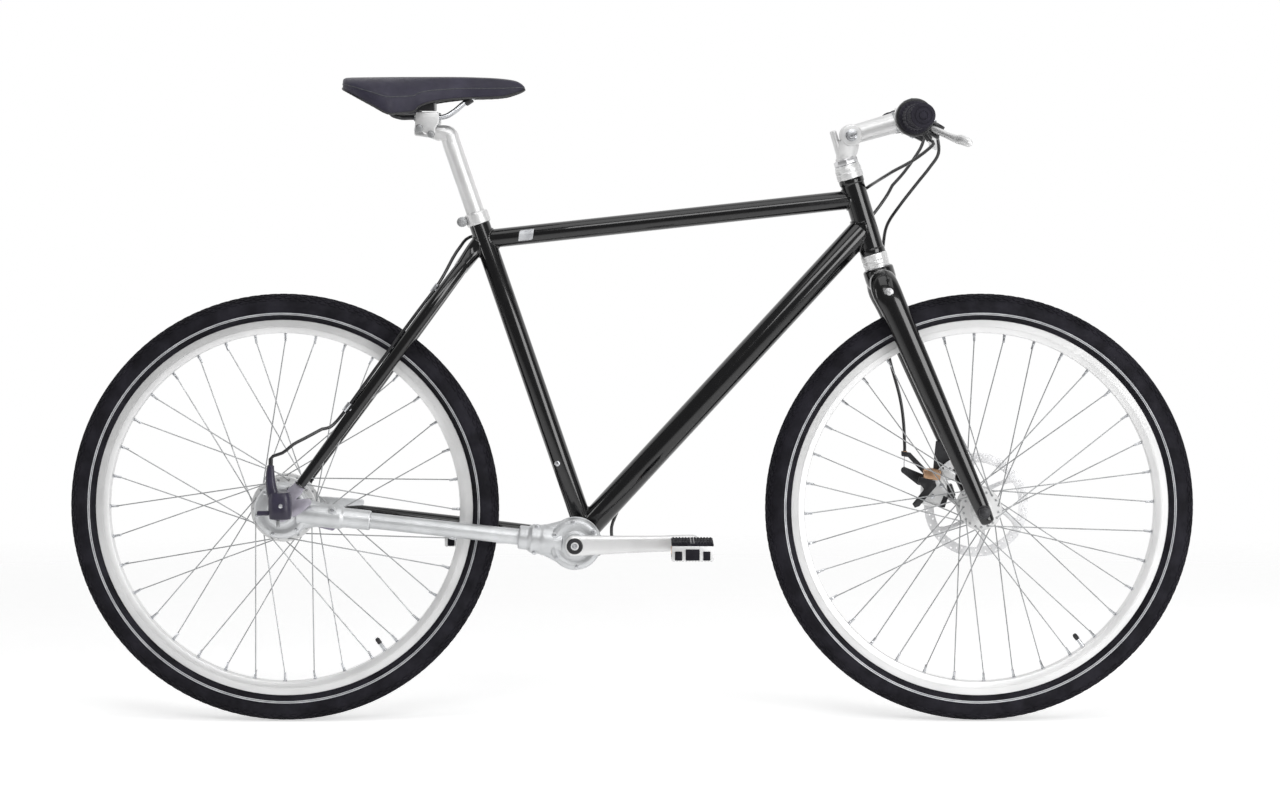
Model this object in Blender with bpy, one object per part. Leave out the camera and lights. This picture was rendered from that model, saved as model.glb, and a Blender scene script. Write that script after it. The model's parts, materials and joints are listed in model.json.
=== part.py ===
"""City bike with a shaft drive, in metres: +X forward, +Y to the rider's left, +Z up.

The origin is on the ground, midway between the two wheels' contact points.
"""

import math

import bmesh
import bpy
from mathutils import Matrix, Vector

for leftover in list(bpy.data.objects):
    bpy.data.objects.remove(leftover, do_unlink=True)

# Clearances
SEAT_GAP = 0.0003
RUNNING_GAP = 0.0004

# Wheels, 26 inch with a 47 mm tyre
WHEEL_SIDES = 36
TYRE_RADIUS = 0.326
TYRE_WIDTH = 0.047
TYRE_WALL = 0.0028
RIM_RADIUS = 0.2866
RIM_DEPTH = 0.0206
RIM_WIDTH = 0.0254
RIM_WALL = 0.0019
RIM_SEAT_DEPTH = 0.0074
RIM_WELL_DEPTH = 0.0112
SPOKE_COUNT = 36
SPOKE_CROSSES = 3
SPOKE_RADIUS = 0.001
SPOKE_SPREAD = 0.002
FLANGE_THICKNESS = 0.0032
FLANGE_RIM = 0.005

# Places of the axles, the bottom bracket and the frame's tubes
WHEELBASE = 1.056
REAR_CENTRES = 0.4424
BRACKET_DROP = 0.0493
SEAT_ANGLE = math.radians(71.1)
SEAT_TUBE_SETOFF = 0.019
SEAT_TUBE_LENGTH = 0.5105
TOP_TUBE_UP_SEAT_TUBE = 0.483
STAY_UP_SEAT_TUBE = 0.487
HEAD_ANGLE = math.radians(73.0)
FORK_RAKE = 0.0427
FORK_LENGTH = 0.395
HEAD_TUBE_LENGTH = 0.118
TOP_TUBE_BELOW_HEAD_TOP = 0.0316
DOWN_TUBE_ABOVE_HEAD_BASE = 0.0427

# Frame tubes
TUBE_SIDES = 12
HEAD_TUBE_RADIUS = 0.018
HEAD_TUBE_WALL = 0.002
TOP_TUBE_RADIUS = 0.0143
DOWN_TUBE_RADIUS = 0.0195
SEAT_TUBE_RADIUS = 0.0158
TUBE_WALL = 0.0016
WELD_RISE = 0.0018
WELD_LENGTH = 0.008
STAY_RADIUS = 0.0095
STAY_TOP_Y = 0.034
STAY_FOOT_Y = 0.0665
YOKE_RADIUS = 0.0125
YOKE_LENGTH = 0.060
YOKE_DROP = 0.026
CHAINSTAY_RADIUS = 0.011
CHAINSTAY_FRONT_Y = 0.036
BRACKET_SHELL_RADIUS = 0.0205
BRACKET_SHELL_WIDTH = 0.068
DROPOUT_Y = 0.0665
DROPOUT_THICKNESS = 0.006
DROPOUT_RADIUS = 0.015
STAY_FOOT_ABOVE_AXLE = 0.050

# Headset
CUP_RADIUS = 0.0200
LOWER_CUP_HEIGHT = 0.0214
UPPER_CUP_HEIGHT = 0.0215
LOCKNUT_HEIGHT = 0.009
LOCKNUT_RADIUS = 0.0185
STEERER_RADIUS = 0.0143
QUILL_RADIUS = 0.0111

# Fork
CROWN_HEIGHT = 0.026
CROWN_RADIUS = 0.0235
BLADE_TOP_Y = 0.040
BLADE_FOOT_Y = 0.0630
BLADE_TOP_DEPTH = 0.044
BLADE_MID_DEPTH = 0.036
BLADE_FOOT_DEPTH = 0.026
BLADE_WIDTH = 0.028
BLADE_FOOT_WIDTH = 0.018
BLADE_BELOW_AXLE = 0.021

# Hubs and axles
AXLE_RADIUS = 0.005
AXLE_NUT_RADIUS = 0.0095
AXLE_NUT_LENGTH = 0.009
FRONT_FLANGE_RADIUS = 0.027
FRONT_BARREL_RADIUS = 0.0150
FRONT_FLANGE_Y = 0.029
FRONT_HUB_HALF = 0.046
REAR_FLANGE_RADIUS = 0.045
REAR_BARREL_RADIUS = 0.0360
REAR_FLANGE_RIGHT_Y = -0.0215
REAR_FLANGE_LEFT_Y = 0.029
REAR_HUB_RIGHT_Y = -0.0290
REAR_HUB_LEFT_Y = 0.0420
ROTOR_RADIUS = 0.080
ROTOR_Y = 0.040
ROTOR_THICKNESS = 0.002
ROTOR_CARRIER_RADIUS = 0.024

# Shaft drive
SHAFT_Y = -0.048
GEAR_MODULE = 0.0025
RING_TEETH = 24
PINION_TEETH = 8
HUB_RING_TEETH = 16
RING_TIP_WIDTH = 0.0015
RING_ROOT_WIDTH = 0.0050
PINION_TIP_WIDTH = 0.0012
PINION_ROOT_WIDTH = 0.0032
TOOTH_FACE = 0.008
HUB_TOOTH_FACE = 0.006
TOOTH_TIP = 0.75
TOOTH_ROOT = 1.05
DRIVE_SHAFT_RADIUS = 0.005
SHAFT_HOUSING_RADIUS = 0.012
SHAFT_HOUSING_WALL = 0.002
GEAR_CASE_WALL = 0.003
FRONT_CASE_RADIUS = 0.040
REAR_CASE_RADIUS = 0.043
FRONT_CASE_OUTER_Y = -0.0715
REAR_CASE_OUTER_Y = -0.0615
NECK_RADIUS = 0.0180
FRONT_NECK_REACH = 0.086
REAR_NECK_REACH = 0.090
SHIFT_BOX_INNER_Y = 0.0800
SHIFT_BOX_WIDTH = 0.030

# Rear brake
BRAKE_PLATE_Y = 0.0425
BRAKE_PLATE_THICKNESS = 0.0075
BRAKE_ARM_THICKNESS = 0.004
BRAKE_ARM_PIN_RADIUS = 0.0035

# Cranks and pedals
CRANK_LENGTH = 0.175
CRANK_Y = 0.083
CRANK_THICKNESS = 0.014
CRANK_BOSS_RADIUS = 0.0150
CRANK_EYE_RADIUS = 0.0115
SPINDLE_RADIUS = 0.0085
SPINDLE_BOLT_RADIUS = 0.004
SPINDLE_BOLT_RISE = 0.0025
BRACKET_BOSS_END = 0.0720
CRANK_TILT = math.radians(1.5)
PEDAL_AXLE_RADIUS = 0.0045
PEDAL_WIDTH = 0.090
PEDAL_LENGTH = 0.063
PEDAL_HEIGHT = 0.036
PEDAL_GAP = 0.002

# Seat
SEATPOST_RADIUS = 0.0136
SEATPOST_LENGTH = 0.300
SEATPOST_SHOWN = 0.113
COLLAR_RADIUS = 0.0205
COLLAR_HEIGHT = 0.029
COLLAR_ABOVE_TUBE = 0.0235
CLAMP_DRUM_RADIUS = 0.0120
CLAMP_HALF_WIDTH = 0.0270
SADDLE_GROOVE = 0.003
RAIL_RADIUS = 0.0035
RAIL_SPREAD = 0.022

# Stem, bar and controls
STEM_PIVOT_UP = 0.0627
STEM_PIVOT_AHEAD = 0.0186
STEM_LENGTH = 0.0865
STEM_RISE = math.radians(16.1)
STEM_RADIUS = 0.0150
STEM_EAR_RADIUS = 0.0165
STEM_EAR_THICKNESS = 0.009
BAR_HALF = 0.298
BAR_RADIUS = 0.0111
BAR_CLAMP_RADIUS = 0.0127
BAR_WALL = 0.0018
STEM_CLAMP_WIDTH = 0.042
STEM_CLAMP_RADIUS = 0.0195
GRIP_RADIUS = 0.0165
GRIP_END_RADIUS = 0.0178
GRIP_LENGTH = 0.088
LEFT_GRIP_LENGTH = 0.128
TWIST_LENGTH = 0.046
SHIFTER_RADIUS = 0.028
SHIFTER_WIDTH = 0.024
BRACKET_WIDTH = 0.016
LEVER_DROP_ANGLE = math.radians(28.0)
LEVER_BARREL_AHEAD = 0.044
SHIFTER_BOSS_REACH = 0.040

# Cables
CABLE_RADIUS = 0.0025
CABLE_GAP = 0.0005

# Where the derived points of the side view lie
UP = Vector((0, 0, 1))
LEFT = Vector((0, 1, 0))
REAR_AXLE = Vector((-WHEELBASE / 2, 0, TYRE_RADIUS))
FRONT_AXLE = Vector((WHEELBASE / 2, 0, TYRE_RADIUS))
BRACKET = REAR_AXLE + Vector((REAR_CENTRES, 0, -BRACKET_DROP))
SEAT_UP = Vector((-math.cos(SEAT_ANGLE), 0, math.sin(SEAT_ANGLE)))
SEAT_BASE = BRACKET + Vector((SEAT_TUBE_SETOFF, 0, 0))
HEAD_UP = Vector((-math.cos(HEAD_ANGLE), 0, math.sin(HEAD_ANGLE)))
HEAD_AHEAD = Vector((math.sin(HEAD_ANGLE), 0, math.cos(HEAD_ANGLE)))
STEER_FOOT = FRONT_AXLE - HEAD_AHEAD * FORK_RAKE
CROWN_SEAT = STEER_FOOT + HEAD_UP * FORK_LENGTH
HEAD_BASE = CROWN_SEAT + HEAD_UP * (LOWER_CUP_HEIGHT + 2 * SEAT_GAP)
HEAD_TOP = HEAD_BASE + HEAD_UP * HEAD_TUBE_LENGTH
SEAT_TOP = SEAT_BASE + SEAT_UP * SEAT_TUBE_LENGTH
DRIVE_LINE = (REAR_AXLE - BRACKET).normalized()
DRIVE_LENGTH = (REAR_AXLE - BRACKET).length
TILT_PIVOT = Vector((-0.3090, 0, 0.9045))
BRAKE_ARM_PIVOT = REAR_AXLE + Vector((0.022, 0, -0.022))
BRAKE_ARM_TIP = REAR_AXLE + Vector((0.066, 0, -0.036))

# Finishes: colour, roughness, metallic
FINISHES = {
    "black_paint": ((0.012, 0.012, 0.014), 0.18, 0.0),
    "silver_cast": ((0.62, 0.63, 0.65), 0.38, 0.9),
    "polished": ((0.78, 0.78, 0.80), 0.16, 1.0),
    "steel": ((0.55, 0.56, 0.58), 0.3, 1.0),
    "dark_metal": ((0.06, 0.06, 0.065), 0.4, 0.6),
    "rubber": ((0.016, 0.016, 0.018), 0.75, 0.0),
    "black_plastic": ((0.02, 0.02, 0.022), 0.45, 0.0),
    "slate_vinyl": ((0.025, 0.028, 0.036), 0.5, 0.0),
    "cable": ((0.01, 0.01, 0.011), 0.35, 0.0),
}
WELD = 1e-6
SHARP_ANGLE = math.radians(32)


def aim(start, direction, side=LEFT):
    """The place whose local +Z runs along direction from start, square to side."""
    along = direction.normalized()
    across = side.cross(along).normalized()
    third = along.cross(across)
    return Matrix.Translation(start) @ Matrix((across, third, along)).transposed().to_4x4()


def at_y(point):
    """The place whose local +Z is world +Y, so that heights read as distances to the left."""
    return aim(Vector((point.x, 0, point.z)), LEFT, UP)


def piece(name, bm, finish, place=None):
    """A closed body from a bmesh, with its own material."""
    bmesh.ops.remove_doubles(bm, verts=bm.verts, dist=WELD)
    bmesh.ops.recalc_face_normals(bm, faces=bm.faces)
    mesh = bpy.data.meshes.new(name)
    bm.to_mesh(mesh)
    bm.free()
    mesh.shade_smooth()
    mesh.set_sharp_from_angle(angle=SHARP_ANGLE)
    obj = bpy.data.objects.new(name, mesh)
    bpy.context.collection.objects.link(obj)
    if place is not None:
        obj.matrix_world = place
    if finish:
        paint(obj, finish)
    return obj


def paint(obj, finish):
    colour, roughness, metallic = FINISHES[finish]
    coat = bpy.data.materials.new(obj.name)
    coat.use_nodes = True
    shader = coat.node_tree.nodes["Principled BSDF"]
    shader.inputs["Base Color"].default_value = (*colour, 1)
    shader.inputs["Roughness"].default_value = roughness
    shader.inputs["Metallic"].default_value = metallic
    obj.data.materials.append(coat)


def helper(bm, place=None):
    """A shape that only cuts or joins another, and isn't part of the bike."""
    obj = piece("helper", bm, None, place)
    obj.hide_render = True
    obj.display_type = "WIRE"
    return obj


def boolean(target, operation, tools):
    for tool in tools:
        modifier = target.modifiers.new(operation.lower(), "BOOLEAN")
        modifier.operation = operation
        modifier.solver = "EXACT"
        modifier.object = tool
    return target


def cut(target, *tools):
    return boolean(target, "DIFFERENCE", tools)


def join(target, *tools):
    return boolean(target, "UNION", tools)


def circle(radius, height, sides):
    turns = [2 * math.pi * i / sides for i in range(sides)]
    return [Vector((radius * math.cos(a), radius * math.sin(a), height)) for a in turns]


def turned(profile, sides=TUBE_SIDES):
    """A profile of (radius, height) points turned round local Z.

    One that starts and ends on the axis gets a single flat face at each end.
    """
    if profile[0][0] == 0 and profile[-1][0] == 0:
        return lofted([circle(radius, height, sides) for radius, height in profile[1:-1]])
    bm = bmesh.new()
    verts = [bm.verts.new((radius, 0, height)) for radius, height in profile]
    edges = []
    for first, second in zip(verts, verts[1:] + verts[:1]):
        if first.co.x > 0 or second.co.x > 0:
            edges.append(bm.edges.new((first, second)))
    bmesh.ops.spin(
        bm,
        geom=verts + edges,
        cent=(0, 0, 0),
        axis=(0, 0, 1),
        angle=2 * math.pi,
        steps=sides,
        use_merge=True,
    )
    return bm


def rod(radius, low, high, sides=TUBE_SIDES):
    return turned([(0, low), (radius, low), (radius, high), (0, high)], sides)


def pipe(radius, bore, low, high, sides=TUBE_SIDES):
    return turned([(bore, low), (radius, low), (radius, high), (bore, high)], sides)


def round_room(radius, sides):
    """The corner radius of a faceted hole whose flats clear a round of this radius."""
    return radius / math.cos(math.pi / sides)


def rod_between(start, end, radius, sides=16, side=LEFT):
    """A helper rod from start to end, flats at radius, none of them in line with a tube's."""
    place = aim(start, end - start, side) @ Matrix.Rotation(math.pi / sides * 0.7, 4, "Z")
    return helper(rod(round_room(radius, sides), 0, (end - start).length, sides), place)


def across(point, radius, low_y, high_y, sides=TUBE_SIDES):
    """A helper rod along Y through point, from low_y to high_y."""
    return helper(rod(radius, low_y, high_y, sides), at_y(point))


def box(size):
    bm = bmesh.new()
    bmesh.ops.create_cube(bm, size=1)
    bmesh.ops.scale(bm, vec=size, verts=bm.verts)
    return bm


def slab(outline, low, high):
    """An outline of (x, y) points pulled up along local Z from low to high."""
    bm = bmesh.new()
    face = bm.faces.new([bm.verts.new((x, y, low)) for x, y in outline])
    pulled = bmesh.ops.extrude_face_region(bm, geom=[face])["geom"]
    lifted = [item for item in pulled if isinstance(item, bmesh.types.BMVert)]
    bmesh.ops.translate(bm, vec=(0, 0, high - low), verts=lifted)
    return bm


def lofted(rings):
    """Rings of as many points each, skinned one to the next and capped at both ends."""
    bm = bmesh.new()
    loops = [[bm.verts.new(point) for point in ring] for ring in rings]
    for low, high in zip(loops, loops[1:]):
        for i in range(len(low)):
            j = (i + 1) % len(low)
            bm.faces.new((low[i], low[j], high[j], high[i]))
    bm.faces.new(loops[0][::-1])
    bm.faces.new(loops[-1])
    return bm


def oval(centre, along, half_x, half_y, sides, side=LEFT, power=1.0):
    """A ring round centre, square to along: half_x is square to side, half_y lies with it."""
    place = aim(centre, along, side)
    ring = []
    for i in range(sides):
        angle = 2 * math.pi * (i + 0.5) / sides
        x = math.copysign(abs(math.cos(angle)) ** power, math.cos(angle)) * half_x
        y = math.copysign(abs(math.sin(angle)) ** power, math.sin(angle)) * half_y
        ring.append(place @ Vector((x, y, 0)))
    return ring


def swept(points, halves, sides=12, side=LEFT, power=1.0):
    """An oval section carried along points; halves holds one (half_x, half_y) for each."""
    rings = []
    for i, point in enumerate(points):
        before = points[max(i - 1, 0)]
        after = points[min(i + 1, len(points) - 1)]
        rings.append(oval(point, after - before, *halves[i], sides, side, power))
    return lofted(rings)


def smooth_route(points, count):
    """Count points, evenly apart, on a smooth curve through the given ones."""
    fine = []
    ends = [2 * points[0] - points[1]] + points + [2 * points[-1] - points[-2]]
    for a, b, c, d in zip(ends, ends[1:], ends[2:], ends[3:]):
        for i in range(20):
            t = i / 20
            fine.append(
                0.5 * (2 * b + (c - a) * t + (2 * a - 5 * b + 4 * c - d) * t * t
                       + (3 * b - a - 3 * c + d) * t ** 3)
            )
    fine.append(points[-1])
    far = [0.0]
    for first, second in zip(fine, fine[1:]):
        far.append(far[-1] + (second - first).length)
    route = []
    at = 0
    for i in range(count):
        goal = far[-1] * i / (count - 1)
        while at < len(fine) - 2 and far[at + 1] < goal:
            at += 1
        share = (goal - far[at]) / (far[at + 1] - far[at])
        route.append(fine[at].lerp(fine[at + 1], min(share, 1)))
    return route


def carried_by(name, place_point, nodes, parent=None):
    """An empty on a joint's axis that carries the pieces which turn or slide about it."""
    empty = bpy.data.objects.new(name, None)
    bpy.context.collection.objects.link(empty)
    empty.location = place_point
    bpy.context.view_layer.update()
    if parent:
        empty.parent = parent
        empty.matrix_parent_inverse = parent.matrix_world.inverted()
    for node in nodes:
        node.parent = empty
        node.matrix_parent_inverse = empty.matrix_world.inverted()
    return empty


# Wheels: tyre, rim, and hub shell with its laced spokes
def tyre(name, axle):
    crown = TYRE_RADIUS - TYRE_WIDTH / 2
    bead = RIM_RADIUS + 0.0016
    outside = []
    for i in range(7):
        angle = math.radians(-116 + 232 * i / 6)
        outside.append((crown + math.cos(angle) * TYRE_WIDTH / 2, math.sin(angle) * TYRE_WIDTH / 2))
    inner = TYRE_WIDTH / 2 - TYRE_WALL
    inside = []
    for i in range(2):
        angle = math.radians(62 - 124 * i)
        inside.append((crown + math.cos(angle) * inner, math.sin(angle) * inner))
    bead_y = RIM_WIDTH / 2 - RIM_WALL - SEAT_GAP
    heel = RIM_RADIUS - RIM_SEAT_DEPTH + 2 * SEAT_GAP
    left = [(bead, bead_y), (heel, bead_y), (heel, bead_y - TYRE_WALL)]
    right = [(radius, -y) for radius, y in reversed(left)]
    profile = outside + left + inside + right
    return piece(name, turned(profile, WHEEL_SIDES), "rubber", at_y(axle))


def rim(name, axle):
    half = RIM_WIDTH / 2
    seat = RIM_RADIUS - RIM_SEAT_DEPTH
    well = RIM_RADIUS - RIM_WELL_DEPTH
    base = RIM_RADIUS - RIM_DEPTH
    side = [
        (RIM_RADIUS, half - RIM_WALL),
        (RIM_RADIUS, half),
        (base, half * 0.72),
    ]
    trough = [(well, half * 0.4), (seat, half - RIM_WALL)]
    profile = side + [(r, -y) for r, y in reversed(side)]
    profile += [(r, -y) for r, y in reversed(trough)] + trough
    return piece(name, turned(profile, WHEEL_SIDES), "silver_cast", at_y(axle))


def spokes(axle, flanges, first_angle):
    """Helper with every spoke of a wheel; flanges holds (Y, hole radius) for right and left."""
    bm = bmesh.new()
    rim_end = (RIM_RADIUS - RIM_DEPTH) * math.cos(math.pi / WHEEL_SIDES) - SEAT_GAP
    per_side = SPOKE_COUNT // 2
    spacing = 2 * math.pi / per_side
    sections = []
    for side, (flange_y, hole_radius) in enumerate(flanges):
        outward = 1 if side else -1
        for i in range(per_side):
            trail = 1 if i % 2 else -1
            rim_angle = first_angle + spacing * (i + side / 2)
            hub_angle = rim_angle + trail * SPOKE_CROSSES * spacing
            hub_y = flange_y + trail * SPOKE_SPREAD
            sections.append((hub_angle, rim_angle, hole_radius, hub_y, outward * SPOKE_SPREAD))
    for hub_angle, rim_angle, hole_radius, hub_y, rim_y in sections:
        low = Vector((hole_radius * math.cos(hub_angle), hub_y, hole_radius * math.sin(hub_angle)))
        high = Vector((rim_end * math.cos(rim_angle), rim_y, rim_end * math.sin(rim_angle)))
        along = (high - low).normalized()
        radius = SPOKE_RADIUS
        lower = [bm.verts.new(axle + point) for point in oval(low, along, radius, radius, 3)]
        upper = [bm.verts.new(axle + point) for point in oval(high, along, radius, radius, 3)]
        for k in range(3):
            bm.faces.new((lower[k], lower[(k + 1) % 3], upper[(k + 1) % 3], upper[k]))
        bm.faces.new(lower[::-1])
        bm.faces.new(upper)
    return helper(bm)


def flange(y, hole_radius):
    """Profile points of a hub flange, from its right to its left face."""
    half = FLANGE_THICKNESS / 2
    outer = hole_radius + FLANGE_RIM
    return [(outer, y - half), (outer, y + half)]


def front_hub():
    bore = AXLE_RADIUS + RUNNING_GAP
    half = FLANGE_THICKNESS / 2
    barrel = FRONT_BARREL_RADIUS
    rotor_seat = ROTOR_Y - ROTOR_THICKNESS / 2 - SEAT_GAP
    profile = [
        (bore, -FRONT_HUB_HALF),
        (barrel * 0.75, -FRONT_HUB_HALF),
        (barrel + 0.002, -FRONT_FLANGE_Y - half),
        *flange(-FRONT_FLANGE_Y, FRONT_FLANGE_RADIUS),
        (barrel, -FRONT_FLANGE_Y + half + 0.003),
        (barrel, FRONT_FLANGE_Y - half - 0.003),
        *flange(FRONT_FLANGE_Y, FRONT_FLANGE_RADIUS),
        (ROTOR_CARRIER_RADIUS - 0.003, FRONT_FLANGE_Y + half),
        (ROTOR_CARRIER_RADIUS - 0.003, rotor_seat),
        (barrel * 0.75, rotor_seat),
        (barrel * 0.75, FRONT_HUB_HALF),
        (bore, FRONT_HUB_HALF),
    ]
    hub = piece("front_hub_and_spokes", turned(profile, 14), "steel", at_y(FRONT_AXLE))
    holes = [(-FRONT_FLANGE_Y, FRONT_FLANGE_RADIUS), (FRONT_FLANGE_Y, FRONT_FLANGE_RADIUS)]
    return join(hub, spokes(FRONT_AXLE, holes, math.radians(-8)))


def rear_hub():
    bore = AXLE_RADIUS + RUNNING_GAP
    half = FLANGE_THICKNESS / 2
    barrel = REAR_BARREL_RADIUS
    profile = [
        (bore, REAR_HUB_RIGHT_Y),
        (barrel, REAR_HUB_RIGHT_Y),
        (barrel, REAR_FLANGE_RIGHT_Y - half),
        *flange(REAR_FLANGE_RIGHT_Y, REAR_FLANGE_RADIUS),
        (barrel, REAR_FLANGE_RIGHT_Y + half + 0.003),
        (barrel, REAR_FLANGE_LEFT_Y - half - 0.003),
        *flange(REAR_FLANGE_LEFT_Y, REAR_FLANGE_RADIUS),
        (barrel + 0.004, REAR_FLANGE_LEFT_Y + half),
        (barrel + 0.004, REAR_HUB_LEFT_Y),
        (bore, REAR_HUB_LEFT_Y),
    ]
    hub = piece("rear_hub_and_spokes", turned(profile, 16), "silver_cast", at_y(REAR_AXLE))
    holes = [(REAR_FLANGE_RIGHT_Y, REAR_FLANGE_RADIUS), (REAR_FLANGE_LEFT_Y, REAR_FLANGE_RADIUS)]
    return join(hub, spokes(REAR_AXLE, holes, math.radians(-80.5)))


def brake_rotor():
    """Thin disc with six slanted windows between its track and its carrier."""
    half = ROTOR_THICKNESS / 2
    bore = round_room(FRONT_BARREL_RADIUS * 0.75 + SEAT_GAP, 10)
    disc = piece(
        "brake_rotor",
        rod(ROTOR_RADIUS, ROTOR_Y - half, ROTOR_Y + half, 28),
        "steel",
        at_y(FRONT_AXLE),
    )
    windows = [across(FRONT_AXLE, bore, ROTOR_Y - 0.01, ROTOR_Y + 0.01, 10)]
    for i in range(6):
        turn = math.pi * i / 3 + 0.06
        outline = []
        for radius, lean in ((0.030, 10), (0.062, 26), (0.062, 62), (0.030, 46)):
            angle = turn + math.radians(lean)
            outline.append((radius * math.cos(angle), radius * math.sin(angle)))
        windows.append(helper(slab(outline, ROTOR_Y - 0.01, ROTOR_Y + 0.01), at_y(FRONT_AXLE)))
    return cut(disc, *windows)


front_wheel = [
    tyre("front_tyre", FRONT_AXLE),
    rim("front_rim", FRONT_AXLE),
    front_hub(),
    brake_rotor(),
]
rear_wheel = [tyre("rear_tyre", REAR_AXLE), rim("rear_rim", REAR_AXLE), rear_hub()]


# Frame: welded tubes, each cut to its neighbours
def frame_tube(name, start, end, radius, finish="black_paint", welds=(0.0, 0.0)):
    """A pipe from start to end. Each weld is how far from that end its bead reaches."""
    length = (end - start).length
    low, high = welds
    bore = radius - TUBE_WALL
    outer = [(radius, low), (radius, length - high)]
    if low:
        outer = [(radius + WELD_RISE, 0), (radius + WELD_RISE, low - WELD_LENGTH)] + outer
    if high:
        outer += [(radius + WELD_RISE, length - high + WELD_LENGTH), (radius + WELD_RISE, length)]
    if not low:
        outer[0] = (radius, 0)
    if not high:
        outer[-1] = (radius, length)
    profile = [(bore, 0)] + outer + [(bore, length)]
    return piece(name, turned(profile), finish, aim(start, end - start))


def mirrored(point, y):
    return Vector((point.x, y, point.z))


TOP_TUBE_REAR = SEAT_BASE + SEAT_UP * TOP_TUBE_UP_SEAT_TUBE
TOP_TUBE_FRONT = HEAD_TOP - HEAD_UP * TOP_TUBE_BELOW_HEAD_TOP
DOWN_TUBE_FRONT = HEAD_BASE + HEAD_UP * DOWN_TUBE_ABOVE_HEAD_BASE
STAY_TOP = SEAT_BASE + SEAT_UP * STAY_UP_SEAT_TUBE
STAY_DOWN = (REAR_AXLE - STAY_TOP).normalized()
STAY_FOOT = REAR_AXLE - STAY_DOWN * STAY_FOOT_ABOVE_AXLE
SEAT_BORE = SEATPOST_RADIUS + SEAT_GAP


def head_tube_cutter():
    return rod_between(
        HEAD_BASE - HEAD_UP * 0.02, HEAD_TOP + HEAD_UP * 0.02, HEAD_TUBE_RADIUS + SEAT_GAP
    )


def seat_tube_cutter():
    return rod_between(
        SEAT_BASE - SEAT_UP * 0.05, SEAT_TOP + SEAT_UP * 0.05, SEAT_TUBE_RADIUS + SEAT_GAP
    )


def bracket_shell_cutter():
    return across(BRACKET, round_room(BRACKET_SHELL_RADIUS + SEAT_GAP, 16), -0.06, 0.06, 16)


def head_tube():
    bore = HEAD_TUBE_RADIUS - HEAD_TUBE_WALL
    ring = HEAD_TUBE_RADIUS + 0.0012
    profile = [
        (bore, 0),
        (ring, 0),
        (ring, 0.007),
        (HEAD_TUBE_RADIUS, 0.008),
        (HEAD_TUBE_RADIUS, HEAD_TUBE_LENGTH - 0.008),
        (ring, HEAD_TUBE_LENGTH - 0.007),
        (ring, HEAD_TUBE_LENGTH),
        (bore, HEAD_TUBE_LENGTH),
    ]
    return piece("head_tube", turned(profile), "black_paint", aim(HEAD_BASE, HEAD_UP))


def top_tube():
    tube = frame_tube(
        "top_tube", TOP_TUBE_REAR, TOP_TUBE_FRONT, TOP_TUBE_RADIUS, welds=(0.028, 0.031)
    )
    return cut(tube, seat_tube_cutter(), head_tube_cutter())


def down_tube():
    tube = frame_tube(
        "down_tube", BRACKET, DOWN_TUBE_FRONT, DOWN_TUBE_RADIUS, welds=(0.032, 0.040)
    )
    top_room = rod_between(TOP_TUBE_REAR, TOP_TUBE_FRONT, TOP_TUBE_RADIUS + WELD_RISE + SEAT_GAP)
    return cut(tube, bracket_shell_cutter(), head_tube_cutter(), top_room)


def seat_tube():
    """The seat tube, bored for the post, with the yoke that carries the seat stays."""
    outside = rod(SEAT_TUBE_RADIUS, 0, SEAT_TUBE_LENGTH)
    tube = piece("seat_tube", outside, "black_paint", aim(SEAT_BASE, SEAT_UP))
    yoke_start = STAY_TOP + STAY_DOWN * (SEAT_TUBE_RADIUS * 0.6)
    yoke_end = STAY_TOP + STAY_DOWN * YOKE_LENGTH
    half = STAY_TOP_Y * 0.62
    rings = [
        oval(yoke_start, STAY_DOWN, YOKE_RADIUS, YOKE_RADIUS, 16),
        oval(STAY_TOP + STAY_DOWN * YOKE_DROP, STAY_DOWN, YOKE_RADIUS, YOKE_RADIUS * 1.1, 16),
        oval(yoke_end, STAY_DOWN, YOKE_RADIUS * 0.9, half + STAY_RADIUS, 16, power=0.8),
    ]
    yoke = helper(lofted(rings))
    join(tube, yoke)
    bore = rod_between(SEAT_BASE - SEAT_UP * 0.02, SEAT_TOP + SEAT_UP * 0.02, SEAT_BORE)
    down_room = rod_between(BRACKET, DOWN_TUBE_FRONT, DOWN_TUBE_RADIUS + WELD_RISE + SEAT_GAP)
    below_down_tube = helper(
        slab([(0, -0.05), (0.1, -0.05), (0.1, 0.05), (0, 0.05)], -0.05, 0.15),
        aim(BRACKET, DOWN_TUBE_FRONT - BRACKET),
    )
    return cut(tube, bore, bracket_shell_cutter(), down_room, below_down_tube)


def bracket_shell():
    half = BRACKET_SHELL_WIDTH / 2
    profile = [
        (BRACKET_SHELL_RADIUS - 0.004, -half),
        (BRACKET_SHELL_RADIUS, -half),
        (BRACKET_SHELL_RADIUS, half),
        (BRACKET_SHELL_RADIUS - 0.003, half),
        (BRACKET_SHELL_RADIUS - 0.003, half + 0.0035),
        (SPINDLE_RADIUS + RUNNING_GAP, half + 0.0035),
        (SPINDLE_RADIUS + RUNNING_GAP, half - 0.010),
        (BRACKET_SHELL_RADIUS - 0.004, half - 0.010),
    ]
    return piece("bottom_bracket_shell", turned(profile, 14), "black_paint", at_y(BRACKET))


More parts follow.
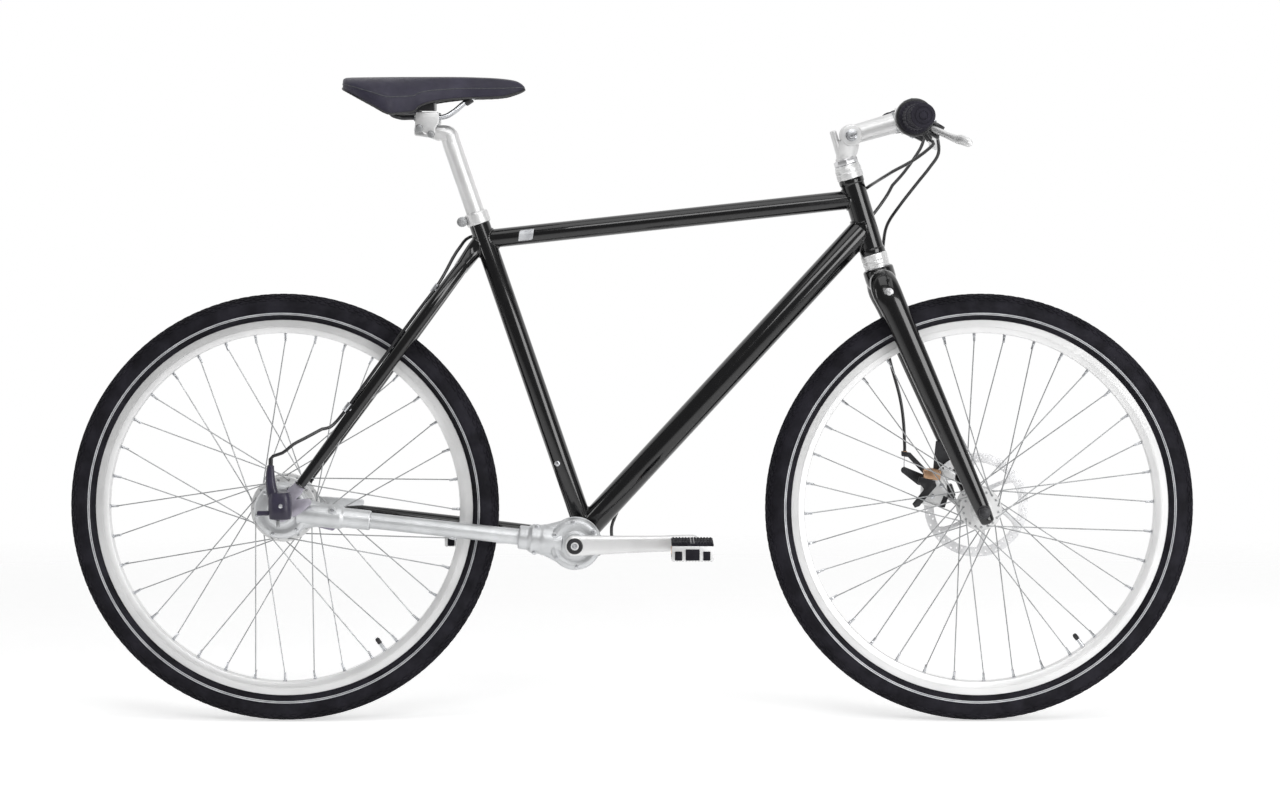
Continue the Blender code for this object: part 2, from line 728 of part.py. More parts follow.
def seat_stay(name, hand):
    """A stay from the yoke's lower end to its dropout, bowed out past the tyre."""
    start = mirrored(STAY_TOP + STAY_DOWN * (YOKE_LENGTH + SEAT_GAP), hand * STAY_TOP_Y * 0.62)
    foot = mirrored(STAY_FOOT, hand * STAY_FOOT_Y)
    middle_y = hand * (STAY_TOP_Y + 0.013)
    middle = mirrored(start.lerp(foot, 0.22), middle_y)
    route = [start, mirrored(start.lerp(foot, 0.10), hand * (STAY_TOP_Y + 0.004)), middle]
    route += [mirrored(start.lerp(foot, 0.6), hand * (STAY_FOOT_Y - 0.010)), foot]
    halves = [(STAY_RADIUS, STAY_RADIUS)] * 4 + [(STAY_RADIUS * 0.8, STAY_RADIUS * 0.6)]
    bm = swept(smooth_route(route, 7), [halves[0]] * 6 + [halves[-1]], 10)
    stay = piece(name, bm, "black_paint")
    flat_top = helper(slab([(-0.05, -0.06), (0.05, -0.06), (0.05, 0.06), (-0.05, 0.06)], -0.05, 0),
                      aim(STAY_TOP + STAY_DOWN * (YOKE_LENGTH + SEAT_GAP), STAY_DOWN))
    return cut(stay, flat_top)


def chainstay():
    """The left stay from the bracket shell to the left dropout."""
    line = (REAR_AXLE - BRACKET)
    start = mirrored(BRACKET + line * 0.02, CHAINSTAY_FRONT_Y * 0.62)
    bend = mirrored(BRACKET + line * 0.16, CHAINSTAY_FRONT_Y + 0.004)
    waist = mirrored(BRACKET + line * 0.45, CHAINSTAY_FRONT_Y + 0.014)
    foot = mirrored(BRACKET + line * 0.925, DROPOUT_Y)
    halves = [(CHAINSTAY_RADIUS, CHAINSTAY_RADIUS)] * 6
    halves += [(CHAINSTAY_RADIUS * 0.85, CHAINSTAY_RADIUS * 0.6)]
    bm = swept(smooth_route([start, bend, waist, foot], 7), halves, 10)
    stay = piece("chainstay_left", bm, "black_paint")
    return cut(stay, bracket_shell_cutter())


def dropout(name, hand):
    """Plate from the axle up to the seat stay's foot and, on the left, on to the chainstay."""
    low_y = hand * DROPOUT_Y - DROPOUT_THICKNESS / 2
    high_y = hand * DROPOUT_Y + DROPOUT_THICKNESS / 2
    stay = STAY_FOOT - REAR_AXLE
    outline = []
    for i in range(9):
        angle = math.radians(150 + 180 * i / 8)
        outline.append((DROPOUT_RADIUS * math.cos(angle), DROPOUT_RADIUS * math.sin(angle)))
    if hand > 0:
        outline += [(0.030, -0.012), (0.030, 0.008), (0.020, 0.014)]
    else:
        outline += [(0.024, -0.006), (0.046, 0.012), (0.044, 0.020)]
    reach = stay.length - 0.001
    tip = stay.normalized()
    side = Vector((tip.z, 0, -tip.x)) * 0.010
    outline += [
        ((tip * reach + side).x, (tip * reach + side).z),
        ((tip * reach - side).x, (tip * reach - side).z),
    ]
    # local +X of the plate's place is world -X
    flipped = [(-x, z) for x, z in outline]
    plate = piece(name, slab(flipped, low_y, high_y), "dark_metal" if hand > 0 else "steel",
                  at_y(REAR_AXLE))
    foot = mirrored(STAY_FOOT, hand * STAY_FOOT_Y)
    bore = across(REAR_AXLE, AXLE_RADIUS + SEAT_GAP, low_y - 0.01, high_y + 0.01, 16)
    clear = rod_between(foot + STAY_DOWN * SEAT_GAP, foot - STAY_DOWN * 0.03, STAY_RADIUS * 1.5)
    cut(plate, bore, clear)
    if hand > 0:
        line = (BRACKET - REAR_AXLE).normalized()
        end = mirrored(BRACKET + (REAR_AXLE - BRACKET) * 0.925, DROPOUT_Y)
        cut(plate, rod_between(end - line * SEAT_GAP, end + line * 0.05, CHAINSTAY_RADIUS * 1.4))
    return plate


def headset_cup(name, low, high, spigot_low):
    """A cup against the head tube's end with a spigot pressed into its bore."""
    bore = round_room(STEERER_RADIUS + RUNNING_GAP, TUBE_SIDES)
    spigot = HEAD_TUBE_RADIUS - HEAD_TUBE_WALL - SEAT_GAP
    height = (high - low).length
    if spigot_low:
        profile = [
            (bore, -0.010), (spigot, -0.010), (spigot, 0), (CUP_RADIUS, 0),
            (CUP_RADIUS, height * 0.55), (CUP_RADIUS * 0.94, height), (bore, height),
        ]
    else:
        profile = [
            (bore, 0), (CUP_RADIUS * 0.94, 0), (CUP_RADIUS, height * 0.45),
            (CUP_RADIUS, height), (spigot, height), (spigot, height + 0.010),
            (bore, height + 0.010),
        ]
    return piece(name, turned(profile), "polished", aim(low, high - low))


def seat_collar():
    """A clamp ring on the seat tube's top with a slit and its bolt at the back."""
    low = SEAT_TUBE_LENGTH - COLLAR_HEIGHT * 0.45
    bore = SEATPOST_RADIUS + SEAT_GAP
    profile = [
        (SEAT_TUBE_RADIUS + SEAT_GAP, low),
        (COLLAR_RADIUS - 0.0012, low),
        (COLLAR_RADIUS, low + 0.0015),
        (COLLAR_RADIUS, low + COLLAR_HEIGHT - 0.003),
        (COLLAR_RADIUS - 0.003, low + COLLAR_HEIGHT),
        (bore, low + COLLAR_HEIGHT),
        (bore, SEAT_TUBE_LENGTH + SEAT_GAP),
        (SEAT_TUBE_RADIUS + SEAT_GAP, SEAT_TUBE_LENGTH + SEAT_GAP),
    ]
    collar = piece("seat_collar", turned(profile), "polished", aim(SEAT_BASE, SEAT_UP))
    back = Vector((-SEAT_UP.z, 0, SEAT_UP.x))
    bolt_at = SEAT_BASE + SEAT_UP * (low + COLLAR_HEIGHT * 0.40) + back * (COLLAR_RADIUS + 0.004)
    barrel = across(bolt_at, 0.0078, -0.013, 0.013, 8)
    join(collar, barrel)
    slit = helper(box((0.020, 0.0016, 0.060)), aim(bolt_at - back * 0.004, SEAT_UP))
    inside = rod_between(SEAT_BASE, SEAT_TOP + SEAT_UP * 0.06, SEAT_TUBE_RADIUS + 2 * SEAT_GAP)
    cut(barrel, inside)
    return cut(collar, slit)


frame_pieces = [
    head_tube(),
    top_tube(),
    down_tube(),
    seat_tube(),
    bracket_shell(),
    seat_stay("seat_stay_right", -1),
    seat_stay("seat_stay_left", 1),
    chainstay(),
    dropout("dropout_right", -1),
    dropout("dropout_left", 1),
    headset_cup(
        "headset_lower_cup",
        CROWN_SEAT + HEAD_UP * SEAT_GAP,
        HEAD_BASE - HEAD_UP * SEAT_GAP,
        False,
    ),
    headset_cup(
        "headset_upper_cup",
        HEAD_TOP + HEAD_UP * SEAT_GAP,
        HEAD_TOP + HEAD_UP * (SEAT_GAP + UPPER_CUP_HEIGHT),
        True,
    ),
    seat_collar(),
]


# Fork and steerer
BLADE_DOWN = Vector((math.sin(math.radians(23.7)), 0, -math.cos(math.radians(23.7))))
BLADE_LENGTH = 0.321


def fork_steerer():
    """Steerer tube with the crown at its foot and the locknut at its head, bored for the quill."""
    bore = QUILL_RADIUS + SEAT_GAP
    cup_top = LOWER_CUP_HEIGHT + HEAD_TUBE_LENGTH + UPPER_CUP_HEIGHT + 5 * SEAT_GAP
    profile = [
        (bore, -CROWN_HEIGHT),
        (CROWN_RADIUS * 0.86, -CROWN_HEIGHT - 0.004),
        (CROWN_RADIUS, -CROWN_HEIGHT * 0.5),
        (CROWN_RADIUS, -0.003),
        (CUP_RADIUS, 0),
        (STEERER_RADIUS, 0),
        (STEERER_RADIUS, cup_top),
        (LOCKNUT_RADIUS, cup_top),
        (LOCKNUT_RADIUS, cup_top + LOCKNUT_HEIGHT * 0.45),
        (bore + 0.002, cup_top + LOCKNUT_HEIGHT),
        (bore, cup_top + LOCKNUT_HEIGHT),
    ]
    return piece("fork_steerer", turned(profile), "black_paint", aim(CROWN_SEAT, HEAD_UP))


def fork_blade(name, hand):
    """A blade that leaves the crown sideways, turns down past the tyre and runs on to the axle."""
    neck = CROWN_SEAT - HEAD_UP * (CROWN_HEIGHT * 0.62)
    top = FRONT_AXLE - BLADE_DOWN * BLADE_LENGTH
    shoulder = CROWN_SEAT - HEAD_UP * (CROWN_HEIGHT + 0.012)
    points = [
        mirrored(neck, hand * 0.012),
        mirrored(neck - HEAD_UP * 0.004, hand * 0.030),
        mirrored(shoulder, hand * (BLADE_TOP_Y + 0.003)),
        mirrored(top, hand * (BLADE_TOP_Y + 0.007)),
        mirrored(top.lerp(FRONT_AXLE, 0.35), hand * (BLADE_TOP_Y + 0.012)),
        mirrored(FRONT_AXLE - BLADE_DOWN * 0.03, hand * BLADE_FOOT_Y),
        mirrored(FRONT_AXLE + BLADE_DOWN * BLADE_BELOW_AXLE, hand * BLADE_FOOT_Y),
    ]
    depths = [BLADE_TOP_DEPTH * 0.72, BLADE_TOP_DEPTH * 0.9, BLADE_TOP_DEPTH, 0.040,
              BLADE_MID_DEPTH, BLADE_FOOT_DEPTH, BLADE_FOOT_DEPTH * 0.8]
    widths = [0.024, 0.030, BLADE_WIDTH, BLADE_WIDTH, 0.025, BLADE_FOOT_WIDTH, BLADE_FOOT_WIDTH]
    rings = []
    for i, point in enumerate(points):
        before = points[max(i - 1, 0)]
        after = points[min(i + 1, len(points) - 1)]
        along = (after - before).normalized()
        outward = LEFT if i > 1 else HEAD_UP * hand
        rings.append(oval(point, along, depths[i] / 2, widths[i] / 2, 10, outward))
    blade = piece(name, lofted(rings), "black_paint")
    crown_room = rod_between(
        CROWN_SEAT - HEAD_UP * 0.06, CROWN_SEAT + HEAD_UP * 0.05, CROWN_RADIUS + 2 * SEAT_GAP
    )
    low_y, high_y = sorted((hand * 0.03, hand * 0.10))
    axle_room = across(FRONT_AXLE, AXLE_RADIUS + 2 * SEAT_GAP, low_y, high_y, 8)
    return cut(blade, crown_room, axle_room)


def wheel_axle(name, axle, finish, left_in, left_out, right_in, right_out, left_end, right_end):
    """An axle with a spacer each side inside the dropouts and a nut each side outside them."""
    spacer = AXLE_RADIUS + 0.0035
    nut = AXLE_NUT_RADIUS
    profile = [
        (0, -right_end),
        (AXLE_RADIUS, -right_end),
        (AXLE_RADIUS, -right_out - AXLE_NUT_LENGTH),
        (nut, -right_out - AXLE_NUT_LENGTH),
        (nut, -right_out),
        (AXLE_RADIUS, -right_out),
        (AXLE_RADIUS, -right_in[1]),
        (spacer, -right_in[1]),
        (spacer, -right_in[0]),
        (AXLE_RADIUS, -right_in[0]),
        (AXLE_RADIUS, left_in[0]),
        (spacer, left_in[0]),
        (spacer, left_in[1]),
        (AXLE_RADIUS, left_in[1]),
        (AXLE_RADIUS, left_out),
        (nut, left_out),
        (nut, left_out + AXLE_NUT_LENGTH),
        (AXLE_RADIUS, left_out + AXLE_NUT_LENGTH),
        (AXLE_RADIUS, left_end),
        (0, left_end),
    ]
    return piece(name, turned(profile, 8), finish, at_y(axle))


def front_axle():
    inner = BLADE_FOOT_Y - BLADE_FOOT_WIDTH / 2 - SEAT_GAP
    outer = BLADE_FOOT_Y + BLADE_FOOT_WIDTH / 2 + SEAT_GAP
    spacers = (FRONT_HUB_HALF + RUNNING_GAP, inner)
    end = outer + AXLE_NUT_LENGTH + 0.004
    return wheel_axle("front_axle", FRONT_AXLE, "steel", spacers, outer, spacers, outer, end, end)


def stem_quill():
    """Quill in the steerer with the two ears that carry the arm's pivot at its head."""
    top = HEAD_TOP + HEAD_UP * (UPPER_CUP_HEIGHT + LOCKNUT_HEIGHT + 0.001)
    lean = STEM_PIVOT - top
    quill = piece(
        "stem_quill",
        rod(QUILL_RADIUS, -0.090, 0.030, 12),
        "polished",
        aim(top, HEAD_UP),
    )
    ears = []
    width = STEM_RADIUS + 0.0005
    for hand in (-1, 1):
        low_y, high_y = sorted((hand * (width - 0.002), hand * (width + STEM_EAR_THICKNESS)))
        ears.append(across(STEM_PIVOT, STEM_EAR_RADIUS, low_y, high_y, 14))
    neck = helper(
        lofted([
            oval(top + HEAD_UP * 0.002, HEAD_UP, 0.0135, 0.0135, 8),
            oval(top + lean * 0.35, lean, 0.0165, 0.018, 8),
            oval(top + lean * 0.72, lean, 0.0150, width + STEM_EAR_THICKNESS * 0.6, 8),
        ])
    )
    join(quill, neck, *ears)
    arm_room = across(STEM_PIVOT, STEM_EAR_RADIUS + 0.0012, -width, width, 16)
    pin = across(STEM_PIVOT, PIVOT_RADIUS + RUNNING_GAP, -0.05, 0.05, 8)
    return cut(quill, arm_room, pin)


PIVOT_RADIUS = 0.0045
STEM_PIVOT = HEAD_TOP + HEAD_UP * STEM_PIVOT_UP + HEAD_AHEAD * STEM_PIVOT_AHEAD
STEM_OUT = Vector((math.cos(STEM_RISE), 0, math.sin(STEM_RISE)))
BAR = STEM_PIVOT + STEM_OUT * STEM_LENGTH
BAR_SEAT = round_room(BAR_CLAMP_RADIUS + SEAT_GAP, 14)


def stem_arm():
    """Arm with its pivot barrel and pin at the quill and half of the bar clamp in front."""
    barrel_half = STEM_RADIUS
    arm = piece(
        "stem_arm",
        rod(STEM_EAR_RADIUS * 0.97, -barrel_half, barrel_half, 14),
        "polished",
        at_y(STEM_PIVOT),
    )
    side_up = STEM_OUT.cross(LEFT)
    body = helper(
        lofted([
            oval(STEM_PIVOT + STEM_OUT * 0.004, STEM_OUT, 0.0142, 0.0135, 10),
            oval(STEM_PIVOT + STEM_OUT * 0.030, STEM_OUT, 0.0150, 0.0150, 10),
            oval(BAR - STEM_OUT * 0.020, STEM_OUT, 0.0155, 0.0168, 10),
            oval(BAR - STEM_OUT * 0.009, STEM_OUT, 0.0160, 0.0172, 10),
        ])
    )
    clamp = across(BAR, STEM_CLAMP_RADIUS, -STEM_CLAMP_WIDTH / 2, STEM_CLAMP_WIDTH / 2, 16)
    pin = across(STEM_PIVOT, PIVOT_RADIUS, -0.0285, 0.0285, 8)
    heads = [across(STEM_PIVOT, 0.0075, 0.0252, 0.0285, 8),
             across(STEM_PIVOT, 0.0075, -0.0285, -0.0252, 8)]
    join(arm, body, clamp, pin, *heads)
    bar_room = across(BAR, BAR_SEAT, -0.05, 0.05, 14)
    front_half = helper(
        slab([(-0.05, -0.05), (0.05, -0.05), (0.05, 0.05), (-0.05, 0.05)], -0.0007, 0.06),
        aim(BAR, STEM_OUT),
    )
    return cut(arm, bar_room, front_half)


def stem_face_cap():
    """Front half of the bar clamp, with lugs for its four bolts."""
    cap = piece(
        "stem_face_cap",
        rod(STEM_CLAMP_RADIUS, -STEM_CLAMP_WIDTH / 2, STEM_CLAMP_WIDTH / 2, 16),
        "polished",
        at_y(BAR),
    )
    bar_room = across(BAR, BAR_SEAT, -0.05, 0.05, 14)
    rear_half = helper(
        slab([(-0.05, -0.05), (0.05, -0.05), (0.05, 0.05), (-0.05, 0.05)], -0.06, 0.0012),
        aim(BAR, STEM_OUT),
    )
    return cut(cap, bar_room, rear_half)


def handlebar():
    """Flat bar, thickest in the clamp, open at both ends."""
    bore = BAR_RADIUS - BAR_WALL
    half = [
        (bore, 0),
        (BAR_CLAMP_RADIUS, 0),
        (BAR_CLAMP_RADIUS, 0.048),
        (BAR_RADIUS, 0.075),
        (BAR_RADIUS, BAR_HALF - 0.004),
        (bore, BAR_HALF - 0.004),
    ]
    outer = half[2:5]
    profile = [(radius, -y) for radius, y in reversed(outer)] + outer
    profile += [(bore, half[-1][1]), (bore, -half[-1][1])]
    return piece("handlebar", turned(profile, 12), "black_paint", at_y(BAR))


def grip(name, hand, length):
    """A grip closed at the bar's end, ribbed rings along it, with a flanged end."""
    bore = BAR_RADIUS + SEAT_GAP
    end = BAR_HALF
    inner_end = end - length
    profile = [(0, end - 0.0036), (bore, end - 0.0036), (bore, inner_end)]
    profile += [(GRIP_RADIUS + 0.002, inner_end), (GRIP_RADIUS + 0.002, inner_end + 0.004)]
    rings = 2
    for i in range(rings):
        start = inner_end + 0.006 + (length - 0.016) * i / rings
        stop = inner_end + 0.006 + (length - 0.016) * (i + 1) / rings
        profile += [(GRIP_RADIUS - 0.0006, start), (GRIP_RADIUS, start + 0.002), (GRIP_RADIUS, stop - 0.001)]
    profile += [(GRIP_END_RADIUS, end - 0.006), (GRIP_END_RADIUS, end - 0.002),
                (GRIP_END_RADIUS - 0.002, end), (0, end)]
    return piece(name, turned([(r, hand * y) for r, y in profile], 12), "rubber", at_y(BAR))


# Distances along the bar from its middle, right side
GRIP_INNER = BAR_HALF - GRIP_LENGTH
TWIST_OUTER = GRIP_INNER - RUNNING_GAP
TWIST_INNER = TWIST_OUTER - TWIST_LENGTH
SHIFTER_OUTER = TWIST_INNER - RUNNING_GAP
SHIFTER_INNER = SHIFTER_OUTER - SHIFTER_WIDTH
BRACKET_OUTER = SHIFTER_INNER - 0.006


def twist_grip():
    """Turning sleeve between the fixed grip and the shifter, wider towards the shifter."""
    bore = BAR_RADIUS + RUNNING_GAP
    outer, inner = -TWIST_OUTER, -TWIST_INNER
    profile = [
        (bore, outer),
        (GRIP_RADIUS, outer),
        (GRIP_RADIUS + 0.0015, outer + 0.004),
        (GRIP_RADIUS + 0.0005, outer + 0.012),
        (GRIP_RADIUS + 0.003, outer + 0.030),
        (SHIFTER_RADIUS * 0.86, inner - 0.006),
        (SHIFTER_RADIUS * 0.86, inner),
        (bore, inner),
    ]
    sleeve = piece("twist_grip", turned(profile, 14), "rubber", at_y(BAR))
    return sleeve


def shifter_housing():
    """Round housing clamped to the bar, with the boss where the shift cable leaves."""
    bore = round_room(BAR_RADIUS + SEAT_GAP, 14)
    outer, inner = -SHIFTER_OUTER, -SHIFTER_INNER
    profile = [
        (0, outer),
        (SHIFTER_RADIUS - 0.002, outer),
        (SHIFTER_RADIUS, outer + 0.002),
        (SHIFTER_RADIUS, inner - 0.008),
        (SHIFTER_RADIUS * 0.72, inner),
        (0, inner),
    ]
    housing = piece("shifter_housing", turned(profile, 14), "black_plastic", at_y(BAR))
    boss_y = (outer + inner) / 2
    boss = rod_between(
        mirrored(BAR + SHIFT_EXIT_WAY * 0.018, boss_y),
        mirrored(BAR + SHIFT_EXIT_WAY * SHIFTER_BOSS_REACH, boss_y),
        0.005,
        8,
    )
    join(housing, boss)
    bar_room = across(BAR, bore, outer - 0.01, inner + 0.01, 14)
    return cut(housing, bar_room)


SHIFT_EXIT_WAY = Vector((math.cos(math.radians(-55)), 0, math.sin(math.radians(-55))))
LEVER_AHEAD = Vector((math.cos(LEVER_DROP_ANGLE), 0, -math.sin(LEVER_DROP_ANGLE)))
LEVER_AXIS = Vector((math.sin(LEVER_DROP_ANGLE), 0, math.cos(LEVER_DROP_ANGLE)))
LEVER_PIN_RADIUS = 0.003
LEVER_PIVOT = Vector((0.030, 0.004, 0))
RIGHT_BRACKET_INWARD = BRACKET_OUTER - BRACKET_WIDTH
LEFT_BRACKET_INWARD = BAR_HALF - LEFT_GRIP_LENGTH - BRACKET_WIDTH - 0.008


def bracket_place(hand, inward):
    """Local x ahead of the bar, local y outward along it, local z up the lever's pin."""
    start = mirrored(BAR, hand * inward)
    columns = (LEVER_AHEAD, LEFT * hand, LEVER_AXIS)
    place = Matrix(columns).transposed().to_4x4()
    return Matrix.Translation(start) @ place


def brake_bracket(name, hand, inward):
    """Clamp ring on the bar and a forked arm ahead of it that holds the lever's pin."""
    ring_radius = BAR_RADIUS + 0.0045
    low, high = sorted((hand * inward, hand * (inward + BRACKET_WIDTH)))
    ring = piece(
        name,
        rod(ring_radius, low, high, 12),
        "dark_metal",
        at_y(BAR),
    )
    place = bracket_place(hand, inward)
    outline = [(0.009, 0.001), (0.030, -0.012), (0.049, -0.012), (0.049, 0.002),
               (0.037, 0.013), (0.009, 0.015)]
    arm = helper(slab(outline, -0.0105, 0.0105), place)
    barrel = rod_between(place @ Vector((LEVER_BARREL_AHEAD, -0.004, 0)),
                         place @ Vector((LEVER_BARREL_AHEAD, -0.026, 0)), 0.0048, 8, UP)
    join(ring, arm, barrel)
    slot = helper(slab([(0.020, -0.0035), (0.060, -0.0035), (0.060, 0.05), (0.020, 0.05)],
                       -0.0058, 0.0058), place)
    pin = helper(rod(LEVER_PIN_RADIUS + RUNNING_GAP, -0.02, 0.02, 8),
                 place @ Matrix.Translation(LEVER_PIVOT))
    bar_room = across(BAR, BAR_RADIUS + SEAT_GAP, low - 0.02, high + 0.02, 12)
    return cut(ring, slot, pin, bar_room)


def brake_lever(name, hand, inward):
    """Blade with its pin: out from the pivot, along the grip, with a hooked end."""
    place = bracket_place(hand, inward) @ Matrix.Translation(LEVER_PIVOT)
    route = [(0.0, 0.0), (0.013, 0.014), (0.024, 0.030), (0.027, 0.055), (0.025, 0.085),
             (0.028, 0.104), (0.036, 0.114)]
    halves = [(0.0052, 0.0048), (0.0058, 0.0050), (0.0062, 0.0050), (0.0050, 0.0062),
              (0.0048, 0.0072), (0.0046, 0.0068), (0.0040, 0.0055)]
    points = [Vector((x, y, 0)) for x, y in route]
    bm = swept(points, halves, 8, Vector((0, 0, 1)))
    lever = piece(name, bm, "polished", place)
    hub = helper(rod(0.0066, -0.0053, 0.0053, 8), place)
    pin = helper(rod(LEVER_PIN_RADIUS, -0.0125, 0.0125, 8), place)
    return join(lever, hub, pin)


# Front disc brake caliper, on the left blade behind the axle
ARM_PIVOT = FRONT_AXLE + Vector((-0.0847, ROTOR_Y, 0.0376))


def caliper_outline(points):
    return [(-(x - FRONT_AXLE.x), z - FRONT_AXLE.z) for x, z in points]


def disc_caliper():
    """Cast body astride the rotor with its bracket to the blade and the cable stop."""
    body = piece(
        "disc_caliper",
        slab(caliper_outline([(0.452, 0.329), (0.474, 0.331), (0.487, 0.345), (0.487, 0.366),
                              (0.478, 0.388), (0.446, 0.390), (0.437, 0.376), (0.440, 0.345)]),
             ROTOR_Y - 0.0095, ROTOR_Y + 0.017),
        "steel",
        at_y(FRONT_AXLE),
    )
    bracket = helper(
        slab(caliper_outline([(0.462, 0.372), (0.482, 0.366), (0.500, 0.372), (0.500, 0.424),
                              (0.466, 0.424)]),
             ROTOR_Y + 0.008, ROTOR_Y + 0.0135),
        at_y(FRONT_AXLE),
    )
    stop = helper(
        slab(caliper_outline([(0.411, 0.399), (0.450, 0.378), (0.456, 0.386), (0.446, 0.402),
                              (0.411, 0.408)]),
             ROTOR_Y + 0.0175 - 0.007, ROTOR_Y + 0.0175 + 0.003),
        at_y(FRONT_AXLE),
    )
    join(body, bracket, stop)
    rotor_slot = across(FRONT_AXLE, ROTOR_RADIUS + 0.002, ROTOR_Y - 0.003, ROTOR_Y + 0.003, 36)
    hub_room = across(FRONT_AXLE, 0.044, ROTOR_Y - 0.03, ROTOR_Y + 0.03, 24)
    blade_rooms = blade_clearance()
    return cut(body, rotor_slot, hub_room, blade_rooms)


def blade_clearance():
    """A helper a little fatter than the left blade beside the caliper."""
    gap = SEAT_GAP * 2
    rings = []
    top = FRONT_AXLE - BLADE_DOWN * BLADE_LENGTH
    ends = [
        (mirrored(top.lerp(FRONT_AXLE, 0.35), BLADE_TOP_Y + 0.012), BLADE_MID_DEPTH, 0.025),
        (mirrored(FRONT_AXLE - BLADE_DOWN * 0.03, BLADE_FOOT_Y), BLADE_FOOT_DEPTH, BLADE_FOOT_WIDTH),
    ]
    along = ends[1][0] - ends[0][0]
    for point, depth, width in ends:
        rings.append(oval(point, along, depth / 2 + gap, width / 2 + gap, 12))
    return helper(lofted(rings))


def caliper_arm():
    """Actuating arm on the caliper's outer side, with its pinch bolt at the tip."""
    low = ROTOR_Y + 0.017 + SEAT_GAP
    reach = Vector((0.4188, 0, 0.3777)) - Vector((ARM_PIVOT.x, 0, ARM_PIVOT.z))
    way = reach.normalized()
    square = Vector((-way.z, 0, way.x))
    outline = []
    for i in range(7):
        angle = math.radians(-90 + 180 * i / 6)
        point = ARM_PIVOT - way * 0.009 * math.cos(angle) + square * 0.009 * math.sin(angle)
        outline.append((point.x, point.z))
    for i in range(5):
        angle = math.radians(90 - 180 * i / 4)
        tip = ARM_PIVOT + reach
        point = tip + way * 0.005 * math.cos(angle) + square * 0.005 * math.sin(angle)
        outline.append((point.x, point.z))
    return piece("caliper_arm", slab(caliper_outline(outline), low, low + 0.004), "dark_metal",
                 at_y(FRONT_AXLE))


fork_pieces = [
    fork_steerer(),
    fork_blade("fork_blade_right", -1),
    fork_blade("fork_blade_left", 1),
    front_axle(),
    stem_quill(),
    disc_caliper(),
]
bar_pieces = [
    stem_arm(),
    stem_face_cap(),
    handlebar(),
    grip("grip_right", -1, GRIP_LENGTH),
    grip("grip_left", 1, LEFT_GRIP_LENGTH),
    shifter_housing(),
    brake_bracket("brake_bracket_right", -1, RIGHT_BRACKET_INWARD),
    brake_bracket("brake_bracket_left", 1, LEFT_BRACKET_INWARD),
]
twist_pieces = [twist_grip()]
lever_right = [brake_lever("brake_lever_right", -1, RIGHT_BRACKET_INWARD)]
lever_left = [brake_lever("brake_lever_left", 1, LEFT_BRACKET_INWARD)]
arm_pieces = [caliper_arm()]


# Shaft drive: two cases, the housing between them and three bevel gears
FRONT_APEX = mirrored(BRACKET, SHAFT_Y)
REAR_APEX = mirrored(REAR_AXLE, SHAFT_Y)
CASE_BORE = SHAFT_HOUSING_RADIUS + SEAT_GAP


def front_gear_case():
    """Round case over the crank's bevel ring, with a stepped neck towards the rear wheel."""
    inner_y = -BRACKET_SHELL_WIDTH / 2 - SEAT_GAP
    outer_y = FRONT_CASE_OUTER_Y
    radius = FRONT_CASE_RADIUS
    profile = [
        (0, inner_y),
        (radius - 0.004, inner_y),
        (radius, inner_y - 0.004),
        (radius, outer_y + 0.005),
        (radius - 0.005, outer_y),
        (0, outer_y),
    ]
    case = piece("front_gear_case", turned(profile, 16), "silver_cast", at_y(BRACKET))
    neck = helper(
        turned([
            (0, 0.024),
            (0.0235, 0.024),
            (0.0235, 0.050),
            (0.0220, 0.054),
            (0.0220, 0.067),
            (NECK_RADIUS, 0.071),
            (NECK_RADIUS, FRONT_NECK_REACH),
            (0, FRONT_NECK_REACH),
        ], 12),
        aim(FRONT_APEX, DRIVE_LINE),
    )
    join(case, neck)
    wall = GEAR_CASE_WALL
    hollow = helper(
        turned([
            (0, inner_y + 0.005),
            (SPINDLE_RADIUS + 0.003, inner_y + 0.005),
            (SPINDLE_RADIUS + 0.003, inner_y - wall),
            (radius - wall, inner_y - wall),
            (radius - wall, outer_y + wall),
            (SPINDLE_RADIUS + RUNNING_GAP, outer_y + wall),
            (SPINDLE_RADIUS + RUNNING_GAP, outer_y - 0.005),
            (0, outer_y - 0.005),
        ], 12),
        at_y(BRACKET) @ Matrix.Rotation(0.1, 4, "Z"),
    )
    bore = rod_between(FRONT_APEX + DRIVE_LINE * 0.018, FRONT_APEX + DRIVE_LINE * 0.12, CASE_BORE, 12)
    return cut(case, hollow, bore)


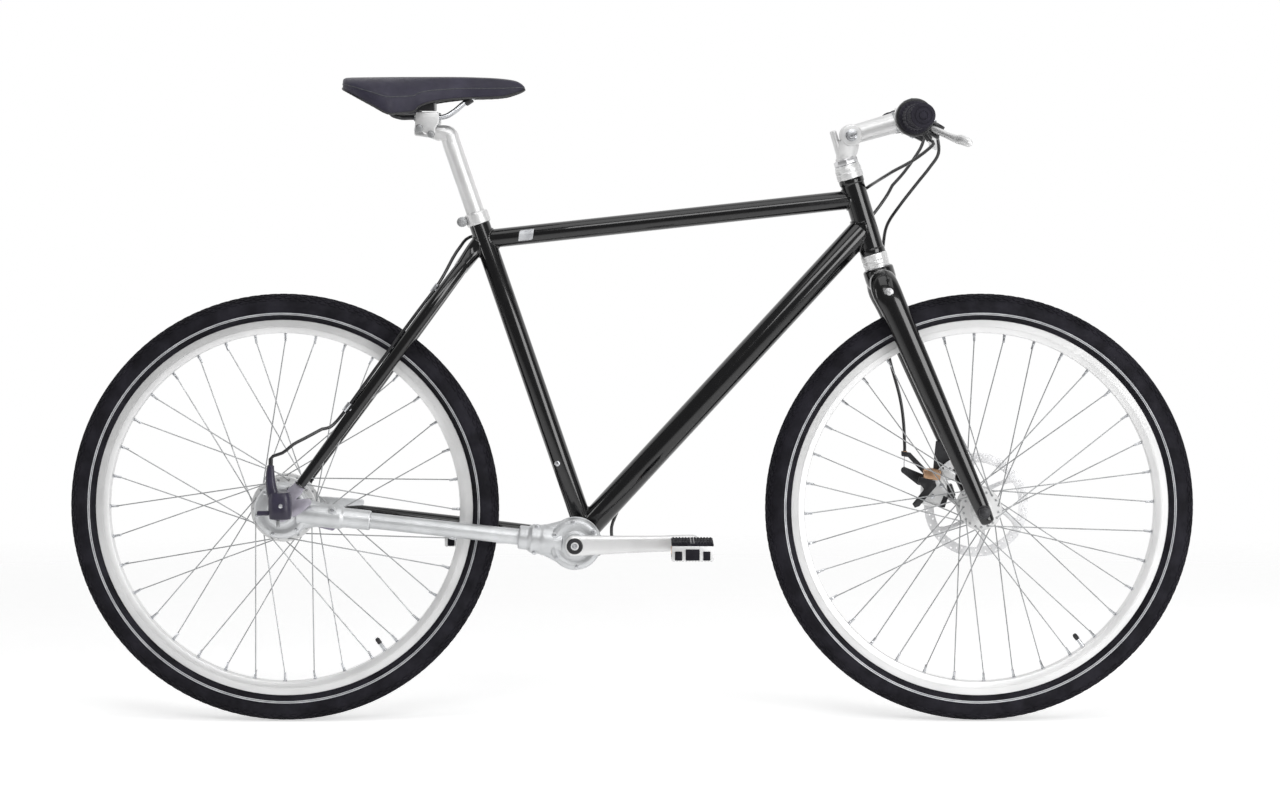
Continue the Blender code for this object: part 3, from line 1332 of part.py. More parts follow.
def rear_gear_case():
    """Case over the hub's bevel gear, open towards the hub, with the neck of the shaft housing."""
    radius = REAR_CASE_RADIUS
    outer_y = REAR_CASE_OUTER_Y
    open_y = REAR_HUB_RIGHT_Y - 0.0012
    profile = [
        (0, open_y),
        (radius, open_y),
        (radius, outer_y + 0.005),
        (radius - 0.005, outer_y),
        (0, outer_y),
    ]
    case = piece("rear_gear_case", turned(profile, 16), "silver_cast", at_y(REAR_AXLE))
    neck = helper(
        turned([
            (0, 0.034),
            (NECK_RADIUS, 0.034),
            (NECK_RADIUS, REAR_NECK_REACH),
            (0.0150, REAR_NECK_REACH + 0.004),
            (0.0150, REAR_NECK_REACH + 0.045),
            (0, REAR_NECK_REACH + 0.045),
        ], 12),
        aim(REAR_APEX, -DRIVE_LINE),
    )
    lug_start = REAR_APEX - DRIVE_LINE * (REAR_NECK_REACH - 0.003)
    lug = helper(
        slab([(-0.008, 0.008), (0.030, 0.008), (0.026, 0.030), (-0.004, 0.030)], -0.005, 0.005),
        Matrix.Translation(lug_start) @ Matrix.Rotation(-math.pi / 2, 4, "X"),
    )
    join(case, neck, lug)
    dropout_room = helper(slab([(-0.2, -0.1), (0.1, -0.1), (0.1, 0.1), (-0.2, 0.1)], -0.1,
                               -DROPOUT_Y + DROPOUT_THICKNESS / 2 + SEAT_GAP), at_y(REAR_AXLE))
    hollow = across(REAR_AXLE, radius - GEAR_CASE_WALL, outer_y + GEAR_CASE_WALL, open_y + 0.01, 14)
    hole = across(REAR_AXLE, AXLE_RADIUS + SEAT_GAP, outer_y - 0.01, open_y, 8)
    bore = rod_between(REAR_APEX - DRIVE_LINE * 0.012, REAR_APEX - DRIVE_LINE * 0.16, CASE_BORE, 12)
    return cut(case, hollow, hole, bore, dropout_room)


def shaft_housing():
    """Tube between the cases, narrowed at both ends to carry the drive shaft."""
    start = 0.036
    end = DRIVE_LENGTH - 0.026
    seat = DRIVE_SHAFT_RADIUS + RUNNING_GAP
    bore = SHAFT_HOUSING_RADIUS - SHAFT_HOUSING_WALL
    ring = 0.008
    profile = [
        (seat, start),
        (SHAFT_HOUSING_RADIUS, start),
        (SHAFT_HOUSING_RADIUS, end),
        (seat, end),
        (seat, end - ring),
        (bore, end - ring),
        (bore, start + ring),
        (seat, start + ring),
    ]
    return piece("shaft_housing", turned(profile, 12), "silver_cast", aim(FRONT_APEX, DRIVE_LINE))


def bevel_rings(teeth, mate_teeth, face, tip_width, root_width, turn):
    """Heel and toe sections of a bevel gear's teeth about local Z, apex at the origin."""
    pitch = GEAR_MODULE * teeth / 2
    cone = math.atan2(teeth, mate_teeth)
    reach = pitch / math.sin(cone)
    toe = (reach - face) / reach
    tip = GEAR_MODULE * TOOTH_TIP
    root = GEAR_MODULE * TOOTH_ROOT
    corners = [(-root_width / 2, -root), (-tip_width / 2, tip), (tip_width / 2, tip),
               (root_width / 2, -root)]
    rings = []
    for scale in (1.0, toe):
        ring = []
        for i in range(teeth):
            middle = turn + 2 * math.pi * i / teeth
            for aside, rise in corners:
                radius = (pitch + rise * math.cos(cone)) * scale
                height = (pitch / math.tan(cone) - rise * math.sin(cone)) * scale
                angle = middle + math.atan2(aside * scale, radius)
                ring.append(Vector((radius * math.cos(angle), radius * math.sin(angle), height)))
        rings.append(ring)
    return rings


def bevel_gear(teeth, mate_teeth, face, tip_width, root_width, turn, back):
    """A bevel gear's solid: toothed cone, flat back at local height back, hub at the toe."""
    heel, toe = bevel_rings(teeth, mate_teeth, face, tip_width, root_width, turn)
    root = min(math.hypot(p.x, p.y) for p in heel)
    rear = [Vector((p.x, p.y, 0)).normalized() * root + Vector((0, 0, back)) for p in heel]
    hub_radius = min(math.hypot(p.x, p.y) for p in toe) * 0.92
    hub_z = max(p.z for p in toe)
    hub = [Vector((p.x, p.y, 0)).normalized() * hub_radius + Vector((0, 0, hub_z)) for p in toe]
    return lofted([rear, heel, toe, hub])


def facing(start, along, towards):
    """The place whose local +Z runs along and whose local +X points towards."""
    return aim(start, along, along.cross(towards))


def ring_gear(name, apex, along, towards, teeth, face, back, bore):
    """Bevel ring with a gap between two teeth where it meets its pinion."""
    bm = bevel_gear(teeth, PINION_TEETH, face, RING_TIP_WIDTH, RING_ROOT_WIDTH,
                    math.pi / teeth, back)
    gear = piece(name, bm, "steel", facing(apex, along, towards))
    low, high = sorted((apex.y - along.y * 0.02, apex.y + along.y * 0.04))
    return cut(gear, across(apex, bore, low, high, 12))


def crank_bevel_gear():
    back = SHAFT_Y - FRONT_CASE_OUTER_Y - GEAR_CASE_WALL - 2 * RUNNING_GAP
    return ring_gear("crank_bevel_gear", FRONT_APEX, -LEFT, DRIVE_LINE, RING_TEETH, TOOTH_FACE,
                     back, SPINDLE_RADIUS + SEAT_GAP)


def hub_bevel_gear():
    back = REAR_HUB_RIGHT_Y - SHAFT_Y - RUNNING_GAP
    return ring_gear("hub_bevel_gear", REAR_APEX, LEFT, -DRIVE_LINE, HUB_RING_TEETH,
                     HUB_TOOTH_FACE, back, AXLE_RADIUS + RUNNING_GAP)


def drive_shaft():
    """Shaft with a bevel pinion at each end, a tooth of each pointing at its ring's gap."""
    front_reach = GEAR_MODULE * RING_TEETH / 2
    rear_reach = GEAR_MODULE * HUB_RING_TEETH / 2
    start = front_reach - TOOTH_FACE * 0.5
    end = DRIVE_LENGTH - rear_reach + HUB_TOOTH_FACE * 0.5
    shaft = piece(
        "drive_shaft",
        rod(DRIVE_SHAFT_RADIUS, start, end, 10),
        "steel",
        facing(FRONT_APEX, DRIVE_LINE, -LEFT),
    )
    front = bevel_gear(PINION_TEETH, RING_TEETH, TOOTH_FACE, PINION_TIP_WIDTH,
                       PINION_ROOT_WIDTH, 0, front_reach + 0.003)
    rear = bevel_gear(PINION_TEETH, HUB_RING_TEETH, HUB_TOOTH_FACE, PINION_TIP_WIDTH,
                      PINION_ROOT_WIDTH, 0, rear_reach + 0.003)
    return join(
        shaft,
        helper(front, facing(FRONT_APEX, DRIVE_LINE, -LEFT)),
        helper(rear, facing(REAR_APEX, -DRIVE_LINE, LEFT)),
    )


def crank_spindle():
    """Spindle through the bracket shell, stepped down to the bolt at both ends."""
    shoulder = CRANK_Y - SEAT_GAP
    end = CRANK_Y + CRANK_THICKNESS / 2 + SPINDLE_BOLT_RISE
    profile = [
        (0, -end),
        (SPINDLE_BOLT_RADIUS, -end),
        (SPINDLE_BOLT_RADIUS, -shoulder),
        (SPINDLE_RADIUS, -shoulder),
        (SPINDLE_RADIUS, shoulder),
        (SPINDLE_BOLT_RADIUS, shoulder),
        (SPINDLE_BOLT_RADIUS, end),
        (0, end),
    ]
    return piece("crank_spindle", turned(profile, 12), "steel", at_y(BRACKET))


def crank(name, hand):
    """Arm with its boss on the spindle and, at the far end, the pedal's axle."""
    ahead = -hand
    half = CRANK_THICKNESS / 2
    outline = []
    for i in range(7):
        angle = math.radians(100 + 160 * i / 6)
        outline.append((CRANK_BOSS_RADIUS * math.cos(angle), CRANK_BOSS_RADIUS * math.sin(angle)))
    for i in range(5):
        angle = math.radians(-84 + 168 * i / 4)
        x = CRANK_LENGTH + CRANK_EYE_RADIUS * math.cos(angle)
        outline.append((x, CRANK_EYE_RADIUS * math.sin(angle)))
    rings = []
    inset = 0.0022
    for y, drawn in ((-half, inset), (-half + inset, 0), (half - inset, 0), (half, inset)):
        ring = []
        for x, z in outline:
            pulled_x = x - math.copysign(drawn, x - CRANK_LENGTH / 2)
            ring.append(Vector((pulled_x, z * (1 - drawn / CRANK_BOSS_RADIUS), y)))
        rings.append(ring)
    pedal_way = Vector((ahead * math.cos(CRANK_TILT), 0, ahead * math.sin(CRANK_TILT)))
    place = facing(mirrored(BRACKET, hand * CRANK_Y), LEFT * hand, pedal_way)
    arm = piece(name, lofted(rings), "polished", place)
    inward = CRANK_Y - BRACKET_BOSS_END
    boss = helper(rod(CRANK_BOSS_RADIUS * 0.85, -inward, 0, 10), place)
    axle = helper(
        rod(PEDAL_AXLE_RADIUS, 0, half + PEDAL_GAP + PEDAL_WIDTH - 0.006, 8),
        place @ Matrix.Translation((CRANK_LENGTH, 0, 0)),
    )
    join(arm, boss, axle)
    seat = helper(rod(SPINDLE_RADIUS + 2 * SEAT_GAP, -inward - 0.01, 0, 10), place)
    bolt = helper(rod(SPINDLE_BOLT_RADIUS + 2 * SEAT_GAP, -0.02, 0.02, 8), place)
    return cut(arm, seat, bolt)


def pedal_axle_point(hand):
    reach = -hand * CRANK_LENGTH
    return BRACKET + Vector((reach * math.cos(CRANK_TILT), 0, reach * math.sin(CRANK_TILT)))


def pedal(name, hand):
    """Platform with tread blocks above and below a narrower middle, bored for its axle."""
    half_x = PEDAL_LENGTH / 2
    half_z = PEDAL_HEIGHT / 2
    band = half_z * 0.42
    block = PEDAL_LENGTH / 7
    upper = [(half_x, band), (half_x, half_z)]
    edge = half_x
    for i in range(2):
        upper += [(edge - block * 1.9, half_z), (edge - block * 2.1, band),
                  (edge - block * 2.4, band), (edge - block * 2.6, half_z)]
        edge -= block * 2.35
    upper += [(-half_x, half_z), (-half_x, band)]
    lower = [(-x, -z) for x, z in upper]
    middle = [(half_x - 0.003, -band * 0.8), (half_x - 0.003, band * 0.8)]
    outline = upper + [(-x, -z) for x, z in middle] + lower + middle
    low, high = sorted((
        hand * (CRANK_Y + CRANK_THICKNESS / 2 + PEDAL_GAP),
        hand * (CRANK_Y + CRANK_THICKNESS / 2 + PEDAL_GAP + PEDAL_WIDTH),
    ))
    centre = pedal_axle_point(hand)
    body = piece(name, slab(outline, low, high), "black_plastic", at_y(centre))
    bore_low, bore_high = sorted((low - 0.01 if hand > 0 else high + 0.01,
                                  high - 0.004 if hand > 0 else low + 0.004))
    return cut(body, across(centre, PEDAL_AXLE_RADIUS + RUNNING_GAP, bore_low, bore_high, 12))


def rear_axle():
    inner = DROPOUT_Y - DROPOUT_THICKNESS / 2 - SEAT_GAP
    outer = DROPOUT_Y + DROPOUT_THICKNESS / 2 + SEAT_GAP
    left = (BRAKE_PLATE_Y + BRAKE_PLATE_THICKNESS + SEAT_GAP, inner)
    right = (-REAR_CASE_OUTER_Y + SEAT_GAP, inner)
    left_end = outer + AXLE_NUT_LENGTH + 0.004
    right_end = SHIFT_BOX_INNER_Y + 0.012
    return wheel_axle("rear_axle", REAR_AXLE, "steel", left, outer, right, outer, left_end,
                      right_end)


def capsule(centre, radius, half_length, sides):
    """Outline of an upright capsule round centre."""
    outline = []
    for i in range(sides):
        angle = math.pi * i / (sides - 1)
        outline.append((centre[0] + radius * math.cos(angle),
                        centre[1] + half_length + radius * math.sin(angle)))
    for i in range(sides):
        angle = math.pi + math.pi * i / (sides - 1)
        outline.append((centre[0] + radius * math.cos(angle),
                        centre[1] - half_length + radius * math.sin(angle)))
    return outline


def hub_shift_box():
    """Moulded box on the axle's right end with a stalk up to the cable and a small pin behind."""
    low, high = -SHIFT_BOX_INNER_Y - SHIFT_BOX_WIDTH, -SHIFT_BOX_INNER_Y
    body = piece(
        "hub_shift_box",
        slab(capsule((-0.005, 0.011), 0.0175, 0.0045, 7), low, high),
        "black_plastic",
        at_y(REAR_AXLE),
    )
    middle = (low + high) / 2
    stalk = helper(
        lofted([
            [Vector((-0.009, 0.022, middle - 0.009)), Vector((0.012, 0.022, middle - 0.009)),
             Vector((0.012, 0.022, middle + 0.009)), Vector((-0.009, 0.022, middle + 0.009))],
            [Vector((0.0035, 0.074, middle - 0.006)), Vector((0.0185, 0.074, middle - 0.006)),
             Vector((0.0185, 0.074, middle + 0.006)), Vector((0.0035, 0.074, middle + 0.006))],
        ]),
        at_y(REAR_AXLE),
    )
    pin = helper(slab([(0.008, -0.012), (0.032, -0.012), (0.032, -0.004), (0.008, -0.004)],
                      middle - 0.004, middle + 0.004), at_y(REAR_AXLE))
    join(body, stalk, pin)
    nut_room = across(REAR_AXLE, AXLE_RADIUS + SEAT_GAP, middle - 0.001, high + 0.01, 12)
    return cut(body, nut_room)


def rear_brake_plate():
    """Fixed plate that closes the brake drum, with its reaction arm out to the chainstay."""
    low, high = BRAKE_PLATE_Y, BRAKE_PLATE_Y + BRAKE_PLATE_THICKNESS
    plate = piece(
        "rear_brake_plate",
        turned([
            (AXLE_RADIUS + SEAT_GAP, low),
            (0.042, low),
            (0.042, high - 0.003),
            (0.024, high),
            (AXLE_RADIUS + SEAT_GAP, high),
        ], 16),
        "dark_metal",
        at_y(REAR_AXLE),
    )
    arm = helper(slab([(-0.020, -0.004), (-0.088, -0.005), (-0.116, -0.004), (-0.116, 0.014),
                       (-0.088, 0.014), (-0.020, 0.018)], low + 0.0012, low + 0.0050),
                 at_y(REAR_AXLE))
    pivot = helper(rod(BRAKE_ARM_PIN_RADIUS, high - 0.003, high + BRAKE_ARM_THICKNESS + 0.002, 10),
                   at_y(BRAKE_ARM_PIVOT))
    return join(plate, arm, pivot)


def rear_brake_arm():
    """Lever on the brake plate that the rear brake cable pulls forward."""
    low = BRAKE_PLATE_Y + BRAKE_PLATE_THICKNESS + RUNNING_GAP
    reach = BRAKE_ARM_TIP - BRAKE_ARM_PIVOT
    way = reach.normalized()
    square = Vector((-way.z, 0, way.x))
    outline = []
    for centre, radius, turn in ((BRAKE_ARM_PIVOT, 0.008, 1), (BRAKE_ARM_TIP, 0.005, -1)):
        for i in range(6):
            angle = math.radians(90 - 180 * i / 5)
            point = centre - turn * way * radius * math.cos(angle) - turn * square * radius * math.sin(angle)
            outline.append((-(point.x - REAR_AXLE.x), point.z - REAR_AXLE.z))
    arm = piece("rear_brake_arm", slab(outline, low, low + BRAKE_ARM_THICKNESS), "steel",
                at_y(REAR_AXLE))
    bore = across(BRAKE_ARM_PIVOT, BRAKE_ARM_PIN_RADIUS + RUNNING_GAP, low - 0.01, low + 0.02, 10)
    return cut(arm, bore)


# Seat: post with its cradle, tilting clamp, rails and saddle
POST_TOP = SEAT_TOP + SEAT_UP * (COLLAR_ABOVE_TUBE + SEATPOST_SHOWN)


def seatpost():
    """Post with a head that reaches back to the round cradle of the saddle clamp."""
    post = piece(
        "seatpost",
        turned([
            (SEATPOST_RADIUS - 0.002, -SEATPOST_LENGTH),
            (SEATPOST_RADIUS, -SEATPOST_LENGTH),
            (SEATPOST_RADIUS, 0),
            (0, 0),
            (0, -0.020),
            (SEATPOST_RADIUS - 0.002, -0.020),
        ], 12),
        "polished",
        aim(POST_TOP, SEAT_UP),
    )
    head = helper(
        slab([(-0.0115, -0.022), (0.012, -0.024), (0.020, -0.004), (0.052, 0.001),
              (0.052, 0.0138), (0.004, 0.0138), (-0.008, 0.002)], -0.0125, 0.0125),
        at_y(POST_TOP),
    )
    join(post, head)
    return cut(post, across(TILT_PIVOT, CLAMP_DRUM_RADIUS + RUNNING_GAP, -0.03, 0.03, 20))


def rail_route():
    """The bent wire of the rails, from one rear end round the nose to the other."""
    half = [
        (-0.367, 0.037, 0.9355),
        (-0.361, 0.032, 0.9220),
        (-0.350, RAIL_SPREAD + 0.001, 0.9175),
        (-0.335, RAIL_SPREAD, 0.9175),
        (-0.288, RAIL_SPREAD, 0.9177),
        (-0.268, 0.018, 0.9270),
        (-0.247, 0.0135, 0.9370),
        (-0.226, 0.0095, 0.9420),
        (-0.217, 0.0, 0.9424),
    ]
    left = [Vector(point) for point in half]
    right = [Vector((x, -y, z)) for x, y, z in reversed(half[:-1])]
    return smooth_route(left + right, 22)


def saddle_rails():
    route = rail_route()
    halves = [(RAIL_RADIUS, RAIL_RADIUS)] * len(route)
    return piece("saddle_rails", swept(route, halves, 6, UP), "dark_metal")


def saddle_clamp():
    """Drum in the post's cradle with a block above it that holds both rails."""
    drum = piece(
        "saddle_clamp",
        rod(CLAMP_DRUM_RADIUS, -CLAMP_HALF_WIDTH, CLAMP_HALF_WIDTH, 14),
        "steel",
        at_y(TILT_PIVOT),
    )
    block = helper(
        slab([(-0.0185, 0.0070), (0.0185, 0.0070), (0.0185, 0.0165), (0.0150, 0.0185),
              (-0.0150, 0.0185), (-0.0185, 0.0165)], -CLAMP_HALF_WIDTH - 0.001, CLAMP_HALF_WIDTH + 0.001),
        at_y(TILT_PIVOT),
    )
    join(drum, block)
    rail_rooms = [
        helper(swept(
            [Vector((x, hand * RAIL_SPREAD, 0.9175)) for x in (-0.345, -0.3125, -0.280)],
            [(RAIL_RADIUS + 0.0009, RAIL_RADIUS + 0.0009)] * 3, 8, UP,
        ))
        for hand in (-1, 1)
    ]
    return cut(drum, *rail_rooms)


def saddle():
    """Padded saddle: broad tail, narrow nose, crowned top, skirts and a hollow underside."""
    stations = [
        # X, half width, top, skirt's lower edge, underside in the middle
        (-0.4290, 0.046, 0.9660, 0.9570, 0.9590),
        (-0.4250, 0.062, 0.9720, 0.9500, 0.9540),
        (-0.4120, 0.078, 0.9752, 0.9430, 0.9475),
        (-0.3900, 0.086, 0.9760, 0.9320, 0.9400),
        (-0.3600, 0.083, 0.9758, 0.9180, 0.9390),
        (-0.3320, 0.068, 0.9752, 0.9175, 0.9390),
        (-0.3060, 0.050, 0.9745, 0.9190, 0.9395),
        (-0.2980, 0.046, 0.9742, 0.9400, 0.9440),
        (-0.2650, 0.033, 0.9735, 0.9430, 0.9465),
        (-0.2250, 0.026, 0.9728, 0.9440, 0.9463),
        (-0.1900, 0.022, 0.9715, 0.9470, 0.9500),
        (-0.1700, 0.017, 0.9690, 0.9520, 0.9540),
        (-0.1620, 0.009, 0.9640, 0.9570, 0.9580),
    ]
    rings = []
    for x, half, top, skirt, under in stations:
        crown = top - SADDLE_GROOVE * min(1, half / 0.06)
        outer = [
            (0.0, crown), (0.30, top), (0.62, top - 0.0025), (0.86, top - (top - skirt) * 0.20),
            (1.0, top - (top - skirt) * 0.52), (0.985, skirt + (top - skirt) * 0.12),
            (0.95, skirt), (0.80, skirt + (under - skirt) * 0.35), (0.45, under), (0.0, under),
        ]
        left = [(half * y, z) for y, z in outer]
        right = [(-y, z) for y, z in reversed(left[1:-1])]
        rings.append([Vector((x, y, z)) for y, z in left + right])
    return piece("saddle", lofted(rings), "slate_vinyl")


# Cables, each held along its whole route
def cable(name, points, count):
    """A cable as a curve with a round section, through a smooth route."""
    places = [Vector(point) for point in points]
    route = [places[0]] + smooth_route(places[1:-1], count - 2) + [places[-1]]
    curve = bpy.data.curves.new(name, "CURVE")
    curve.dimensions = "3D"
    curve.bevel_depth = CABLE_RADIUS
    curve.bevel_resolution = 2
    curve.use_fill_caps = True
    spline = curve.splines.new("POLY")
    spline.points.add(len(route) - 1)
    for point, place in zip(spline.points, route):
        point.co = (*place, 1)
    line = bpy.data.objects.new(name, curve)
    bpy.context.collection.objects.link(line)
    paint(line, "cable")
    return line


def beside(start, direction, along, lift, y):
    """A point at a distance along a tube's axis, lifted square to it in the side view."""
    square = Vector((-direction.z, 0, direction.x))
    return mirrored(start + direction * along + square * lift, y)


def shift_cable():
    """From the shifter, past the head tube's left, along the top tube and the right stay."""
    exit_y = -(SHIFTER_OUTER + SHIFTER_INNER) / 2
    start = mirrored(BAR + SHIFT_EXIT_WAY * (SHIFTER_BOSS_REACH + SEAT_GAP), exit_y)
    top_way = (TOP_TUBE_REAR - TOP_TUBE_FRONT).normalized()
    side_y = TOP_TUBE_RADIUS + WELD_RISE + CABLE_RADIUS + CABLE_GAP
    off = STAY_RADIUS + CABLE_RADIUS + CABLE_GAP
    points = [
        start,
        start + SHIFT_EXIT_WAY * 0.008,
        (0.4174, -0.110, 0.8535),
        (0.3890, -0.060, 0.8358),
        (0.3750, -0.012, 0.8250),
        (0.3620, 0.026, 0.8150),
        (0.3450, 0.0285, 0.8050),
        (0.3050, 0.0240, 0.7950),
        beside(TOP_TUBE_FRONT, top_way, 0.090, 0, side_y),
        beside(TOP_TUBE_FRONT, top_way, 0.270, 0, side_y),
        beside(TOP_TUBE_FRONT, top_way, 0.450, 0, side_y),
        (-0.2060, 0.0225, 0.7375),
        (-0.2320, 0.0215, 0.7400),
        (-0.2500, 0.0130, 0.7350),
        (-0.2605, -0.0010, 0.7220),
        (-0.2700, -0.0130, 0.7070),
        beside(STAY_TOP, STAY_DOWN, 0.0950, -off, -0.0310),
        beside(STAY_TOP, STAY_DOWN, 0.1500, -off, -0.0440),
        beside(STAY_TOP, STAY_DOWN, 0.2400, -off, -0.0545),
        beside(STAY_TOP, STAY_DOWN, 0.3500, -off, -0.0630),
        (-0.4650, -0.0760, 0.4510),
        (-0.4877, -0.0860, 0.4390),
        (-0.5050, -0.0920, 0.4300),
        (-0.5200, -0.0950, 0.4180),
        (-0.5380, -0.0950, 0.4110),
        (-0.5388, -0.0950, 0.4010),
    ]
    return cable("shift_cable", points, 38)


def rear_brake_cable():
    """From the left lever, past the head tube, down the down tube, under the bracket, to the arm."""
    start = lever_cable_start(1, LEFT_BRACKET_INWARD)
    side_y = DOWN_TUBE_RADIUS + WELD_RISE + CABLE_RADIUS + CABLE_GAP
    down_way = (BRACKET - DOWN_TUBE_FRONT).normalized()
    stay_way = (REAR_AXLE - BRACKET).normalized()
    off = CHAINSTAY_RADIUS + CABLE_RADIUS + CABLE_GAP
    points = [
        start,
        start + Vector((0, -0.008, 0)),
        (0.4440, 0.0950, 0.8720),
        (0.4177, 0.0600, 0.8374),
        (0.3970, 0.0450, 0.8150),
        (0.3870, 0.0370, 0.7980),
        (0.3677, 0.0310, 0.7720),
        (0.3400, 0.0290, 0.7400),
        beside(DOWN_TUBE_FRONT, down_way, 0.080, 0, side_y + 0.001),
        beside(DOWN_TUBE_FRONT, down_way, 0.240, 0, side_y),
        beside(DOWN_TUBE_FRONT, down_way, 0.400, 0, side_y),
        beside(DOWN_TUBE_FRONT, down_way, 0.520, 0.006, side_y + 0.001),
        (-0.0290, 0.0300, 0.3020),
        (-0.0330, 0.0350, 0.2720),
        (-0.0550, 0.0400, 0.2480),
        (-0.0950, 0.0440, 0.2470),
        beside(BRACKET, stay_way, 0.070, off, 0.0470),
        beside(BRACKET, stay_way, 0.180, off, 0.0500),
        beside(BRACKET, stay_way, 0.280, off, 0.0560),
        beside(BRACKET, stay_way, 0.340, off, 0.0560),
        (-0.4390, 0.0528, 0.2925),
        (-0.4480, 0.0525, 0.2918),
    ]
    return cable("rear_brake_cable", points, 36)


def lever_cable_start(hand, inward):
    place = bracket_place(hand, inward)
    return place @ Vector((LEVER_BARREL_AHEAD, -0.026 - SEAT_GAP, 0))


def front_brake_cable():
    """From the right lever, past the head tube and the crown, down the left blade's outer side."""
    start = lever_cable_start(-1, RIGHT_BRACKET_INWARD)
    points = [
        start,
        start + Vector((0, 0.008, 0)),
        (0.4560, -0.0780, 0.8640),
        (0.4440, -0.0620, 0.8417),
        (0.4280, -0.0380, 0.8190),
        (0.4047, -0.0080, 0.7855),
        (0.3884, 0.0220, 0.7568),
        (0.3840, 0.0420, 0.7300),
        (0.3840, 0.0580, 0.6980),
        (0.3860, 0.0660, 0.6600),
        (0.3890, 0.0690, 0.6100),
        (0.3945, 0.0680, 0.5560),
        (0.4110, 0.0640, 0.4940),
        (0.4170, 0.0590, 0.4550),
        (0.4190, 0.0562, 0.4165),
        (0.4190, 0.0560, 0.4075),
    ]
    return cable("front_brake_cable", points, 22)


frame_pieces += [
    front_gear_case(),
    shaft_housing(),
    rear_gear_case(),
    rear_axle(),
    hub_shift_box(),
    rear_brake_plate(),
    shift_cable(),
    rear_brake_cable(),
]
fork_pieces.append(front_brake_cable())
crank_pieces = [
    crank_spindle(),
    crank_bevel_gear(),
    crank("crank_right", -1),
    crank("crank_left", 1),
]
shaft_pieces = [drive_shaft()]
hub_gear_pieces = [hub_bevel_gear()]
pedal_right = [pedal("pedal_right", -1)]
pedal_left = [pedal("pedal_left", 1)]
rear_arm_pieces = [rear_brake_arm()]
post_pieces = [seatpost()]
saddle_pieces = [saddle_clamp(), saddle_rails(), saddle()]

# What turns or slides hangs from an empty on its joint's axis
steering = carried_by("steering", CROWN_SEAT, fork_pieces)
stem_angle = carried_by("stem_angle", STEM_PIVOT, bar_pieces, steering)
gear_twist = carried_by("gear_twist", BAR, twist_pieces, stem_angle)
right_pivot = bracket_place(-1, RIGHT_BRACKET_INWARD) @ LEVER_PIVOT
left_pivot = bracket_place(1, LEFT_BRACKET_INWARD) @ LEVER_PIVOT
right_lever = carried_by("right_lever", right_pivot, lever_right, stem_angle)
left_lever = carried_by("left_lever", left_pivot, lever_left, stem_angle)
front_arm = carried_by("front_arm", ARM_PIVOT, arm_pieces, steering)
front_spin = carried_by("front_spin", FRONT_AXLE, front_wheel, steering)
rear_spin = carried_by("rear_spin", REAR_AXLE, rear_wheel)
crank_spin = carried_by("crank_spin", BRACKET, crank_pieces)
right_pedal = carried_by("right_pedal", pedal_axle_point(-1), pedal_right, crank_spin)
left_pedal = carried_by("left_pedal", pedal_axle_point(1), pedal_left, crank_spin)
shaft_spin = carried_by("shaft_spin", FRONT_APEX, shaft_pieces)
hub_gear_spin = carried_by("hub_gear_spin", REAR_APEX, hub_gear_pieces)
rear_arm = carried_by("rear_arm", BRAKE_ARM_PIVOT, rear_arm_pieces)
seat_height = carried_by("seat_height", SEAT_TOP, post_pieces)
saddle_tilt = carried_by("saddle_tilt", TILT_PIVOT, saddle_pieces, seat_height)
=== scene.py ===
"""City bike with a shaft drive: the pieces that are seen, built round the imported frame.

Metres, +X forward, +Y to the rider's left, +Z up, origin on the ground between the wheels.
"""

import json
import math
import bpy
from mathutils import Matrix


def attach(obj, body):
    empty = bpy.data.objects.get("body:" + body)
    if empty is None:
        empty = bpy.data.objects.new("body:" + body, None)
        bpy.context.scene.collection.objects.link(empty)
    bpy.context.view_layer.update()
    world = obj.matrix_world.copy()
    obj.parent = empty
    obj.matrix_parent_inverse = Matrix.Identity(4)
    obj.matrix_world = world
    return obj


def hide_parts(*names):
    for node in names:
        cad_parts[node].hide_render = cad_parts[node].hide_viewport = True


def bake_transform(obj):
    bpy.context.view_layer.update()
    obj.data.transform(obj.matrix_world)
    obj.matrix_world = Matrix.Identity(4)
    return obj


bl_info = {
    "name": "City bike pieces",
    "version": (1, 0, 0),
    "blender": (4, 5, 0),
    "location": "3D View > Sidebar > City bike",
    "description": "Builds the visible pieces of a shaft driven city bike on its packed frame",
    "category": "Object",
}

import bmesh
import bpy
from mathutils import Matrix, Vector

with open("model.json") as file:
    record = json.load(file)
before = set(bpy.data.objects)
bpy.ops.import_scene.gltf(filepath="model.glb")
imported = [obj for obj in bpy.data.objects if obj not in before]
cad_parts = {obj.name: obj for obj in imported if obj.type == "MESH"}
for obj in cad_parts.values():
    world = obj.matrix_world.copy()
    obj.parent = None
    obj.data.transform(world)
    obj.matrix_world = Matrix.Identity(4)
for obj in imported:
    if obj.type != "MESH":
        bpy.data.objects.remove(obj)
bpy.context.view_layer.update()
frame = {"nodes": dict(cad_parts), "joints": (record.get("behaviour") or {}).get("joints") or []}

# Places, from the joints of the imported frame
JOINTS = {joint["name"]: joint for joint in frame["joints"]}


def joint_point(name):
    return Vector(JOINTS[name]["pos_m"])


def joint_axis(name):
    return Vector(JOINTS[name]["axis"]).normalized()


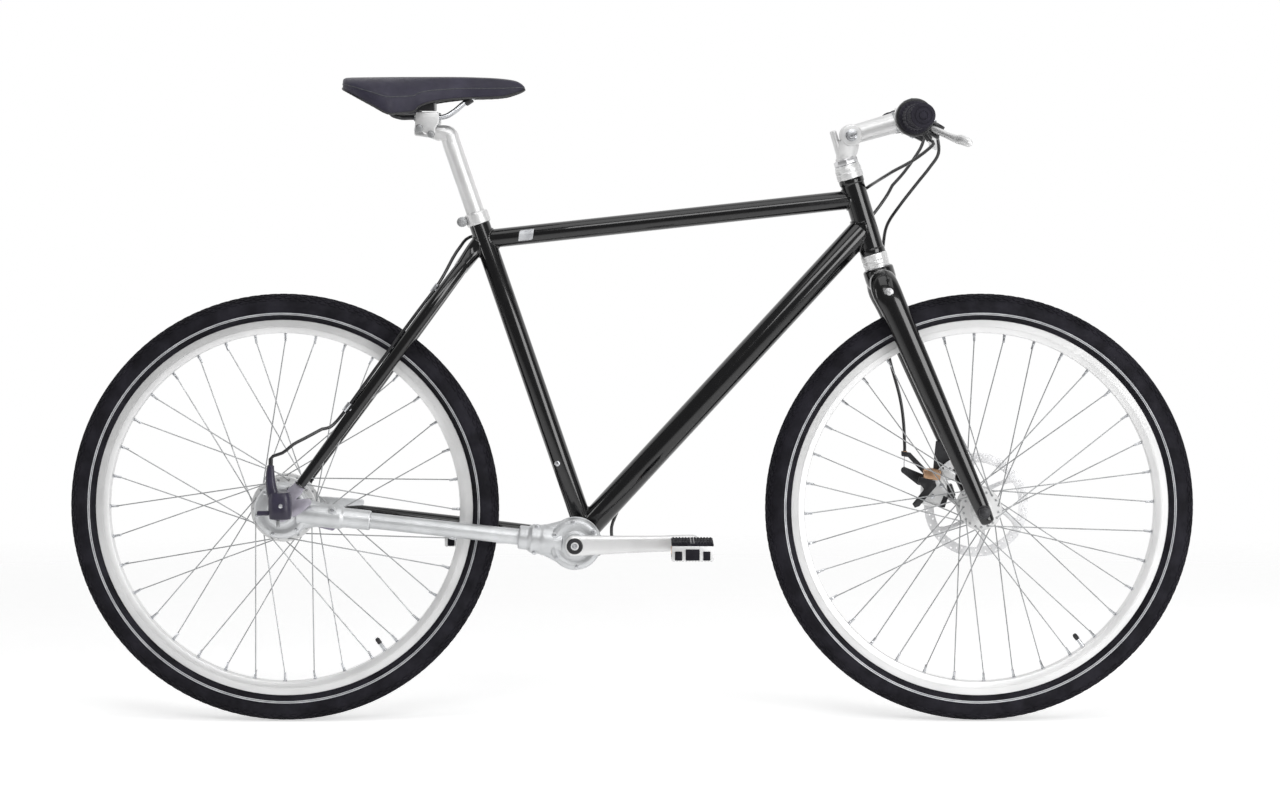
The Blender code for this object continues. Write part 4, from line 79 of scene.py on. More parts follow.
UP = Vector((0, 0, 1))
LEFT = Vector((0, 1, 0))
FRONT_AXLE = joint_point("front_wheel_spin")
REAR_AXLE = joint_point("rear_wheel_spin")
BRACKET = joint_point("crank_spin")
CROWN_SEAT = joint_point("steering")
HEAD_UP = joint_axis("steering")
HEAD_LENGTH = 0.118
HEAD_BASE = CROWN_SEAT + HEAD_UP * 0.022
HEAD_TOP = HEAD_BASE + HEAD_UP * HEAD_LENGTH
STEM_PIVOT = joint_point("stem_angle")
BAR = joint_point("gear_twist")
STEM_OUT = (BAR - STEM_PIVOT).normalized()
SEAT_UP = joint_axis("seat_height")
SEAT_BASE = BRACKET + Vector((0.019, 0, 0))
SEAT_TUBE_LENGTH = 0.5105
SEAT_TOP = SEAT_BASE + SEAT_UP * SEAT_TUBE_LENGTH
POST_TOP = SEAT_TOP + SEAT_UP * 0.1365
TILT_PIVOT = joint_point("saddle_tilt")
DRIVE_LINE = (REAR_AXLE - BRACKET).normalized()
SHAFT_Y = joint_point("drive_shaft_spin").y
LEVER_UP = joint_axis("left_brake_lever")
LEVER_AHEAD = Vector((LEVER_UP.z, 0, -LEVER_UP.x))
TOP_TUBE_REAR = SEAT_BASE + SEAT_UP * 0.483
TOP_TUBE_FRONT = HEAD_TOP - HEAD_UP * 0.0316
DOWN_TUBE_FRONT = HEAD_BASE + HEAD_UP * 0.0427
STAY_TOP = SEAT_BASE + SEAT_UP * 0.487
STAY_DOWN = (REAR_AXLE - STAY_TOP).normalized()
STAY_FOOT = REAR_AXLE - STAY_DOWN * 0.050
SHIFT_EXIT = math.radians(-55)
SHIFT_EXIT_WAY = Vector((math.cos(SHIFT_EXIT), 0, math.sin(SHIFT_EXIT)))
BLADE_LEAN = math.radians(23.7)
BLADE_DOWN = Vector((math.sin(BLADE_LEAN), 0, -math.cos(BLADE_LEAN)))

# Sizes and places that several pieces share; +Y is left, angles are in degrees
AXLE_RADIUS = 0.0049
BRACKET_RADIUS = 0.0205
CRANK_Y = 0.083
DROPOUT_Y = 0.0665
SHIFTER_Y = -0.1512
LEVER_Y = {"right": -0.1172, "left": 0.146}
LEVER_MOUTH = Vector((0.044, -0.0263, 0))
TOP_CABLE_Y = 0.0191
STAY_CABLE_LIFT = -0.0125
FLANGES = {"front": [(-0.029, 0.027), (0.029, 0.027)], "rear": [(-0.0215, 0.045), (0.029, 0.045)]}
FIRST_SPOKE = {"front": -8, "rear": -100.5}
WHEEL_STEPS = 144


# Shapes: each returns a new closed bmesh, in its own local frame
def aim(start, direction, side=LEFT):
    """The place whose local +Z runs along direction from start, square to side."""
    along = direction.normalized()
    if abs(along.dot(side.normalized())) > 0.999:
        side = UP
    across = side.cross(along).normalized()
    third = along.cross(across)
    return Matrix.Translation(start) @ Matrix((across, third, along)).transposed().to_4x4()


def across_at(point):
    """The place whose local +Z is world +Y and whose local +X is world -X."""
    return aim(Vector((point.x, 0, point.z)), LEFT, UP)


def sideways(point, y):
    return Vector((point.x, y, point.z))


def cleaned(bm):
    bmesh.ops.remove_doubles(bm, verts=bm.verts, dist=1e-7)
    bmesh.ops.recalc_face_normals(bm, faces=bm.faces)
    return bm


def placed(bm, place):
    bmesh.ops.transform(bm, matrix=place, verts=bm.verts)
    return bm


def moved(bm, spot):
    return placed(bm, Matrix.Translation(spot))


def half_turned(bm):
    """The shape turned to point the other way along local Z."""
    bmesh.ops.rotate(bm, verts=bm.verts, matrix=Matrix.Rotation(math.pi, 3, "X"))
    return bm


def polar(radius, turn, height=0.0):
    """The point at a radius and an angle round local Z."""
    return Vector((radius * math.cos(turn), radius * math.sin(turn), height))


def from_right(outline):
    """An outline in world X and Z, as across_at needs it."""
    return [(-x, z) for x, z in outline]


def edge_loop(made):
    """The edges of a circle that has just been made."""
    return list({edge for vert in made["verts"] for edge in vert.link_edges})


def inked(bm, index):
    """Gives every face of the shape one of its object's material slots."""
    for face in bm.faces:
        face.material_index = index
    return bm


def gathered(shapes):
    """One bmesh that holds all the shapes, side by side."""
    whole = bmesh.new()
    for shape in shapes:
        held = bpy.data.meshes.new("held")
        shape.to_mesh(held)
        shape.free()
        whole.from_mesh(held)
        bpy.data.meshes.remove(held)
    return whole


def turned(profile, steps=64):
    """A profile of (radius, height) points turned a full turn round local Z."""
    bm = bmesh.new()
    verts = [bm.verts.new((radius, 0, height)) for radius, height in profile]
    edges = []
    for first, second in zip(verts, verts[1:] + verts[:1]):
        if first.co.x > 0 or second.co.x > 0:
            edges.append(bm.edges.new((first, second)))
    bmesh.ops.spin(bm, geom=verts + edges, cent=(0, 0, 0), axis=(0, 0, 1), angle=2 * math.pi,
                   steps=steps, use_merge=True)
    return cleaned(bm)


def eased(profile, reach=0.0006):
    """Rounds each inner corner of an open profile with three points."""
    soft = [profile[0]]
    for before, here, after in zip(profile, profile[1:], profile[2:]):
        corner = Vector(here)
        back = Vector(before) - corner
        on = Vector(after) - corner
        near = min(reach, back.length * 0.45, on.length * 0.45)
        if near < 1e-5:
            soft.append(here)
            continue
        first = corner + back.normalized() * near
        last = corner + on.normalized() * near
        middle = (first + last) / 4 + corner / 2
        soft += [tuple(first), tuple(middle), tuple(last)]
    soft.append(profile[-1])
    return soft


def lathe(profile, edge=0.0006, steps=64):
    """An open profile turned round local Z, with all of its corners eased."""
    return turned(eased(profile, edge), steps)


def hollow(profile, edge=0.0006, steps=64):
    """A closed profile turned round local Z; only its first corner stays sharp."""
    return turned(eased(profile + profile[:1], edge)[:-1], steps)


def sleeve(inner, outer, low, high, edge=0.0006, steps=64):
    """A plain ring along local Z, from one radius to the other."""
    return lathe([(inner, low), (outer, low), (outer, high), (inner, high)], edge, steps)


def rod(radius, low, high, steps=32, edge=0.0005):
    """A round bar along local Z with eased ends."""
    return sleeve(0, radius, low, high, edge, steps)


def ring(radius, section, height=0.0, steps=64, around=12):
    """A torus round local Z."""
    profile = []
    for i in range(around):
        angle = 2 * math.pi * i / around
        profile.append((radius + section * math.cos(angle), height + section * math.sin(angle)))
    return turned(profile, steps)


def bevelled(bm, width, segments=2, sharp=25):
    """Eases the edges that turn more than sharp degrees."""
    limit = math.radians(sharp)
    edges = [e for e in bm.edges if len(e.link_faces) == 2 and e.calc_face_angle(0) > limit]
    bmesh.ops.bevel(bm, geom=edges, offset=width, offset_type="OFFSET", segments=segments, profile=0.5,
                    affect="EDGES", clamp_overlap=True, material=-1)
    return cleaned(bm)


def block(size, centre=(0, 0, 0), edge=0.0006, segments=2):
    bm = bmesh.new()
    bmesh.ops.create_cube(bm, size=1)
    bmesh.ops.scale(bm, vec=size, verts=bm.verts)
    bmesh.ops.translate(bm, vec=centre, verts=bm.verts)
    return bevelled(bm, edge, segments) if edge else bm


def plate(outline, low, high, edge=0.0006, segments=2):
    """A flat outline of (x, y) points pulled up local Z, with its rims eased."""
    bm = bmesh.new()
    face = bm.faces.new([bm.verts.new((x, y, low)) for x, y in outline])
    pulled = bmesh.ops.extrude_face_region(bm, geom=[face])["geom"]
    lifted = [item for item in pulled if isinstance(item, bmesh.types.BMVert)]
    bmesh.ops.translate(bm, vec=(0, 0, high - low), verts=lifted)
    cleaned(bm)
    return bevelled(bm, edge, segments, 40) if edge else bm


def skinned(places, halves, steps=24, square=1.0):
    """Ovals at the given places, bridged one to the next and closed at both ends."""
    bm = bmesh.new()
    loops = []
    for place, (half_x, half_y) in zip(places, halves):
        made = bmesh.ops.create_circle(bm, cap_ends=False, radius=1, segments=steps)
        for vert in made["verts"]:
            x, y = vert.co.x, vert.co.y
            if square != 1.0:
                x = math.copysign(abs(x) ** square, x)
                y = math.copysign(abs(y) ** square, y)
            vert.co = place @ Vector((x * half_x, y * half_y, 0))
        loops.append(edge_loop(made))
    for low, high in zip(loops, loops[1:]):
        bmesh.ops.bridge_loops(bm, edges=low + high)
    for end in (loops[0], loops[-1]):
        bmesh.ops.holes_fill(bm, edges=end, sides=0)
    return cleaned(bm)


def along_route(points, halves, steps=24, side=LEFT, square=1.0):
    """An oval section carried along points; halves holds one (half_x, half_y) for each."""
    places = []
    for i, point in enumerate(points):
        before = points[max(i - 1, 0)]
        after = points[min(i + 1, len(points) - 1)]
        places.append(aim(point, after - before, side))
    return skinned(places, halves, steps, square)


def smooth_route(points, count):
    """Count points, evenly apart, on a smooth curve through the given ones."""
    points = [Vector(point) for point in points]
    fine = []
    ends = [2 * points[0] - points[1]] + points + [2 * points[-1] - points[-2]]
    for a, b, c, d in zip(ends, ends[1:], ends[2:], ends[3:]):
        for i in range(30):
            t = i / 30
            fine.append(0.5 * (2 * b + (c - a) * t + (2 * a - 5 * b + 4 * c - d) * t * t
                               + (3 * b - a - 3 * c + d) * t ** 3))
    fine.append(points[-1])
    far = [0.0]
    for first, second in zip(fine, fine[1:]):
        far.append(far[-1] + (second - first).length)
    route = []
    at = 0
    for i in range(count):
        goal = far[-1] * i / (count - 1)
        while at < len(fine) - 2 and far[at + 1] < goal:
            at += 1
        share = (goal - far[at]) / (far[at + 1] - far[at])
        route.append(fine[at].lerp(fine[at + 1], min(share, 1)))
    return route


def tube(points, radius, steps=16, side=LEFT):
    return along_route(points, [(radius, radius)] * len(points), steps, side)


def hex_nut(across_flats, low, high, dome=0.0):
    """A six sided nut or bolt head along local Z, chamfered, with a domed cap if asked."""
    bm = bmesh.new()
    height = high - low
    bmesh.ops.create_cone(bm, cap_ends=True, segments=6, radius1=across_flats / math.sqrt(3),
                          radius2=across_flats / math.sqrt(3), depth=height)
    bmesh.ops.translate(bm, vec=(0, 0, low + height / 2), verts=bm.verts)
    bevelled(bm, across_flats * 0.06, 2, 40)
    shapes = [bm]
    if dome:
        profile = [(0, high - 0.0005), (across_flats * 0.46, high - 0.0005)]
        for i in range(1, 6):
            angle = math.pi / 2 * i / 5
            profile.append((across_flats * 0.46 * math.cos(angle), high + dome * math.sin(angle)))
        profile[-1] = (0, high + dome)
        shapes.append(turned(profile, 24))
    return gathered(shapes)


def socket_bolt(radius, low, high):
    """A cap head along local Z with a hexagon socket sunk in its top."""
    depth = (high - low) * 0.55
    rim = [(radius * 0.50, high + 0.00002), (radius * 0.56, high + 0.00012),
           (radius * 0.60, high + 0.00002), (radius * 0.56, high - depth)]
    return gathered([rod(radius, low, high, 24, radius * 0.15), turned(rim, 6)])


def put(name, shapes, materials, body, hides=(), angle=32):
    """Makes the object of a finished piece, rides it on its body and hides the parts it stands for."""
    bm = gathered(shapes) if isinstance(shapes, (list, tuple)) else shapes
    mesh = bpy.data.meshes.new(name)
    bm.to_mesh(mesh)
    bm.free()
    mesh.shade_smooth()
    mesh.set_sharp_from_angle(angle=math.radians(angle))
    for material in materials if isinstance(materials, (list, tuple)) else [materials]:
        mesh.materials.append(material)
    obj = bpy.data.objects.new(name, mesh)
    bpy.context.scene.collection.objects.link(obj)
    if body:
        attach(obj, body)
    if hides:
        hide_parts(*hides)
    return obj


def carved(obj, cutter, beside=None):
    """Cuts the room of a shape out of a finished piece and keeps its materials.

    Parts of the piece that the cutter doesn't touch come in `beside` and are added after the
    cut, because a cut can now and then lose a loose part.
    """
    mesh = bpy.data.meshes.new("room")
    cutter.to_mesh(mesh)
    cutter.free()
    room = bpy.data.objects.new("room", mesh)
    bpy.context.scene.collection.objects.link(room)
    cut = obj.modifiers.new("room", "BOOLEAN")
    cut.operation = "DIFFERENCE"
    cut.solver = "EXACT"
    cut.object = room
    depsgraph = bpy.context.evaluated_depsgraph_get()
    result = bpy.data.meshes.new_from_object(obj.evaluated_get(depsgraph))
    obj.modifiers.remove(cut)
    old = obj.data
    obj.data = result
    bpy.data.meshes.remove(old)
    bpy.data.objects.remove(room)
    if beside:
        beside.to_mesh(mesh)
        beside.free()
        mesh.shade_smooth()
        whole = bmesh.new()
        whole.from_mesh(result)
        whole.from_mesh(mesh)
        whole.to_mesh(result)
        whole.free()
    bpy.data.meshes.remove(mesh)
    result.set_sharp_from_angle(angle=math.radians(32))


# Finishes: every pattern is worked out on Object coordinates
WHITE = (1, 1, 1, 1)
FINISHES = {}


def finish(name):
    return FINISHES[name]


def shade(colour, factor):
    return tuple(min(1.0, part * factor) for part in colour[:3])


class Graph:
    """A node tree that is built up one node at a time."""

    def __init__(self, tree):
        self.nodes, self.links = tree.nodes, tree.links

    def fill(self, socket, value):
        """Links the socket to another node's output, or gives it a plain value."""
        if isinstance(value, bpy.types.NodeSocket):
            self.links.new(value, socket)
        else:
            socket.default_value = value

    def node(self, kind, inputs, output=0, **settings):
        """One output of a new node, whose inputs are filled by name or number."""
        made = self.nodes.new("ShaderNode" + kind)
        for name, value in settings.items():
            setattr(made, name, value)
        for name, value in inputs.items():
            self.fill(made.inputs[name], value)
        return made.outputs[output]

    def either(self, first, second, operation="MAXIMUM"):
        """The larger of two values, or their product."""
        return self.node("Math", {0: first, 1: second}, operation=operation)

    def ranged(self, value, low, high, from_low=0.3, from_high=0.7):
        return self.node("MapRange", {"Value": value, "From Min": from_low, "From Max": from_high,
                                      "To Min": low, "To Max": high})

    def seen(self, mirrors=1.0):
        """1 for camera rays, and mirrors for the rays in which metal and glass show a background."""
        rays = self.nodes.new("ShaderNodeLightPath").outputs
        mirrored = self.either(rays["Is Glossy Ray"], rays["Is Transmission Ray"])
        return self.either(rays["Is Camera Ray"], self.either(mirrored, mirrors, "MULTIPLY"))


class Finish(Graph):
    """A Principled material that is built up one layer at a time.

    A grain is noise, as (scale, detail) and perhaps a stretch, or the scale of small cells alone.
    """

    def __init__(self, name, colour, roughness, metallic=0.0):
        FINISHES[name] = bpy.data.materials.new(name)
        FINISHES[name].use_nodes = True
        super().__init__(FINISHES[name].node_tree)
        self.shader = self.nodes["Principled BSDF"].inputs
        self.place = self.nodes.new("ShaderNodeTexCoord").outputs["Object"]
        self.height = None
        self.given({"Base Color": (*colour, 1), "Roughness": roughness, "Metallic": metallic})

    def given(self, inputs):
        for name, value in inputs.items():
            self.fill(self.shader[name], value)
        return self

    def stretched(self, scale):
        return self.node("Mapping", {"Vector": self.place, "Scale": scale})

    def pattern(self, grain):
        if not isinstance(grain, tuple):
            return self.node("TexVoronoi", {"Scale": grain, "Vector": self.place})
        scale, detail, *stretch = grain
        source = self.stretched(*stretch) if stretch else self.place
        return self.node("TexNoise", {"Scale": scale, "Detail": detail, "Vector": source})

    def tint(self, grain, dark, pale, low=0.35, high=0.65):
        """Colour that wanders between two shades with the grain."""
        ramp = self.nodes.new("ShaderNodeValToRGB")
        for stop, position, colour in zip(ramp.color_ramp.elements, (low, high), (dark, pale)):
            stop.position = position
            stop.color = (*colour, 1)
        self.fill(ramp.inputs["Fac"], self.pattern(grain))
        return self.given({"Base Color": ramp.outputs["Color"]})

    def rough(self, grain, low, high):
        return self.given({"Roughness": self.ranged(self.pattern(grain), low, high)})

    def bump(self, grain, strength, distance):
        inputs = {"Strength": strength, "Distance": distance, "Height": self.pattern(grain)}
        if self.height:
            inputs["Normal"] = self.height
        self.height = self.node("Bump", inputs)
        return self.given({"Normal": self.height})

    def gloss(self, level):
        return self.given({"Specular IOR Level": level})

    def coat(self, weight, roughness):
        return self.given({"Coat Weight": weight, "Coat Roughness": roughness})

    def sheen(self, weight, roughness):
        return self.given({"Sheen Weight": weight, "Sheen Roughness": roughness})

    def seen_glow(self, strength):
        """Adds a little white to what the camera and reflections see, without lighting anything."""
        return self.given({"Emission Strength": self.ranged(self.seen(), 0, strength, 0, 1),
                           "Emission Color": WHITE})

    def faded(self, near, far):
        """Clear beyond a distance from the middle, so that the floor melts into the background."""
        away = self.node("VectorMath", {0: self.stretched((0.6, 1, 1))}, "Value", operation="LENGTH")
        return self.given({"Alpha": self.ranged(away, 1, 0, near, far)})


def layered(name, colour, roughness, metallic, tint, rough, *bumps):
    """A finish whose colour and roughness wander a little, under fine bumps."""
    made = Finish(name, colour, roughness, metallic).tint(*tint)
    if rough:
        made.rough(*rough)
    for bump in bumps:
        made.bump(*bump)
    return made


def make_finishes(colours):
    """Every finish of the bike, from the colours in its settings."""
    paint, silver, bright = colours.paint, colours.silver, colours.bright
    pale, rubber, saddle = colours.pale, colours.rubber, colours.saddle
    # name, colour, roughness, metallic; tint: grain, dark, pale; roughness: grain, low, high;
    # bumps: grain, strength, depth
    layered("gloss_paint", paint, 0.20, 0, ((9, 2), shade(paint, 0.8), shade(paint, 1.3)),
            ((60, 4), 0.16, 0.26), ((420, 2), 0.035, 0.0004)).gloss(0.25).coat(0.75, 0.04)
    layered("satin_cast_alloy", silver, 0.36, 0.85, ((26, 5), shade(silver, 0.90), shade(silver, 1.06)),
            ((140, 5), 0.43, 0.53), ((900, 3), 0.10, 0.0003), ((38, 3), 0.10, 0.0006))
    layered("polished_alloy", bright, 0.20, 0.95, ((18, 3), shade(bright, 0.94), shade(bright, 1.04)),
            ((90, 4, (1, 7, 1)), 0.29, 0.37), ((260, 3, (1, 9, 1)), 0.03, 0.0002))
    layered("pale_satin_alloy", pale, 0.34, 0.55, ((20, 4), shade(pale, 0.95), shade(pale, 1.03)),
            ((120, 4), 0.38, 0.45), ((600, 3), 0.03, 0.0002))
    layered("brushed_rim", shade(pale, 1.06), 0.40, 0.62,
            ((16, 4), shade(pale, 1.00), shade(pale, 1.10)),
            ((90, 4, (1, 1, 6)), 0.36, 0.46), ((500, 3), 0.03, 0.0002))
    layered("bright_steel", (0.56, 0.57, 0.59), 0.28, 1,
            ((60, 4), (0.50, 0.51, 0.53), (0.62, 0.63, 0.65)), ((200, 4), 0.20, 0.38),
            ((700, 3), 0.06, 0.0002))
    layered("grey_cast_alloy", shade(silver, 0.62), 0.44, 0.8,
            ((40, 4), shade(silver, 0.54), shade(silver, 0.70)),
            ((160, 4), 0.38, 0.52), ((800, 3), 0.08, 0.0002))
    layered("ground_rotor", (0.74, 0.74, 0.75), 0.46, 0.5,
            ((30, 4), (0.69, 0.69, 0.70), (0.79, 0.79, 0.80)),
            ((300, 5), 0.40, 0.54), ((1500, 2), 0.08, 0.0002))
    layered("copper_cast", (0.50, 0.31, 0.19), 0.40, 0.8,
            ((80, 4), (0.44, 0.26, 0.15), (0.56, 0.36, 0.23)), ((220, 3), 0.28, 0.44),
            ((800, 3), 0.08, 0.0002))
    layered("dark_coated_steel", (0.035, 0.035, 0.038), 0.42, 0.5,
            ((70, 4), (0.026, 0.026, 0.028), (0.048, 0.048, 0.052)),
            ((240, 3), 0.34, 0.52), ((900, 3), 0.10, 0.0002))
    layered("plated_arm", (0.30, 0.28, 0.34), 0.34, 0.9,
            ((60, 4), (0.24, 0.22, 0.29), (0.36, 0.34, 0.40)), ((260, 3), 0.26, 0.42),
            ((900, 3), 0.06, 0.0002))
    layered("lilac_grey_alloy", (0.42, 0.40, 0.46), 0.44, 0.8,
            ((50, 4), (0.36, 0.34, 0.40), (0.48, 0.46, 0.52)),
            ((180, 4), 0.38, 0.52), ((800, 3), 0.08, 0.0002))
    layered("tyre_rubber", rubber, 0.72, 0, ((34, 5), shade(rubber, 0.45), shade(rubber, 1.0)),
            ((160, 5), 0.56, 0.80), ((700, 4), 0.22, 0.0006)).gloss(0.10)
    layered("reflective_stripe", (0.52, 0.53, 0.55), 0.40, 0.15,
            ((60, 4), (0.44, 0.45, 0.47), (0.60, 0.61, 0.63)), None, (1400, 0.15, 0.0002))
    layered("grip_rubber", (0.020, 0.019, 0.026), 0.66, 0,
            ((40, 4), (0.015, 0.014, 0.020), (0.027, 0.025, 0.036)),
            ((180, 4), 0.56, 0.76), ((1100, 3), 0.16, 0.0004)).gloss(0.16)
    layered("moulded_plastic", (0.016, 0.016, 0.018), 0.42, 0,
            ((30, 3), (0.012, 0.012, 0.014), (0.022, 0.022, 0.024)),
            ((160, 3), 0.34, 0.50), (1500, 0.08, 0.0002)).gloss(0.3).coat(0.3, 0.16)
    layered("violet_plastic", (0.030, 0.026, 0.048), 0.40, 0,
            ((30, 3), (0.022, 0.019, 0.036), (0.040, 0.035, 0.062)),
            ((160, 3), 0.34, 0.48), (1500, 0.08, 0.0002)).gloss(0.3).coat(0.3, 0.16)
    layered("shift_window", (0.55, 0.57, 0.60), 0.12, 0,
            ((50, 3), (0.50, 0.52, 0.56), (0.62, 0.64, 0.67)), None).coat(1.0, 0.02)
    layered("saddle_cover", saddle, 0.50, 0, ((24, 5), shade(saddle, 0.82), shade(saddle, 1.25)),
            ((120, 4), 0.42, 0.60), (1150, 0.28, 0.0005),
            ((60, 3), 0.10, 0.0010)).gloss(0.3).sheen(0.12, 0.4)
    layered("saddle_thread", (0.055, 0.058, 0.068), 0.62, 0,
            ((300, 3), (0.040, 0.042, 0.050), (0.075, 0.078, 0.090)), None,
            ((2600, 2, (1, 3, 3)), 0.3, 0.0002))
    layered("cable_casing", (0.012, 0.012, 0.013), 0.30, 0,
            ((40, 3), (0.009, 0.009, 0.010), (0.018, 0.018, 0.020)),
            ((200, 3), 0.24, 0.40), ((500, 2), 0.05, 0.0003)).coat(0.3, 0.1)
    layered("amber_reflector", (0.75, 0.24, 0.02), 0.10, 0,
            (700, (0.55, 0.14, 0.01), (0.88, 0.34, 0.04), 0.1, 0.6), None,
            (700, 0.5, 0.0006)).coat(1.0, 0.03)
    layered("pale_floor", (0.93, 0.93, 0.93), 0.9, 0,
            ((1.2, 3), (0.925, 0.925, 0.925), (0.935, 0.935, 0.935)),
            None).gloss(0.0).seen_glow(0.55).faded(0.9, 2.6)


# Settings that a user would change
def colour(name, description, default):
    return bpy.props.FloatVectorProperty(
        name=name, description=description, default=default, subtype="COLOR", size=3, min=0, max=1)


def length(name, description, default, low, high):
    return bpy.props.FloatProperty(name=name, description=description, default=default, min=low,
                                   max=high, unit="LENGTH", precision=4)


class BikeColours(bpy.types.PropertyGroup):
    paint: colour("Paint", "Colour of the frame and the fork", (0.002, 0.002, 0.0025))
    silver: colour("Castings", "Colour of the drive's cases, and darker of spokes and clamps",
                   (0.61, 0.62, 0.63))
    bright: colour("Bright alloy", "Colour of the handlebar, the lock nut and small bolts",
                   (0.66, 0.66, 0.67))
    pale: colour("Pale alloy", "Colour of rims, cups, stem, seatpost, cranks and levers",
                 (0.76, 0.76, 0.76))
    rubber: colour("Rubber", "Colour of the tyres and the pedals' treads", (0.020, 0.019, 0.025))
    saddle: colour("Saddle cover", "Colour of the saddle's cover", (0.027, 0.0245, 0.042))


class BikeWheels(bpy.types.PropertyGroup):
    tyre_radius: length("Tyre radius", "From the axle to the tread", FRONT_AXLE.z, 0.2, 0.4)
    tyre_width: length("Tyre width", "Across the widest part of the tyre", 0.047, 0.02, 0.07)
    tread_height: length("Tread height", "How far a tread block stands out of the tyre", 0.0012, 0.0003,
                         0.004)
    blocks_round: bpy.props.IntProperty(
        name="Blocks round", description="Tread blocks in one row round the tyre", default=132, min=24,
        max=240
    )
    rim_radius: length("Rim radius", "From the axle to the rim's outer edge", 0.2866, 0.15, 0.36)
    rim_depth: length("Rim depth", "From the rim's outer edge to its inner face", 0.0206, 0.008, 0.06)
    rim_width: length("Rim width", "Across the rim at its edge", 0.0254, 0.015, 0.05)
    spoke_count: bpy.props.IntProperty(
        name="Spokes", description="Spokes in each wheel", default=36, min=16, max=48, step=2
    )
    spoke_radius: length("Spoke radius", "Radius of one spoke", 0.001, 0.0006, 0.002)


class BikeTubes(bpy.types.PropertyGroup):
    head_radius: length("Head tube", "Radius of the head tube", 0.018, 0.014, 0.03)
    top_radius: length("Top tube", "Radius of the top tube", 0.0143, 0.01, 0.03)
    down_radius: length("Down tube", "Radius of the down tube", 0.0195, 0.01, 0.03)
    seat_radius: length("Seat tube", "Radius of the seat tube", 0.0158, 0.012, 0.03)
    stay_radius: length("Stays", "Radius of the seat stays", 0.0095, 0.006, 0.015)
    bead: length("Weld bead", "Radius of the weld bead round each joint", 0.0021, 0.001, 0.004)


class BikeView(bpy.types.PropertyGroup):
    distance: length("Camera distance", "From the camera to the bike's middle plane", 4.85, 1, 20)
    height: length("Camera height", "Height of the camera over the ground", 0.819, 0, 4)
    lens: bpy.props.FloatProperty(
        name="Lens", description="Focal length of the camera", default=90, min=20, max=300
    )
    light: bpy.props.FloatProperty(
        name="Room light", description="Strength of the even light of the studio", default=0.22, min=0,
        max=2
    )
    lamp: bpy.props.FloatProperty(
        name="Lamp power", description="Power of all the soft lamps together, in watts", default=132,
        min=0, max=2000
    )


# Wheels
class WHEELS_OT_tyres(bpy.types.Operator):
    """Two tyres with rows of small tread blocks and a reflective stripe on each wall"""

    bl_idname = "bike.tyres"
    bl_label = "Tyres"

    def wall_point(self, sizes, angle, rise=0.0):
        """A point of the tyre's section: its radius from the axle and its place across."""
        carcass = sizes.tyre_radius - sizes.tread_height - 0.0003
        half_width = sizes.tyre_width / 2 - 0.0006
        middle = sizes.tyre_radius - sizes.tyre_width / 2
        return (middle + (carcass - middle + rise) * math.cos(angle),
                (half_width + rise) * math.sin(angle))

    def carcass(self, sizes):
        bead = sizes.rim_radius + 0.0016
        # a low ridge and two shallow grooves on each wall, by degrees from the tread's middle
        rises = {108: 0.0004, 84: -0.0003, 100: -0.0003}
        turns = range(-116, 117, 4)
        angles = [math.radians(turn) for turn in turns]
        outer = [self.wall_point(sizes, angle, rises.get(abs(turn), 0.0))
                 for turn, angle in zip(turns, angles)]
        inner = [self.wall_point(sizes, angle, -0.0030) for angle in reversed(angles[1:-1])]
        foot = sizes.rim_radius - 0.0066
        right = [(foot, -0.0078), (foot, -0.0100), (bead, -0.0102)]
        left = [(bead, 0.0102), (foot, 0.0100), (foot, 0.0078)]
        return turned(right + outer + left + inner, WHEEL_STEPS)

    def tread(self, sizes):
        bm = bmesh.new()
        count = sizes.blocks_round
        rows = (-50, -39, -27, -14, 0, 14, 27, 39, 50)
        for k, row in enumerate(rows):
            reach = 0.36 if row else 0.42
            for i in range(count):
                middle = 2 * math.pi * (i + 0.5 * (k % 2)) / count
                lean = math.copysign(0.10, row) * (2 * math.pi / count) if row else 0
                corners = []
                for rise, share in ((-0.0008, 1.0), (sizes.tread_height, 0.76)):
                    for around, across in ((-1, -1), (1, -1), (1, 1), (-1, 1)):
                        turn = math.radians(row + across * 4.6 * share)
                        spin = middle + around * reach * share * 2 * math.pi / count
                        spin += across * lean
                        radius, side = self.wall_point(sizes, turn, rise)
                        corners.append(bm.verts.new(polar(radius, spin, side)))
                a, b, c, d, e, f, g, h = corners
                for loop in ((a, d, c, b), (e, f, g, h), (a, b, f, e), (b, c, g, f), (c, d, h, g),
                             (d, a, e, h)):
                    bm.faces.new(loop)
        return cleaned(bm)

    def stripe(self, sizes, hand):
        angles = [math.radians(hand * a) for a in (103, 106, 109, 112)]
        outer = [self.wall_point(sizes, angle, 0.00030) for angle in angles]
        inner = [self.wall_point(sizes, angle, -0.0006) for angle in reversed(angles)]
        return inked(turned(outer + inner, WHEEL_STEPS), 1)

    def execute(self, context):
        sizes = context.scene.bike_wheels
        for end, axle in (("front", FRONT_AXLE), ("rear", REAR_AXLE)):
            shapes = [self.carcass(sizes), self.tread(sizes)]
            shapes += [self.stripe(sizes, hand) for hand in (-1, 1)]
            tyre = placed(gathered(shapes), across_at(axle))
            put(end + "_tyre_with_tread", tyre, [finish("tyre_rubber"), finish("reflective_stripe")],
                end + "_wheel", [end + "_tyre"], 40)
        return {"FINISHED"}


